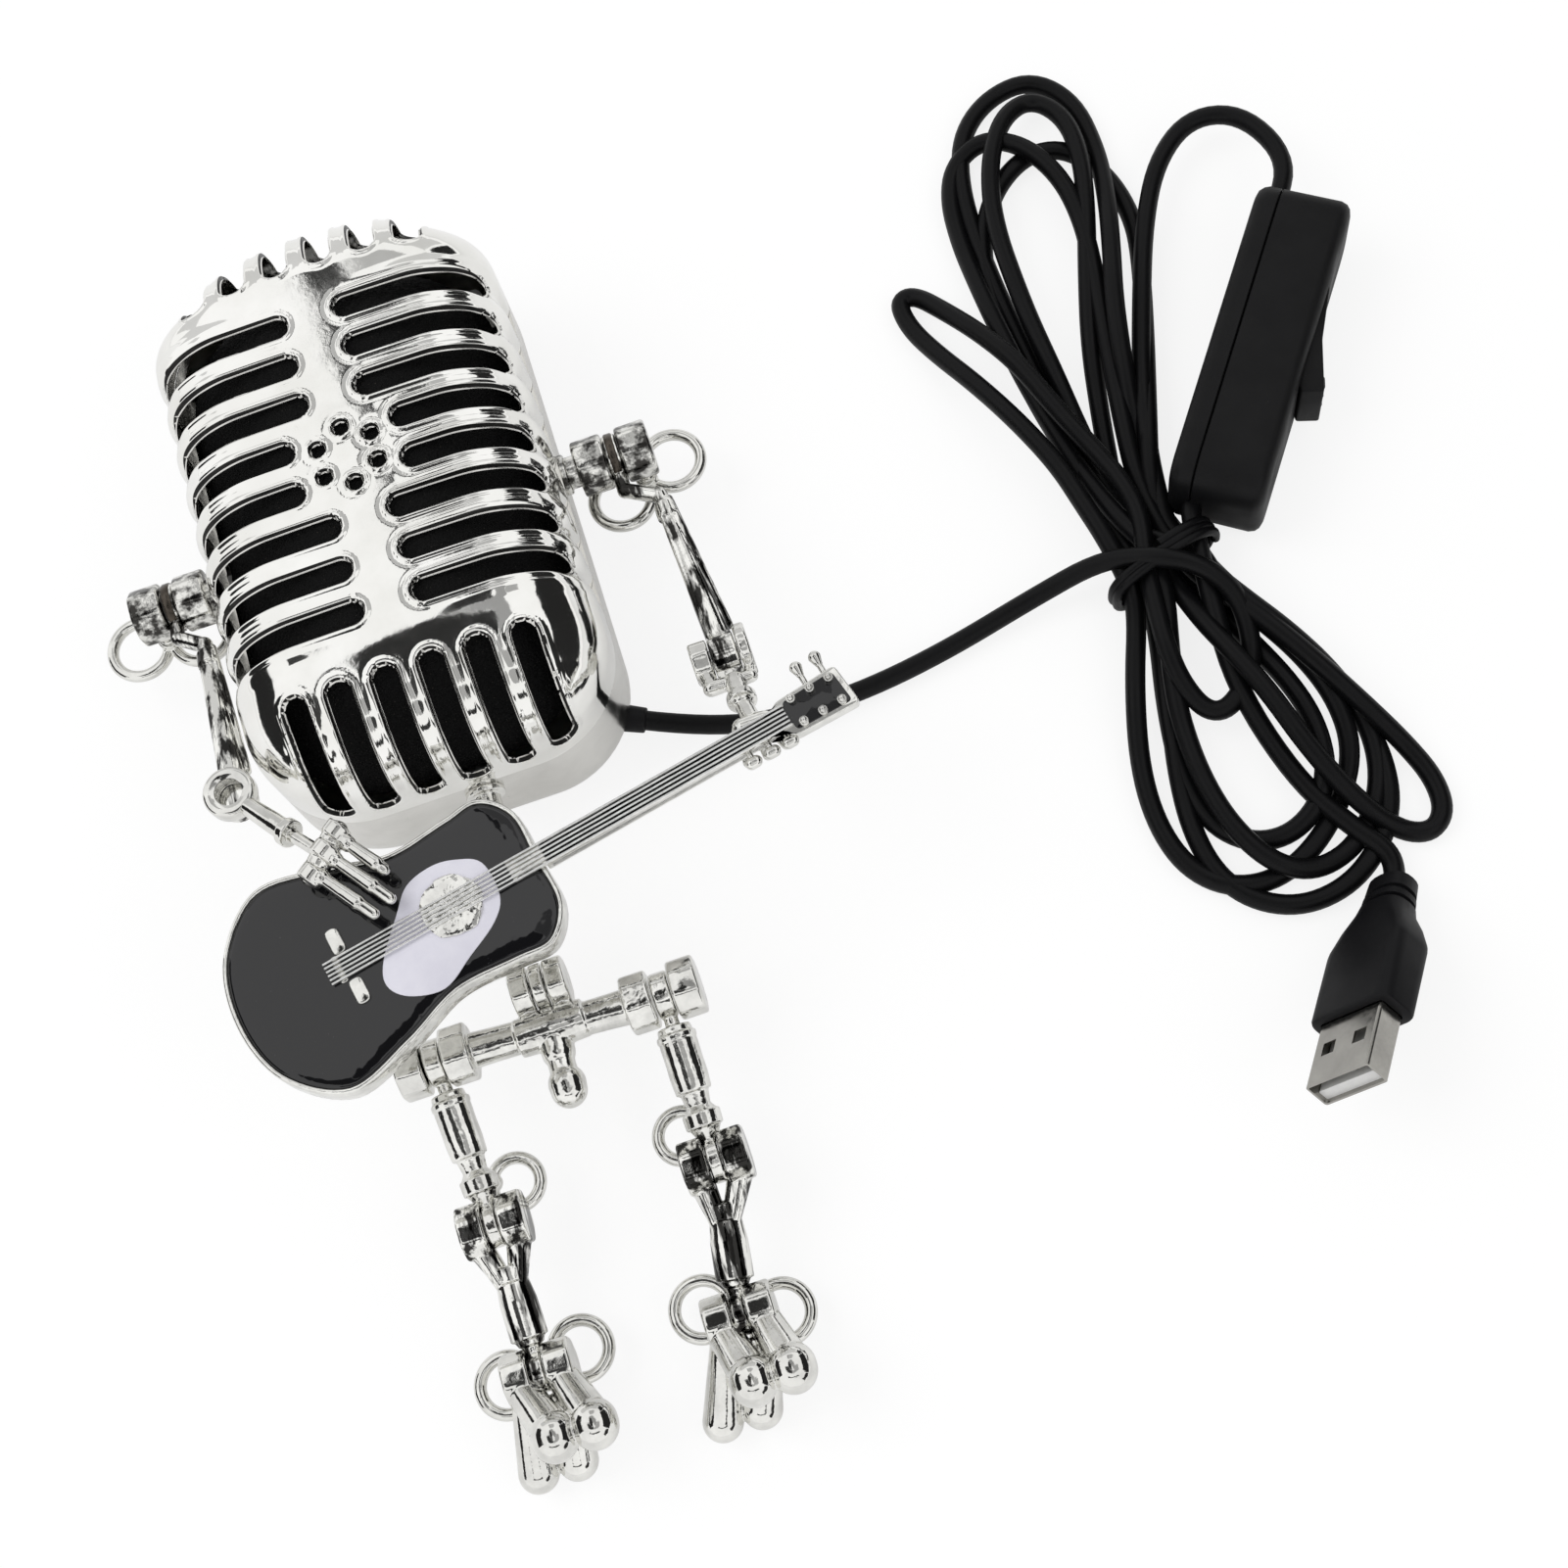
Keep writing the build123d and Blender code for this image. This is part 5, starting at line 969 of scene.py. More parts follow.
# ---------------------------------------------------------------- shoulders and arms
@dataclass
class Shoulder:
    """Two octagon blocks with a washer between them, and a wing screw behind."""

    side: Side
    flats: float = 9.0
    block: float = 5.2
    eyelet: float = 2.1
    wing_turn: float = 0.0

    def build(self, palette: Palette) -> None:
        """Make the inner block, the nut and the wing screw."""
        sign, tag = self.side.value, self.side.tag
        seat = limb_seat(shoulder_at(self.side), 0, sign)
        start = self.eyelet / 2 + 0.15
        # the plating of both blocks carries near-black patches: painted dark reflections
        inner = Skin().block(seat, self.flats, -start - self.block, -start, 0.5, 0.9)
        inner.disc(seat, 3.4, -9.3, -8.0, 0.4).disc(seat, 2.7, -9.0, -start - self.block + 0.5, 0.2)
        inner.make(f"shoulder_block_skin_{tag}", "lamp_head", "chrome", palette.rough,
                   [f"shoulder_block_{tag}"])
        nut = Skin().block(seat, self.flats, start, start + self.block, 0.55, 0.9)
        nut.make(f"shoulder_nut_skin_{tag}", "lamp_head", "chrome", palette.rough, [f"shoulder_nut_{tag}"])
        under = vec(0, -self.flats / 2 * 0.35, -self.flats / 2 - 3.3)
        hub = seat.at(vec(start + self.block / 2, 0, 0)) + under
        wing = Skin().bar(hub - vec(0, 0, 0.9), hub + vec(0, 0, 1.8), (1.9, 1.9))
        wing.bar(hub, hub + vec(0, 0, 4.6), (1.1, 1.1))
        for way in (0, 180):
            a = math.radians(self.wing_turn + way)
            wing.hoop(hub + vec(5.3 * math.cos(a), 5.3 * math.sin(a), 0), 4.9, 1.0)
        wing.make(f"wing_screw_skin_{tag}", "lamp_head", "chrome", palette.wire,
                  [f"wing_screw_shoulder_{tag}"], fuse=0.16, relax=3)


@dataclass
class Arm:
    """Upper arm: eyelet, cranked stem, tapering tube with a slim rod beside it, and its elbow."""

    side: Side
    pitch: float
    crank: float
    length: float = 44.0

    def seat(self) -> Seat:
        """Seat at the shoulder."""
        return limb_seat(shoulder_at(self.side), self.pitch)

    def elbow(self) -> Array:
        """Middle of the elbow."""
        return self.seat().at(vec(self.crank, -self.length, 0))

    def core(self, skin: Skin, end_gap: float) -> None:
        """Add the eyelet, stem, fluted tube and rod."""
        s = self.seat()
        k = self.crank
        skin.disc(s, 4.0, -1.15, 1.15, 0.35)
        skin.bulb(s.at(vec(0, 0, 0)), s.at(vec(0, -7.2, 0)), 1.25, 1.2)
        skin.bulb(s.at(vec(0, -7.0, 0)), s.at(vec(k * 0.72, -10.4, 0)), 1.25, 1.3)
        skin.bulb(s.at(vec(k * 0.72, -10.3, 0)), s.at(vec(k * 0.78, -14.0, 0)), 1.35, 1.15)
        end = end_gap - self.length
        skin.bar(s.at(vec(k * 0.75, -12.6, 0)), s.at(vec(k, end, 0)), (1.0, 1.35, 1.7, 1.95, 2.1))
        skin.bar(s.at(vec(k * 0.74, -12.2, 0)), s.at(vec(k * 0.76, -15.2, 0)), (1.7, 1.8))
        skin.bulb(s.at(vec(k * 0.72 + 1.1, -11.8, 0.2)), s.at(vec(k + 1.9, end + 3.0, -0.6)), 0.85, 0.85)
        skin.bulb(s.at(vec(k * 0.75 - 0.9, -13.0, 0.6)), s.at(vec(k - 1.3, end + 1.0, 0.9)), 0.5, 0.75)

    def build(self, palette: Palette) -> None:
        """Make the arm, melted into one casting."""
        tag = self.side.tag
        skin = Skin()
        e = self.elbow()
        if self.side is Side.LEFT:
            self.core(skin, 2.7)
            flat = Seat(e, vec(0, 0, 1), vec(1, 0, 0), vec(0, 1, 0))
            skin.disc(flat, 3.2, -1.5, 1.5, 0.4)
        else:
            self.core(skin, 2.8)
            skin.block(limb_seat(e, self.pitch), 6.8, -2.1, 2.1, 0.35, 0.8)
        # the arm's plating carries near-black streaks: painted dark reflections
        skin.make(f"upper_arm_skin_{tag}", f"upper_arm_{tag}", "cast", palette.streaked,
                  [f"upper_arm_{tag}"], fuse=0.17, relax=5)


@dataclass
class LeftForearm:
    """Threaded ring, collared tube, thin rod and a hand with three fingers laid on the strings."""

    middle: tuple[float, float, float] = (-32.5, -44.296, 32.778)
    turn: float = 37.2

    def build(self, palette: Palette) -> None:
        """Make the ring and the hand."""
        s = turned_seat(self.middle, self.turn)
        skin = Skin()
        ring = circle(4.1, 48)
        hole = circle(2.15, 48)
        heights = np.array([-1.5, -1.5, -1.1, 0.7, 1.1, 1.35, 1.45, 1.35, 1.1])
        radii = np.array([2.15, 3.8, 4.1, 4.1, 4.0, 3.75, 3.3, 2.75, 2.2])
        grid = np.concatenate([ring[None, :, :] / 4.1 * radii[:, None, None],
                               np.broadcast_to(heights[:, None, None], (len(radii), 48, 1))], axis=-1)
        thread_t = np.linspace(0, 1, 22)
        thread = np.concatenate([
            hole[None] * (1 + 0.035 * np.cos(2 * math.pi * 5 * thread_t)[:, None, None]),
            np.broadcast_to((0.9 - 2.4 * thread_t)[:, None, None], (22, 48, 1))], axis=-1)
        skin.lattice(s.at(np.concatenate([grid, thread])), wrap=True)
        skin.make("elbow_ring_skin_left", "forearm_left", "cast", palette.block)
        arm = Skin()
        arm.bar(s.at(vec(0, -3.7, 0.4)), s.at(vec(0, -13.2, 3.0)), (1.5, 1.6, 1.7, 1.65))
        arm.bar(s.at(vec(0, -12.3, 2.75)), s.at(vec(0, -13.9, 3.2)), (2.25, 2.25))
        arm.bar(s.at(vec(0, -13.7, 3.2)), s.at(vec(0, -20.6, 6.5)), (1.05, 1.0, 1.05))
        arm.bulb(s.at(vec(0, -20.4, 6.5)), s.at(vec(0, -22.2, 7.4)), 1.2, 1.6)
        arm.bulb(s.at(vec(-3.4, -22.8, 7.8)), s.at(vec(3.6, -21.6, 7.8)), 1.9, 1.9)
        arm.block(s.moved(-3.6, -22.9, 8.2), 4.0, -1.1, 1.3, 0.3, 0.6)
        arm.block(s.moved(0.4, -22.4, 8.5), 4.2, -1.2, 1.2, 0.3, 0.6)
        arm.block(s.moved(3.8, -21.7, 8.2), 4.0, -1.2, 1.1, 0.3, 0.6)
        for root_x, tip_x, tip_y in ((-3.0, -2.9, -34.4), (0.2, 0.2, -35.0), (3.2, 3.1, -31.6)):
            knuckle = s.at(vec(root_x, -24.6, 8.6))
            joint = s.at(vec((root_x + tip_x) / 2, tip_y * 0.5 - 14.4, 8.9))
            arm.bulb(s.at(vec(root_x, -22.4, 8.0)), knuckle, 1.4, 1.25)
            arm.bulb(knuckle, joint, 0.95, 1.15)
            arm.bulb(joint, s.at(vec(tip_x, tip_y, 8.4)), 0.95, 0.95)
        arm.make("forearm_skin_left", "forearm_left", "cast", palette.block, ["forearm_left"], fuse=0.15,
                 relax=3)


@dataclass
class RightForearm:
    """Fork, collar, short tube and three finger tips behind the guitar's neck."""

    elbow: tuple[float, float, float] = (45.6, -45.371, 24.914)
    pitch: float = -22.0

    def build(self, palette: Palette) -> None:
        """Make the fork and the hand."""
        s = limb_seat(self.elbow, self.pitch)
        skin = Skin()
        skin.block(s, 6.8, -5.25, -2.25, 0.4, 0.8)
        disc = circle(4.2, 44)
        rings = []
        for radius, x in ((1.6, 4.1), (4.0, 4.15), (4.25, 3.8), (4.25, 2.6), (4.0, 2.25), (1.6, 2.25)):
            rings.append(np.column_stack([np.full(44, x), disc / 4.2 * radius]))
        skin.lattice(s.at(np.stack(rings)), wrap=True)
        skin.bulb(s.at(vec(-3.75, -2.0, 0)), s.at(vec(-3.4, -5.9, 0)), 1.4, 1.3)
        skin.bulb(s.at(vec(3.2, -3.2, 0)), s.at(vec(2.8, -5.9, 0)), 0.85, 1.0)
        skin.bulb(s.at(vec(-3.6, -6.0, 0)), s.at(vec(2.9, -6.0, 0)), 1.25, 1.05)
        skin.bar(s.at(vec(0.2, -5.4, 0)), s.at(vec(0.4, -11.6, 0)), (1.7, 1.65, 1.7))
        skin.bar(s.at(vec(0.4, -9.4, 0)), s.at(vec(0.4, -11.0, 0)), (2.35, 2.35))
        skin.bar(s.at(vec(0.4, -11.4, 0)), s.at(vec(1.0, -15.8, 0)), (1.4, 1.5))
        skin.bulb(s.at(vec(-0.8, -16.2, 0)), s.at(vec(2.6, -16.2, 0)), 1.7, 1.7)
        for root_x, tip_x, tip_y in ((-0.6, -1.5, -23.2), (1.2, 1.6, -23.0), (2.4, 4.7, -22.1)):
            bend = s.at(vec((root_x + tip_x) / 2, tip_y + 3.0, 0.2))
            skin.bulb(s.at(vec(root_x, -16.6, 0)), bend, 1.2, 1.0)
            skin.bulb(bend, s.at(vec(tip_x, tip_y, 0)), 0.9, 0.88)
        skin.make("forearm_skin_right", "forearm_right", "cast", palette.cast, ["forearm_right"], fuse=0.15,
                  relax=3)


# ---------------------------------------------------------------- pelvis and legs
@dataclass
class Pelvis:
    """Hip bar with its blocks, the waist fork, the tail peg and the neck post above."""

    neck_x: float = 2.9
    waist_y: float = -84.5
    height: float = HIP_HEIGHT
    hip_left: tuple[float, float] = HIP_LEFT
    hip_right: tuple[float, float] = HIP_RIGHT

    def build(self, palette: Palette) -> None:
        """Make the neck post, the bar and the hip nuts."""
        waist = vec(self.neck_x, self.waist_y, self.height)
        neck = Skin()
        neck.bar(vec(self.neck_x, -50.9, self.height), vec(self.neck_x, -52.0, self.height), (3.2, 3.2))
        neck.bar(vec(self.neck_x, -51.5, self.height), waist + vec(0, 6.2, 0), (2.2, 2.2, 2.2))
        neck.bar(waist + vec(0, 6.4, 0), waist + vec(0, 4.4, 0), (2.1, 1.1))
        neck.disc(limb_seat(waist, 0), 3.7, -1.05, 1.05, 0.3)
        neck.make("neck_skin", "lamp_head", "satin", palette.cast, ["neck_post"], fuse=0.2, relax=3)
        left, right = vec(*self.hip_left, self.height), vec(*self.hip_right, self.height)
        start, end = left + vec(3.6, 0, 0), right - vec(3.6, 0, 0)
        middle = start + (end - start) * (self.neck_x - start[0]) / (end[0] - start[0])
        bar = Skin()
        bar.bar(start, end, (2.9, 2.7, 2.6, 2.8, 2.6, 2.7, 2.9))
        bar.bar(middle - vec(5.4, 0, 0), middle + vec(5.4, 0, 0), (3.0, 3.3, 3.0))
        for side, point in ((Side.LEFT, left), (Side.RIGHT, right)):
            seat = limb_seat(point, 0, side.value)
            bar.block(seat, 8.8, -5.9, -1.6, 0.45, 0.8)
            nut = Skin().block(seat, 8.8, 1.6, 5.9, 0.5, 0.8)
            nut.make(f"hip_nut_skin_{side.tag}", "pelvis", "chrome", palette.block, [f"hip_nut_{side.tag}"])
        for sign in (-1, 1):
            seat = limb_seat(waist, 0, sign)
            bar.block(seat, 7.4, 1.25, 4.35, 0.4, 0.8)
            bar.bulb(waist + vec(sign * 2.8, -2.4, 0), middle + vec(sign * 2.6, 0, 0), 1.5, 1.6)
        peg = middle - vec(0, 9.6, 0)
        bar.bulb(middle, middle - vec(0, 3.9, 0), 2.8, 2.6)
        bar.bar(middle - vec(0, 3.0, 0), peg, (2.2, 2.1, 2.2))
        bar.bulb(peg + vec(0, 0.6, 0), peg - vec(0, 0.4, 0), 2.9, 2.8)
        bar.make("hip_bar_skin", "pelvis", "cast", palette.cast, ["hip_bar"], fuse=0.17, relax=3)


@dataclass
class Leg:
    """Thigh, shin and foot of one side, with their wire rings."""

    side: Side
    hip: tuple[float, float]
    thigh_crank: float
    shin_crank: float
    toe_shift: float
    heel_shift: float
    wing_turn: float
    height: float = HIP_HEIGHT
    thigh_length: float = 26.0
    thigh_pitch: float = 10.0
    shin_length: float = 22.5
    shin_pitch: float = 9.0

    def thigh_seat(self) -> Seat:
        """Seat at the hip."""
        return limb_seat((*self.hip, self.height), self.thigh_pitch)

    def shin_seat(self) -> Seat:
        """Seat at the knee."""
        return limb_seat(self.thigh_seat().at(vec(self.thigh_crank, -self.thigh_length, 0)), self.shin_pitch)

    def ankle(self) -> Array:
        """Middle of the ankle."""
        return self.shin_seat().at(vec(self.shin_crank, -self.shin_length, 0))

    def build_thigh(self, palette: Palette) -> None:
        """Make the hip tongue, sleeve, waisted casting and knee tongue."""
        s, k, n = self.thigh_seat(), self.thigh_crank, self.thigh_length

        def on(d: float, x: float = 0.0, z: float = 0.0) -> Array:
            """Point down the thigh."""
            return s.at(vec(k * d / n + x, -d, z))

        skin = Skin()
        skin.disc(s, 3.6, -1.4, 1.4, 0.35)
        skin.bar(on(2.0), on(5.6), (1.1, 1.15))
        skin.bar(on(5.0), on(15.3), (2.6, 2.95, 2.9, 2.95, 2.8))
        skin.bar(on(6.2), on(7.2), (3.1, 3.1))
        skin.bar(on(14.6), on(17.6), (2.3, 1.9))
        skin.bar(on(17.2), on(18.8), (1.9, 2.7))
        skin.bar(on(18.4), on(20.8), (2.95, 2.9))
        skin.bar(on(20.6), on(23.6), (2.4, 1.1))
        knee = self.shin_seat()
        seat = Seat(knee.origin, s.x, s.y, s.z)
        skin.disc(seat, 3.4, -1.0, 1.0, 0.3)
        skin.bar(on(22.0), on(25.0), (0.95, 0.95))
        tag = self.side.tag
        skin.make(f"thigh_skin_{tag}", f"thigh_{tag}", "cast", palette.cast, [f"thigh_{tag}"], fuse=0.16,
                  relax=3)
        inner = -self.side.value
        hub, ring = on(19.6, inner * 0.9, -6.0), on(20.6, inner * 4.2, -6.0)
        loop = Skin().hoop(ring, 3.8, 1.0)
        loop.ball(hub, 1.5).bar(hub, on(19.6, inner * 0.9, -1.6), (1.1, 1.1))
        loop.make(f"knee_ring_skin_{tag}", f"thigh_{tag}", "chrome", palette.wire, [f"knee_ring_{tag}"],
                  fuse=0.16, relax=3)

    def build_shin(self, palette: Palette) -> None:
        """Make the knee ears, the two webs, the sleeve and the ankle tongue."""
        s, k, n = self.shin_seat(), self.shin_crank, self.shin_length

        def on(d: float, x: float = 0.0, z: float = 0.0) -> Array:
            """Point down the shin."""
            return s.at(vec(k * d / n + x, -d, z))

        skin = Skin()
        for sign in (-1, 1):
            seat = Seat(s.origin, s.x * sign, s.y, s.z)
            skin.block(seat, 8.2, 1.15, 5.1, 0.45, 0.8)
            skin.bulb(s.at(vec(sign * 3.0, -2.6, 0)), on(9.0, sign * 0.9), 2.0, 1.4)
            skin.bulb(s.at(vec(sign * 3.3, -3.0, 0.9)), on(9.6, sign * 1.3, 1.0), 1.1, 0.9)
        skin.bar(on(6.4), on(9.4), (2.2, 2.0))
        skin.bar(on(8.8), on(17.4), (2.5, 2.85, 2.9, 2.9))
        skin.bar(on(17.1), on(18.4), (2.4, 2.0))
        skin.bar(on(18.0), on(21.0), (1.6, 0.95))
        ankle = self.ankle()
        skin.disc(Seat(ankle, s.x, s.y, s.z), 3.1, -1.0, 1.0, 0.3)
        tag = self.side.tag
        # the shin's plating carries near-black streaks: painted dark reflections
        skin.make(f"shin_skin_{tag}", f"shin_{tag}", "cast", palette.streaked, [f"shin_{tag}"], fuse=0.16,
                  relax=3)

    def build_foot(self, palette: Palette) -> None:
        """Make the ankle ears, the toe balls, the heel bulbs and the wing plate."""
        ankle = self.ankle()
        s = limb_seat(ankle, 0)
        skin = Skin()
        for sign in (-1, 1):
            seat = limb_seat(ankle, 0, sign)
            skin.block(seat, 7.7, 1.15, 5.4, 0.5, 0.9)
            toe = s.at(vec(self.toe_shift + sign * 3.05, -10.0, 5.0))
            heel = s.at(vec(self.heel_shift + sign * 3.05, -13.1, -5.5))
            skin.bulb(s.at(vec(sign * 3.15, -1.6, 0.8)), toe, 2.5, 3.1)
            skin.bulb(s.at(vec(sign * 3.15, -1.8, -0.8)), heel, 2.1, 3.1)
            skin.bulb(toe, toe - vec(0, 0.6, 0), 3.5, 3.5)
        skin.bar(s.at(vec(-3.2, -5.0, 0)), s.at(vec(3.2, -5.0, 0)), (1.5, 1.5))
        tag = self.side.tag
        skin.make(f"foot_skin_{tag}", f"foot_{tag}", "chrome", palette.block, [f"foot_{tag}"], fuse=0.17,
                  relax=5)
        plate_top = ankle - vec(0, 0, 3.5)
        seat = Seat(plate_top, vec(1, 0, 0), vec(0, 1, 0), vec(0, 0, 1))
        wing = Skin().prism(seat, oval(6.3, 2.6, 1.2), -1.8, 0.0, 0.25)
        hub = plate_top - vec(0, 0, 0.9)
        for way in (0, 180):
            a = math.radians(self.wing_turn + way)
            wing.hoop(hub + vec(6.0 * math.cos(a), 6.0 * math.sin(a) + 1.2, 0), 4.3, 1.0)
        wing.make(f"ankle_wing_skin_{tag}", f"foot_{tag}", "chrome", palette.wire,
                  [f"wing_screw_ankle_{tag}"],
                  fuse=0.16, relax=3)

    def build(self, palette: Palette) -> None:
        """Make the whole leg."""
        self.build_thigh(palette)
        self.build_shin(palette)
        self.build_foot(palette)


# ---------------------------------------------------------------- guitar
@dataclass
class Guitar:
    """Rimmed body with black enamel, pearl guard, rough plate, strings, neck and tuners."""

    centre: tuple[float, float] = (-3.2, -75.7)
    turn: float = 11.7
    back: float = 33.5
    thickness: float = 4.5
    middle: float = 0.9
    tail: float = 35.6
    shoulder: float = 14.6
    lower: float = 17.5
    waist: float = 12.2
    upper: float = 12.8
    rim: float = 0.8

    def outline(self, draw: float = 0.0) -> Array:
        """Closed outline, from the reach and half widths of its bouts, drawn in by an amount."""
        t, l, w, u, s = (v - draw for v in (self.tail, self.lower, self.waist, self.upper, self.shoulder))
        half = np.array([[-t * 0.93, l * 0.6], [-t * 0.7, l], [-t * 0.4, l * 0.88], [-t * 0.14, w],
                         [s * 0.3, u * 0.985], [s * 0.72, u], [s * 0.99, u * 0.62]])
        other = half[::-1] * vec(1, -1)
        loop = np.concatenate([[[-t, 0]], half, [[s, 0]], other]) + vec(0, self.middle)
        return smooth_loop(loop, 8)[::-1]

    def build(self, palette: Palette) -> None:
        """Make every piece of the guitar."""
        base = turned_seat((*self.centre, self.back), self.turn)
        top = base.moved(0, 0, self.thickness)
        line = self.outline()
        body = Skin()
        rings = []
        for draw, h in ((1.6, 0.0), (0.5, 0.05), (0.12, 0.3), (0.0, 0.8), (0.0, 3.6), (0.05, 4.2),
                        (0.25, 4.5), (0.55, 4.52), (0.75, 4.4), (0.85, 4.0)):
            rings.append(np.column_stack([inset(line, draw), np.full(len(line), h)]))
        body.lattice(base.at(np.stack(rings)))
        body.make("guitar_rim_skin", "lamp_head", "nickel", palette.cast, ["guitar_body"], sharp=60)
        enamel = Skin()
        rings = []
        for draw, h in ((0.9, 3.9), (0.82, 4.1), (0.95, 4.28), (1.5, 4.46), (2.4, 4.57)):
            rings.append(np.column_stack([inset(line, draw), np.full(len(line), h)]))
        inner_ring, middle = inset(line, 2.4), line.mean(0)
        for share, h in ((0.9, 4.61), (0.7, 4.64), (0.3, 4.65)):
            rings.append(np.column_stack([middle + (inner_ring - middle) * share, np.full(len(line), h)]))
        enamel.lattice(base.at(np.stack(rings)))
        enamel.make("guitar_enamel_skin", "lamp_head", "black_enamel", palette.enamel,
                    ["guitar_top_enamel"], sharp=60)
        self.build_guard(palette, top)
        self.build_neck(palette, top)

    def build_guard(self, palette: Palette, top: Seat) -> None:
        """Make the pearl guard, the rough plate and the bridge."""
        guard = smooth_loop(np.array([(-7.8, 3.6), (-4.5, 6.9), (-0.1, 7.7), (3.6, 6.7), (6.8, 4.2),
                                      (6.9, -1.5), (4.4, -4.8), (-1.0, -7.6), (-6.3, -10.0), (-11.4, -8.3),
                                      (-13.6, -5.2), (-12.4, -1.6)]), 6)[::-1]
        Skin().prism(top, guard, 0.0, 0.28, 0.12).make(
            "pickguard_skin", "lamp_head", "pearl", palette.pearl, ["guitar_pickguard"], sharp=60)
        a = np.linspace(0, 2 * math.pi, 48, endpoint=False)
        rings = []
        for i, radius in enumerate((4.7, 4.75, 4.6, 3.9, 3.1, 2.2, 1.2)):
            height = (0.2, 0.45, 0.62, 0.58, 0.66, 0.6, 0.66)[i]
            wobble = 1 + 0.03 * np.sin(5 * a + i) + 0.02 * np.sin(11 * a + 2 * i)
            bumps = height + (0.14 * np.sin(5 * a + 2.6 * i) + 0.14 * np.sin(13 * a - 4.1 * i)) * (i > 1)
            reach = radius * wobble
            rings.append(np.column_stack([reach * np.cos(a), 0.6 + reach * np.sin(a), bumps]))
        Skin().lattice(top.at(np.stack(rings))).make(
            "soundhole_skin", "lamp_head", "nickel", palette.cast, ["soundhole_plate"], sharp=80)
        bridge = Skin()
        bridge.prism(top.moved(-17.3, 4.7, 0), oval(2.2, 4.2, 1.0, 6), 0.0, 0.6, 0.25)
        bridge.prism(top.moved(-17.3, -3.8, 0), oval(2.2, 4.2, 1.0, 6), 0.0, 0.6, 0.25)
        bridge.prism(top.moved(-18.6, 0.6, 0), oval(1.2, 4.4, 0.4, 4), 0.0, 0.4, 0.15)
        bridge.make("bridge_skin", "lamp_head", "nickel", palette.block, ["guitar_bridge"])

    def build_neck(self, palette: Palette, top: Seat) -> None:
        """Make the neck, the headstock with its enamel, the strings and the tuners."""
        level = top.moved(0, 0, 0.55)
        neck = Skin()
        outline = softened(np.array([[14.9, -1.2], [54.4, -1.2], [55.9, -2.9], [66.6, -3.1], [66.0, 4.0],
                                     [55.7, 3.4], [54.4, 2.4], [14.9, 2.4]]), 0.8, 4)
        neck.prism(level, outline, -2.2, -0.05, 0.25)
        neck.prism(level, softened(np.array([[14.9, -1.2], [54.0, -1.2], [54.0, 2.4], [14.9, 2.4]]), 0.3, 3),
                   -2.8, -0.3, 0.5)
        neck.prism(level, softened(np.array([[9.6, -1.2], [15.2, -1.2], [15.2, 2.4], [9.6, 2.4]]), 0.3, 3),
                   -0.56, -0.02, 0.15)
        neck.make("guitar_neck_skin", "lamp_head", "nickel", palette.cast, ["guitar_neck"], sharp=50)
        plate = softened(np.array([[56.4, -2.25], [65.7, -2.4], [65.2, 3.3], [56.4, 2.8]]), 0.8, 5)
        board = np.array([[15.2, -0.95], [56.8, -0.95], [56.8, 2.15], [15.2, 2.15]])
        face = Skin().prism(level, plate, -0.4, 0.05, 0.18)
        face.prism(level, softened(board, 0.2, 3), -0.3, 0.0, 0.05)
        face.make("headstock_enamel_skin", "lamp_head", "black_enamel", palette.enamel,
                  ["headstock_enamel"], sharp=60)
        strings = Skin()
        for i in range(6):
            y = 0.6 + (i - 2.5) * 0.67
            t = np.linspace(0, 1, 40)
            x = -20.4 + t * 76.6
            height = np.full_like(x, 0.24) + 0.03 * np.sin(t * 57 + i)
            path = np.stack([x, np.full_like(x, y), height], axis=1)
            strings.carried(level.at(path), np.full(40, 0.18), 10)
        strings.make("strings_skin", "lamp_head", "strings", palette.strings, ["guitar_strings"])
        tuners = Skin()
        for i in range(3):
            x = 57.9 + i * 3.2
            for sign, edge, post in ((1, 3.7, 2.4), (-1, -3.0, -1.7)):
                seat = level.moved(x, post, 0)
                tuners.prism(seat, circle(0.75, 20), -0.1, 0.9, 0.2)
                tuners.ball(level.at(vec(x, post, 0.95)), 0.55, 16)
                if sign < 0 or i == 0:
                    continue
                knob = level.at(vec(x, edge + sign * 2.3, -1.1))
                tuners.bar(level.at(vec(x, edge - sign * 0.2, -1.1)), knob, (0.45, 0.5), 12)
                tuners.bulb(knob - level.y * sign * 0.3, knob + level.y * sign * 0.9, 0.6, 1.0, 20)
        for i in range(3):
            x = 48.6 + i * 3.1
            foot = level.at(vec(x, -1.0, -1.4))
            knob = level.at(vec(x, -2.7, -1.6))
            tuners.bar(foot, knob, (0.5, 0.5), 12)
            tuners.bulb(knob - level.x * 0.4, knob + level.x * 0.4, 0.95, 0.95, 20)
        tuners.make("tuners_skin", "lamp_head", "nickel", palette.block, ["guitar_tuners"])


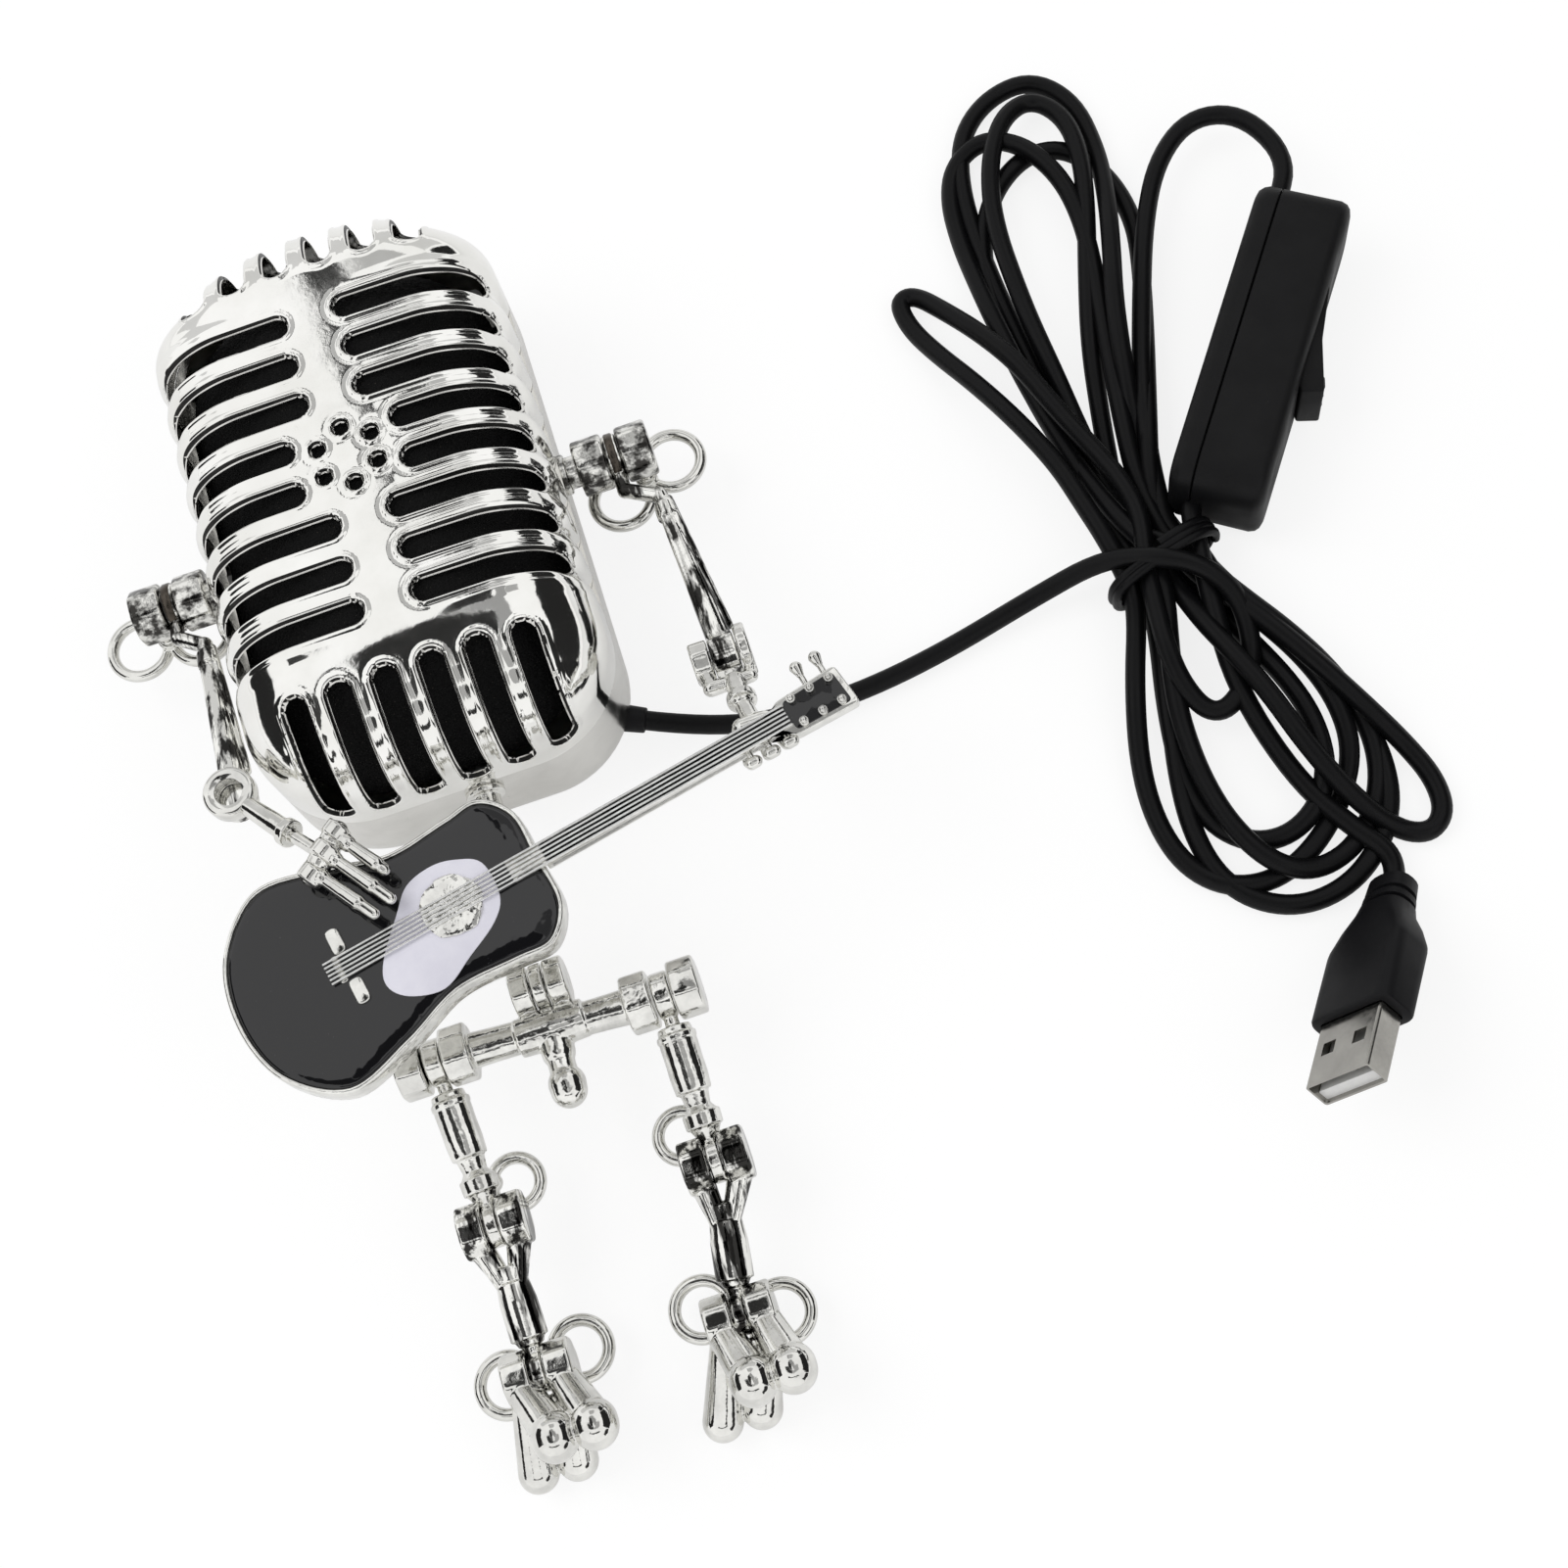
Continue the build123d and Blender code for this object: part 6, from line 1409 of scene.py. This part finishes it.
# ---------------------------------------------------------------- cord, switch and plug
@dataclass
class Cord:
    """The one flexible cord: a lead, a loose hank of loops held by a tie, the switch and the plug."""

    diameter: float = 3.3
    tie: tuple[float, float] = (117.2, -46.3)
    tie_across: tuple[float, float] = (0.958, 0.285)
    lead: tuple = ((28.84, -42.67, 5.5), (37.5, -46.6, 4.3), (49.5, -49.2, 2.4), (65.1, -49.0, 2.0),
                   (80.0, -46.9, 2.1), (96.0, -43.5, 3.2), (108.0, -43.2, 8.6))
    loops: tuple = (
        # short loop to the right of the tie, which starts over the strands
        ((115.6, -47.2, 12.0), (121.5, -50.6, 11.8), (125.8, -55.9, 9.4), (125.9, -63.2, 6.4),
         (123.5, -69.1, 5.2), (118.3, -73.4, 5.2), (114.7, -72.4, 5.4), (112.6, -67.2, 7.2),
         (112.2, -61.3, 9.0), (113.0, -54.5, 9.0)),
        # upper loop that reaches furthest left
        ((116.4, -38.7, 8.6), (115.9, -31.9, 8.6), (113.9, -24.5, 7.8), (110.4, -15.3, 8.4),
         (107.3, -4.3, 8.2), (103.4, 4.5, 6.6), (99.5, 12.6, 3.4), (95.9, 18.4, 1.8), (92.7, 18.0, 1.8),
         (93.1, 12.4, 1.8), (95.6, 5.4, 3.2), (99.9, -4.6, 6.0), (103.7, -14.7, 8.0), (107.1, -24.4, 8.2),
         (108.6, -33.0, 8.4), (109.9, -40.1, 8.4)),
        # lower outer left loop
        ((110.6, -52.6, 5.1), (105.9, -64.1, 4.4), (102.3, -76.2, 2.4), (101.4, -86.1, 1.8),
         (103.2, -94.5, 1.8), (108.2, -99.9, 1.8), (115.4, -101.3, 1.8), (123.0, -98.3, 1.8),
         (130.2, -92.0, 1.8), (134.4, -85.0, 3.2), (134.6, -77.2, 5.1), (132.6, -68.9, 5.1),
         (128.6, -60.2, 4.9), (123.6, -52.6, 5.1)),
        # upper inner loop
        ((118.2, -32.9, 5.1), (120.4, -18.3, 5.1), (123.2, -3.5, 5.1), (125.8, 9.8, 5.1),
         (127.2, 20.8, 5.1), (126.5, 30.0, 5.1), (122.8, 38.4, 4.6), (116.8, 43.0, 3.2), (110.6, 40.6, 1.8),
         (107.6, 34.1, 1.8), (106.6, 25.2, 1.8), (106.6, 15.3, 3.0), (106.9, 3.9, 4.6), (107.9, -8.5, 5.1),
         (109.8, -21.1, 5.1), (111.4, -34.1, 5.1)),
        # lower inner loop
        ((112.9, -56.4, 1.8), (109.8, -68.0, 1.8), (107.9, -79.2, 1.8), (109.0, -88.4, 1.8),
         (113.4, -93.9, 1.8), (119.6, -95.3, 1.8), (125.6, -92.8, 3.4), (129.2, -87.2, 5.0),
         (130.2, -79.6, 5.1), (128.8, -71.8, 5.1), (125.9, -63.0, 4.0), (122.6, -53.8, 2.2)),
        # upper loop inside it
        ((119.6, -34.1, 5.6), (124.9, -18.6, 5.0), (130.2, -3.0, 3.6), (134.2, 9.8, 2.4),
         (136.2, 19.1, 1.8), (134.9, 29.0, 1.8), (130.2, 36.6, 1.8), (123.6, 38.0, 1.8), (116.9, 34.2, 1.8),
         (111.9, 27.6, 1.8), (109.0, 19.6, 1.8), (107.9, 10.2, 1.8), (108.0, -1.1, 1.8),
         (109.2, -15.9, 3.2), (112.2, -34.7, 7.0)),
        # lower loop with the wide belly
        ((111.4, -66.2, 6.0), (110.4, -75.2, 4.6), (110.4, -84.2, 5.0), (112.0, -92.3, 5.1),
         (115.6, -99.3, 4.9), (121.2, -102.2, 3.2), (128.1, -100.6, 1.8), (133.9, -95.8, 1.8),
         (137.6, -88.8, 1.8), (138.3, -80.8, 2.4), (135.5, -72.9, 5.8), (131.2, -64.7, 7.8),
         (126.1, -56.3, 8.3)),
        # tall upper loop
        ((113.9, -36.6, 1.8), (115.8, -25.8, 1.8), (118.0, -14.4, 1.8), (120.5, -2.7, 3.2),
         (124.2, 8.9, 5.0), (128.2, 20.4, 5.1), (131.2, 31.1, 5.1), (131.7, 41.0, 4.4), (127.6, 47.6, 3.4),
         (121.6, 45.2, 4.6), (116.9, 38.3, 5.1), (114.1, 30.2, 5.1), (112.8, 22.5, 5.1), (112.4, 14.1, 5.1),
         (112.3, 4.2, 5.1), (112.8, -7.1, 5.1), (113.3, -19.4, 3.7), (115.0, -33.8, 1.8)),
        # lowest loop
        ((114.1, -57.4, 1.8), (110.1, -69.4, 1.8), (107.4, -80.0, 1.8), (106.2, -89.6, 1.8),
         (107.4, -97.8, 1.8), (111.6, -103.6, 1.8), (118.2, -106.6, 1.8), (125.9, -105.7, 1.8),
         (132.5, -101.4, 1.8), (136.8, -95.4, 1.8), (138.4, -88.7, 1.8), (138.2, -81.7, 1.8),
         (136.6, -73.1, 1.8), (132.9, -64.1, 1.8), (127.9, -55.4, 1.8)),
        # tallest upper loop
        ((120.3, -35.0, 1.8), (121.8, -21.8, 3.2), (123.6, -10.8, 6.8), (126.2, 1.2, 8.2),
         (129.5, 11.6, 7.6), (132.7, 22.6, 4.8), (135.0, 34.1, 1.8), (134.6, 45.3, 1.8), (129.1, 52.6, 1.8),
         (120.6, 51.6, 1.8), (113.9, 46.0, 1.8), (110.6, 37.0, 1.8), (109.4, 26.0, 1.8), (109.4, 13.5, 1.8),
         (110.1, 0.4, 1.8), (111.3, -14.2, 1.8), (113.6, -30.8, 2.8)),
        # long lower loop to the right
        ((119.1, -57.7, 7.6), (121.6, -65.0, 8.4), (124.4, -73.1, 8.6), (127.1, -84.9, 8.2),
         (131.2, -94.0, 5.2), (136.1, -99.9, 1.8), (140.6, -102.0, 1.8), (144.0, -99.3, 1.8),
         (144.5, -93.6, 1.8), (142.4, -87.0, 2.2), (138.8, -80.8, 5.1), (134.2, -72.9, 7.9),
         (129.3, -63.3, 8.4), (124.1, -54.6, 8.0)),
        # strand that goes round to the top of the switch
        ((120.4, -41.0, 5.0), (120.9, -34.2, 5.0), (122.7, -24.0, 5.0), (126.4, -11.5, 5.0),
         (131.4, 2.0, 5.0), (136.6, 14.9, 5.0), (142.9, 26.0, 5.2), (151.0, 31.8, 5.9), (159.3, 28.6, 7.0),
         (163.0, 16.5, 8.3)),
        # through the switch and back to the tie
        ((157.4, 7.6, 8.5), (140.0, -16.4, 8.5), (124.2, -39.0, 8.5)),
        # short strand to the plug
        ((121.8, -56.0, 8.0), (120.6, -70.5, 5.4), (124.0, -88.0, 4.6), (129.6, -97.8, 3.4),
         (133.2, -102.6, 3.2)),
    )
    # where the strand sits in the tie between one loop and the next: across the tie, and height
    passes: tuple = ((-3.3, 8.6), (-6.6, 7.2), (3.3, 5.1), (-3.3, 5.1), (3.3, 2.2), (0.0, 8.4), (3.3, 8.4),
                     (-3.3, 1.8), (6.6, 1.8), (0.0, 5.1), (6.6, 5.1), None, None, (6.6, 8.4))
    plug_entry: tuple[float, float, float] = PLUG_ENTRY
    plug_axis: tuple[float, float, float] = PLUG_AXIS

    def route(self) -> Array:
        """List the control points from the grommet to the plug."""
        across = vec(*self.tie_across)
        points = [vec(*p) for p in self.lead]
        for number, loop in enumerate(self.loops):
            if number and self.passes[number - 1 if number < len(self.loops) - 1 else -1] is not None:
                x, z = self.passes[number - 1 if number < len(self.loops) - 1 else -1]
                points.append(vec(*(vec(*self.tie) + across * x), z))
            points += [vec(*p) for p in loop]
        axis = unit(vec(*self.plug_axis))
        points.append(vec(*self.plug_entry) - axis * 2.2)
        points.append(vec(*self.plug_entry) + axis * 1.0)
        return np.array(points)

    def build(self, palette: Palette, on_cord: list[bpy.types.Object]) -> None:
        """Make the cord as one smooth spline with its tie.

        Args:
            palette: the finishes.
            on_cord: pieces that sit on the cord; not used.
        """
        points = self.route() * MM
        curve = bpy.data.curves.new("cord", "CURVE")
        curve.dimensions = "3D"
        curve.resolution_u = 6
        curve.bevel_depth = self.diameter / 2 * MM
        curve.bevel_resolution = 4
        curve.use_fill_caps = True
        spline = curve.splines.new("NURBS")
        spline.points.add(len(points) - 1)
        spline.points.foreach_set("co", np.column_stack([points, np.ones(len(points))]).ravel())
        spline.order_u = 3
        spline.use_endpoint_u = True
        cord = stand("cord", curve)
        curve.materials.append(palette.cord)
        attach(cord, "lamp_head")
        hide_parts("cord_lead", "cord_hank_upper", "cord_hank_lower", "cord_strands")
        tie = self.build_tie(palette)
        exit_point, way = vec(*self.lead[0]), unit(vec(*self.lead[1]) - vec(*self.lead[0]))
        Skin().bar(exit_point - way * 4.0, exit_point + way * 0.9, (2.3, 2.2, 2.1)).make(
            "cord_bush", "lamp_head", "case", palette.rubber, ["cord_grommet"])
        length = self.length(points)
        log.info("cord: %d points, %.3f m", len(points), length)

    @staticmethod
    def length(points: Array) -> float:
        """Length of the smooth line.

        A spline of order three is a chain of parabolas from the middle of each run to the
        middle of the next, with the corner between them as its control point.
        """
        middles = (points[1:] + points[:-1]) / 2
        start = np.concatenate([points[:1], middles[1:-1]])
        corner = points[1:-1]
        end = np.concatenate([middles[1:-1], points[-1:]])
        t = np.linspace(0, 1, 17)[None, :, None]
        curve = (1 - t) ** 2 * start[:, None] + 2 * t * (1 - t) * corner[:, None] + t ** 2 * end[:, None]
        return float(np.linalg.norm(np.diff(curve, axis=1), axis=-1).sum())

    def build_tie(self, palette: Palette) -> bpy.types.Object:
        """Make the tie: a thin wire wound twice round the bundle and twisted at one side."""
        across = vec(*self.tie_across, 0)
        along = vec(-self.tie_across[1], self.tie_across[0], 0)
        t = np.linspace(0, 2.25, 150)
        a = 2 * math.pi * t
        width, height = 9.6, 6.0
        local = np.stack([width * np.sign(np.cos(a)) * np.abs(np.cos(a)) ** 0.7, -1.3 + 1.15 * t,
                          5.6 + height * np.sign(np.sin(a)) * np.abs(np.sin(a)) ** 0.7], axis=1)
        local[:, 2] = np.maximum(local[:, 2], 0.9)
        path = vec(*self.tie, 0) + local[:, :1] * across + local[:, 1:2] * along + local[:, 2:] * vec(0, 0, 1)
        skin = Skin().carried(path, np.full(len(path), 0.8), 12, hint=along)
        return skin.make("cord_tie_wire", "lamp_head", "cord", palette.cord, ["cord_tie"])


@dataclass
class Switch:
    """In-line switch on its side: base, cover, seam and a raised rocker."""

    centre: tuple[float, float] = (144.5, -18.0)
    direction: tuple[float, float] = (-0.588, -0.809)
    length: float = 58.0
    width: float = 15.8
    depth: float = 17.0
    seam: float = 4.0

    def seat(self) -> Seat:
        """Seat on the table under the case: x to its foot, y to the rocker, z up."""
        u = vec(*self.direction, 0)
        return Seat(vec(*self.centre, 0.2), u, vec(-u[1], u[0], 0), vec(0, 0, 1))

    def build(self, palette: Palette) -> list[bpy.types.Object]:
        """Make the case and the rocker, and return the pieces on the cord."""
        s = self.seat()
        low, high = -self.width / 2, self.width / 2
        seam = low + self.seam
        pieces = []
        # the case is lofted along y, from the base's back to the cover's face
        side = Seat(s.origin + s.z * self.depth / 2, s.x, s.z, -s.y)
        outline = oval(self.length, self.depth, 6.0, 9)
        base = ((low, 2.0), (low + 0.3, 1.0), (low + 1.0, 0.35), (low + 1.9, 0.0), (seam - 0.25, 0.0),
                (seam - 0.1, 0.15), (seam - 0.05, 0.6))
        cover = ((seam + 0.05, 0.6), (seam + 0.1, 0.15), (seam + 0.25, 0.0), (high - 1.9, 0.0),
                 (high - 0.9, 0.35), (high - 0.3, 1.0), (high, 2.0))
        for name, stations, node in (("switch_base_skin", base, "switch_case_base"),
                                     ("switch_cover_skin", cover, "switch_case_cover")):
            rings = [np.column_stack([inset(outline, draw), np.full(len(outline), -y)])
                     for y, draw in stations]
            skin = Skin().lattice(side.at(np.stack(rings)))
            pieces.append(skin.make(name, "lamp_head", "case", palette.case, [node]))
        pivot = -3.0
        rocker = Skin()
        t = np.linspace(0, 1, 30)
        profile = softened(np.array([[pivot - 9.9, high - 2.4], [pivot - 9.9, high + 0.1],
                                     [pivot, high + 1.4], [pivot + 9.2, high + 4.08],
                                     [pivot + 10.3, high + 0.4], [pivot + 3.4, high - 3.1],
                                     [pivot, high - 5.9], [pivot - 3.4, high - 3.1]]), 0.5, 5)
        plan = Seat(s.origin, s.x, s.y, s.z)
        rocker.prism(plan, profile[::-1] if self.turns_left(profile) else profile, 3.3, 13.7, 0.35)
        for height in (5.6, 8.5, 11.4):
            ridge = np.stack([pivot + 6.6 + 2.2 * (t - 0.5), high + 3.35 + 0.63 * (t - 0.5),
                              np.full(30, height)], axis=1)
            rocker.carried(s.at(ridge), 0.35 * np.sqrt(np.clip(1 - (2 * t - 1) ** 6, 0.01, 1)), 8)
        rocker.make("rocker_skin", "rocker", "case", palette.case, ["switch_rocker"])
        pieces.append(bpy.data.objects["rocker_skin"])
        return pieces

    @staticmethod
    def turns_left(outline: Array) -> bool:
        """Tell whether an outline runs clockwise, from the sign of its area."""
        x, y = outline[:, 0], outline[:, 1]
        return float((x * np.roll(y, -1) - np.roll(x, -1) * y).sum()) < 0


@dataclass
class Plug:
    """Flat bright-shelled plug with a soft grip, a grooved relief and a white tongue."""

    entry: tuple[float, float, float] = PLUG_ENTRY
    axis: tuple[float, float, float] = PLUG_AXIS
    across: tuple[float, float, float] = (0.745, 0.03, 0.667)

    def build(self, palette: Palette) -> list[bpy.types.Object]:
        """Make the grip, dress the shell and the tongue, and return them."""
        z = unit(vec(*self.axis))
        s = seat_on(vec(*self.entry), z, vec(*self.across))
        grip = Skin()
        rings = []
        stations = ((0.0, 6.6, 5.2, 2.6), (0.3, 7.8, 6.0, 2.8), (2.9, 8.2, 6.2, 2.8), (3.0, 7.2, 5.4, 2.5),
                    (3.7, 7.2, 5.4, 2.5), (3.8, 8.4, 6.4, 2.8), (4.9, 8.5, 6.5, 2.8), (5.0, 7.4, 5.6, 2.5),
                    (5.7, 7.5, 5.7, 2.5), (5.8, 8.9, 6.7, 2.8), (7.6, 9.6, 7.0, 2.6),
                    (10.6, 12.6, 7.2, 2.0), (14.0, 15.2, 7.25, 1.6), (15.0, 15.4, 7.25, 1.5),
                    (27.2, 15.4, 7.25, 1.5), (27.6, 15.1, 6.95, 1.4), (27.8, 14.4, 6.3, 1.2),
                    (27.8, 12.3, 4.8, 0.5), (26.6, 12.1, 4.6, 0.4))
        for along, width, depth, corner in stations:
            rings.append(np.column_stack([oval(width, depth, corner * 1.4, 7), np.full(28, along)]))
        grip.lattice(s.at(np.stack(rings)))
        grip_piece = grip.make("plug_grip_skin", "lamp_head", "case", palette.rubber, ["plug_overmold"],
                               sharp=35)
        for node, finish in (("plug_shell", palette.nickel), ("plug_tongue", palette.white)):
            dress(node, finish)
        return [grip_piece, bpy.data.objects["plug_shell"], bpy.data.objects["plug_tongue"]]


def dress(node: str, finish: bpy.types.Material) -> None:
    """Give a node that stays its material."""
    piece = bpy.data.objects[node]
    piece.data.materials.clear()
    piece.data.materials.append(finish)


@dataclass
class Studio:
    """Pale floor, soft lamps, dark cards for the metal to mirror, and the camera."""

    eye: tuple[float, float, float] = (52.012, -194.677, 357.937)
    right: tuple[float, float, float] = (0.94738, -0.29540, -0.12331)
    down: tuple[float, float, float] = (-0.31990, -0.88738, -0.33199)
    ahead: tuple[float, float, float] = (-0.01135, 0.35397, -0.93519)
    lens: float = 53.97

    def build(self) -> None:
        """Set up the stage."""
        self.build_camera()
        self.build_floor()
        self.build_world()
        self.build_lamps()
        self.build_cards()
        bpy.context.scene.view_settings.view_transform = "Standard"

    def build_camera(self) -> None:
        """Place the camera."""
        data = bpy.data.cameras.new("camera")
        data.lens = self.lens
        data.sensor_width = 36.0
        data.clip_start = 0.01
        data.clip_end = 20.0
        camera = stand("camera", data)
        r, d, a, e = (np.array(v) for v in (self.right, self.down, self.ahead, self.eye))
        rows = [[r[i], -d[i], -a[i], e[i] * MM] for i in range(3)] + [[0, 0, 0, 1]]
        camera.matrix_world = Matrix(rows)
        bpy.context.scene.camera = camera

    @staticmethod
    def seen(tree: bpy.types.NodeTree, mirrored: float = 1.0) -> bpy.types.NodeSocket:
        """Share of the plain background colour.

        It is one where the background is looked at, and a set share where metal mirrors it or
        glass shows it.
        """
        path = tree.nodes.new("ShaderNodeLightPath")
        mirror = tree.nodes.new("ShaderNodeMath")
        mirror.operation = "MAXIMUM"
        tree.links.new(path.outputs["Is Glossy Ray"], mirror.inputs[0])
        tree.links.new(path.outputs["Is Transmission Ray"], mirror.inputs[1])
        dimmed = tree.nodes.new("ShaderNodeMath")
        dimmed.operation = "MULTIPLY"
        dimmed.inputs[1].default_value = mirrored
        tree.links.new(mirror.outputs[0], dimmed.inputs[0])
        both = tree.nodes.new("ShaderNodeMath")
        both.operation = "MAXIMUM"
        tree.links.new(path.outputs["Is Camera Ray"], both.inputs[0])
        tree.links.new(dimmed.outputs[0], both.inputs[1])
        return both.outputs[0]

    def build_floor(self) -> None:
        """Lay the pale floor, which keeps a share of its shadow where it is seen."""
        mesh = bpy.data.meshes.new("floor")
        r = 3.0
        mesh.from_pydata([(-r, -r, -0.0002), (r, -r, -0.0002), (r, r, -0.0002), (-r, r, -0.0002)], [],
                         [[0, 1, 2, 3]])
        floor = stand("floor", mesh)
        material = bpy.data.materials.new("floor_white")
        material.use_nodes = True
        tree = material.node_tree
        tree.nodes.clear()
        out = tree.nodes.new("ShaderNodeOutputMaterial")
        matte = tree.nodes.new("ShaderNodeBsdfDiffuse")
        matte.inputs[0].default_value = (0.92, 0.92, 0.92, 1)
        glow = tree.nodes.new("ShaderNodeEmission")
        glow.inputs[1].default_value = 1.06
        share = tree.nodes.new("ShaderNodeMath")
        share.operation = "MULTIPLY"
        share.inputs[1].default_value = 0.78
        tree.links.new(self.seen(tree, 0.35), share.inputs[0])
        blend = tree.nodes.new("ShaderNodeMixShader")
        tree.links.new(share.outputs[0], blend.inputs[0])
        tree.links.new(matte.outputs[0], blend.inputs[1])
        tree.links.new(glow.outputs[0], blend.inputs[2])
        tree.links.new(blend.outputs[0], out.inputs[0])
        mesh.materials.append(material)

    def build_world(self) -> None:
        """Fill the room with even light, and white where it is seen."""
        world = bpy.data.worlds.new("room")
        world.use_nodes = True
        tree = world.node_tree
        tree.nodes.clear()
        out = tree.nodes.new("ShaderNodeOutputWorld")
        dim = tree.nodes.new("ShaderNodeBackground")
        dim.inputs[0].default_value = (1, 1, 1, 1)
        dim.inputs[1].default_value = 0.62
        white = tree.nodes.new("ShaderNodeBackground")
        white.inputs[0].default_value = (1, 1, 1, 1)
        white.inputs[1].default_value = 1.0
        blend = tree.nodes.new("ShaderNodeMixShader")
        tree.links.new(self.seen(tree), blend.inputs[0])
        tree.links.new(dim.outputs[0], blend.inputs[1])
        tree.links.new(white.outputs[0], blend.inputs[2])
        tree.links.new(blend.outputs[0], out.inputs[0])
        bpy.context.scene.world = world

    def build_lamps(self) -> None:
        """Hang a soft lamp on each side."""
        for name, place, size, power in (("key", (-0.75, 0.25, 1.15), 0.9, 6.0),
                                         ("fill", (0.8, -0.7, 1.0), 0.7, 2.0)):
            data = bpy.data.lights.new(name, "AREA")
            data.size = size
            data.energy = power
            lamp = stand(name, data)
            lamp.visible_glossy = False
            z = unit(vec(*place) - vec(0.05, -0.05, 0))
            x = unit(np.cross(vec(0, 1, 0.1), z))
            y = np.cross(z, x)
            lamp.matrix_world = Matrix([[x[i], y[i], z[i], place[i]] for i in range(3)] + [[0, 0, 0, 1]])

    def build_cards(self) -> None:
        """Stand dark and grey cards round the table, for the metal alone to mirror.

        Each card is given by the turn and rise of its middle as seen from the table, its width
        and height in degrees, and its grey.
        """
        cards = (
            (-2.0, 23.0, 64.0, 36.0, 0.02),
            (42.0, 17.0, 22.0, 24.0, 0.02),
            (95.0, 20.0, 78.0, 26.0, 0.66),
            (174.0, 19.0, 48.0, 28.0, 0.02),
            (-100.0, 43.0, 64.0, 7.0, 0.03),
            (-52.0, 14.0, 30.0, 16.0, 0.03),
            (101.5, 57.0, 4.5, 22.0, 0.05),
            (80.0, 56.0, 36.0, 19.0, 0.50),
            (180.0, 82.0, 128.0, 14.0, 0.03),
            (26.0, 82.0, 176.0, 14.0, 0.34),
            (-142.0, 67.0, 76.0, 15.0, 0.05),
            (-54.0, 67.0, 96.0, 15.0, 0.42),
        )
        far = 0.75
        middle = vec(0.03, -0.05, 0.02)
        for number, (turn, rise, width, height, grey) in enumerate(cards):
            material = bpy.data.materials.new(f"card_grey_{number}")
            material.use_nodes = True
            tree = material.node_tree
            tree.nodes.clear()
            out = tree.nodes.new("ShaderNodeOutputMaterial")
            glow = tree.nodes.new("ShaderNodeEmission")
            glow.inputs[0].default_value = (grey, grey, grey, 1)
            tree.links.new(glow.outputs[0], out.inputs[0])
            u = np.radians(turn + width * np.linspace(-0.5, 0.5, 13))[:, None]
            v = np.radians(rise + height * np.linspace(-0.5, 0.5, 5))[None, :]
            ways = np.stack([np.cos(u) * np.cos(v), np.sin(u) * np.cos(v), np.sin(v) + 0 * u], axis=-1)
            points = ways * far + middle
            quads = sheet_quads(len(u), v.shape[1])
            mesh = bpy.data.meshes.new(f"card_{number}")
            mesh.from_pydata(points.reshape(-1, 3), [], quads.tolist())
            mesh.materials.append(material)
            card = stand(f"card_{number}", mesh)
            card.visible_camera = False
            card.visible_diffuse = False
            card.visible_shadow = False


def build_washers(palette: Palette) -> None:
    """Make the dull washers between the shoulder blocks, round the arms' eyelets."""
    for side in Side:
        seat = limb_seat(shoulder_at(side), 0, side.value)
        skin = Skin()
        ring = circle(1.0, 48)
        rings = [np.column_stack([np.full(48, x), ring * r]) for x, r in
                 ((-0.7, 3.2), (-0.7, 4.05), (-0.5, 4.2), (0.5, 4.2), (0.7, 4.05), (0.7, 3.2))]
        skin.lattice(seat.at(np.stack(rings)), wrap=True)
        skin.make(f"washer_{side.tag}", f"upper_arm_{side.tag}", "bronze", palette.bronze)


def dress_nodes(palette: Palette) -> None:
    """Give every node that stays its finish."""
    finishes = {
        "rear_shell": palette.shell, "led_board": palette.board, "led_chips": palette.chip,
        "led_bracket": palette.steel, "shell_screws": palette.steel, "stud_nuts": palette.steel,
        "guitar_stud": palette.cast, "elbow_pin_right": palette.steel,
        "waist_pin": palette.steel, "knee_pin_left": palette.steel, "knee_pin_right": palette.steel,
        "ankle_pin_left": palette.steel, "ankle_pin_right": palette.steel,
    }
    for node, finish in finishes.items():
        dress(node, finish)


def main() -> None:
    """Build the lamp and its stage in order."""
    logging.basicConfig(level=logging.INFO, format="%(message)s")
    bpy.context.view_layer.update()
    palette = Palette()
    Studio().build()
    switch = Switch().build(palette)
    plug = Plug().build(palette)
    Cord().build(palette, switch + plug)
    GrilleHead().build(palette)
    Shoulder(Side.LEFT, wing_turn=-5.0).build(palette)
    Shoulder(Side.RIGHT, wing_turn=22.0).build(palette)
    Arm(Side.LEFT, pitch=-16.0, crank=5.85).build(palette)
    Arm(Side.RIGHT, pitch=-9.7, crank=7.25).build(palette)
    LeftForearm().build(palette)
    RightForearm().build(palette)
    build_washers(palette)
    Pelvis().build(palette)
    Leg(Side.LEFT, HIP_LEFT, thigh_crank=1.5, shin_crank=0.3, toe_shift=3.6, heel_shift=-2.0,
        wing_turn=8.0).build(palette)
    Leg(Side.RIGHT, HIP_RIGHT, thigh_crank=0.0, shin_crank=-3.4, toe_shift=2.5, heel_shift=-4.5,
        wing_turn=-20.0).build(palette)
    Guitar().build(palette)
    dress_nodes(palette)


if __name__ == "__main__":
    main()
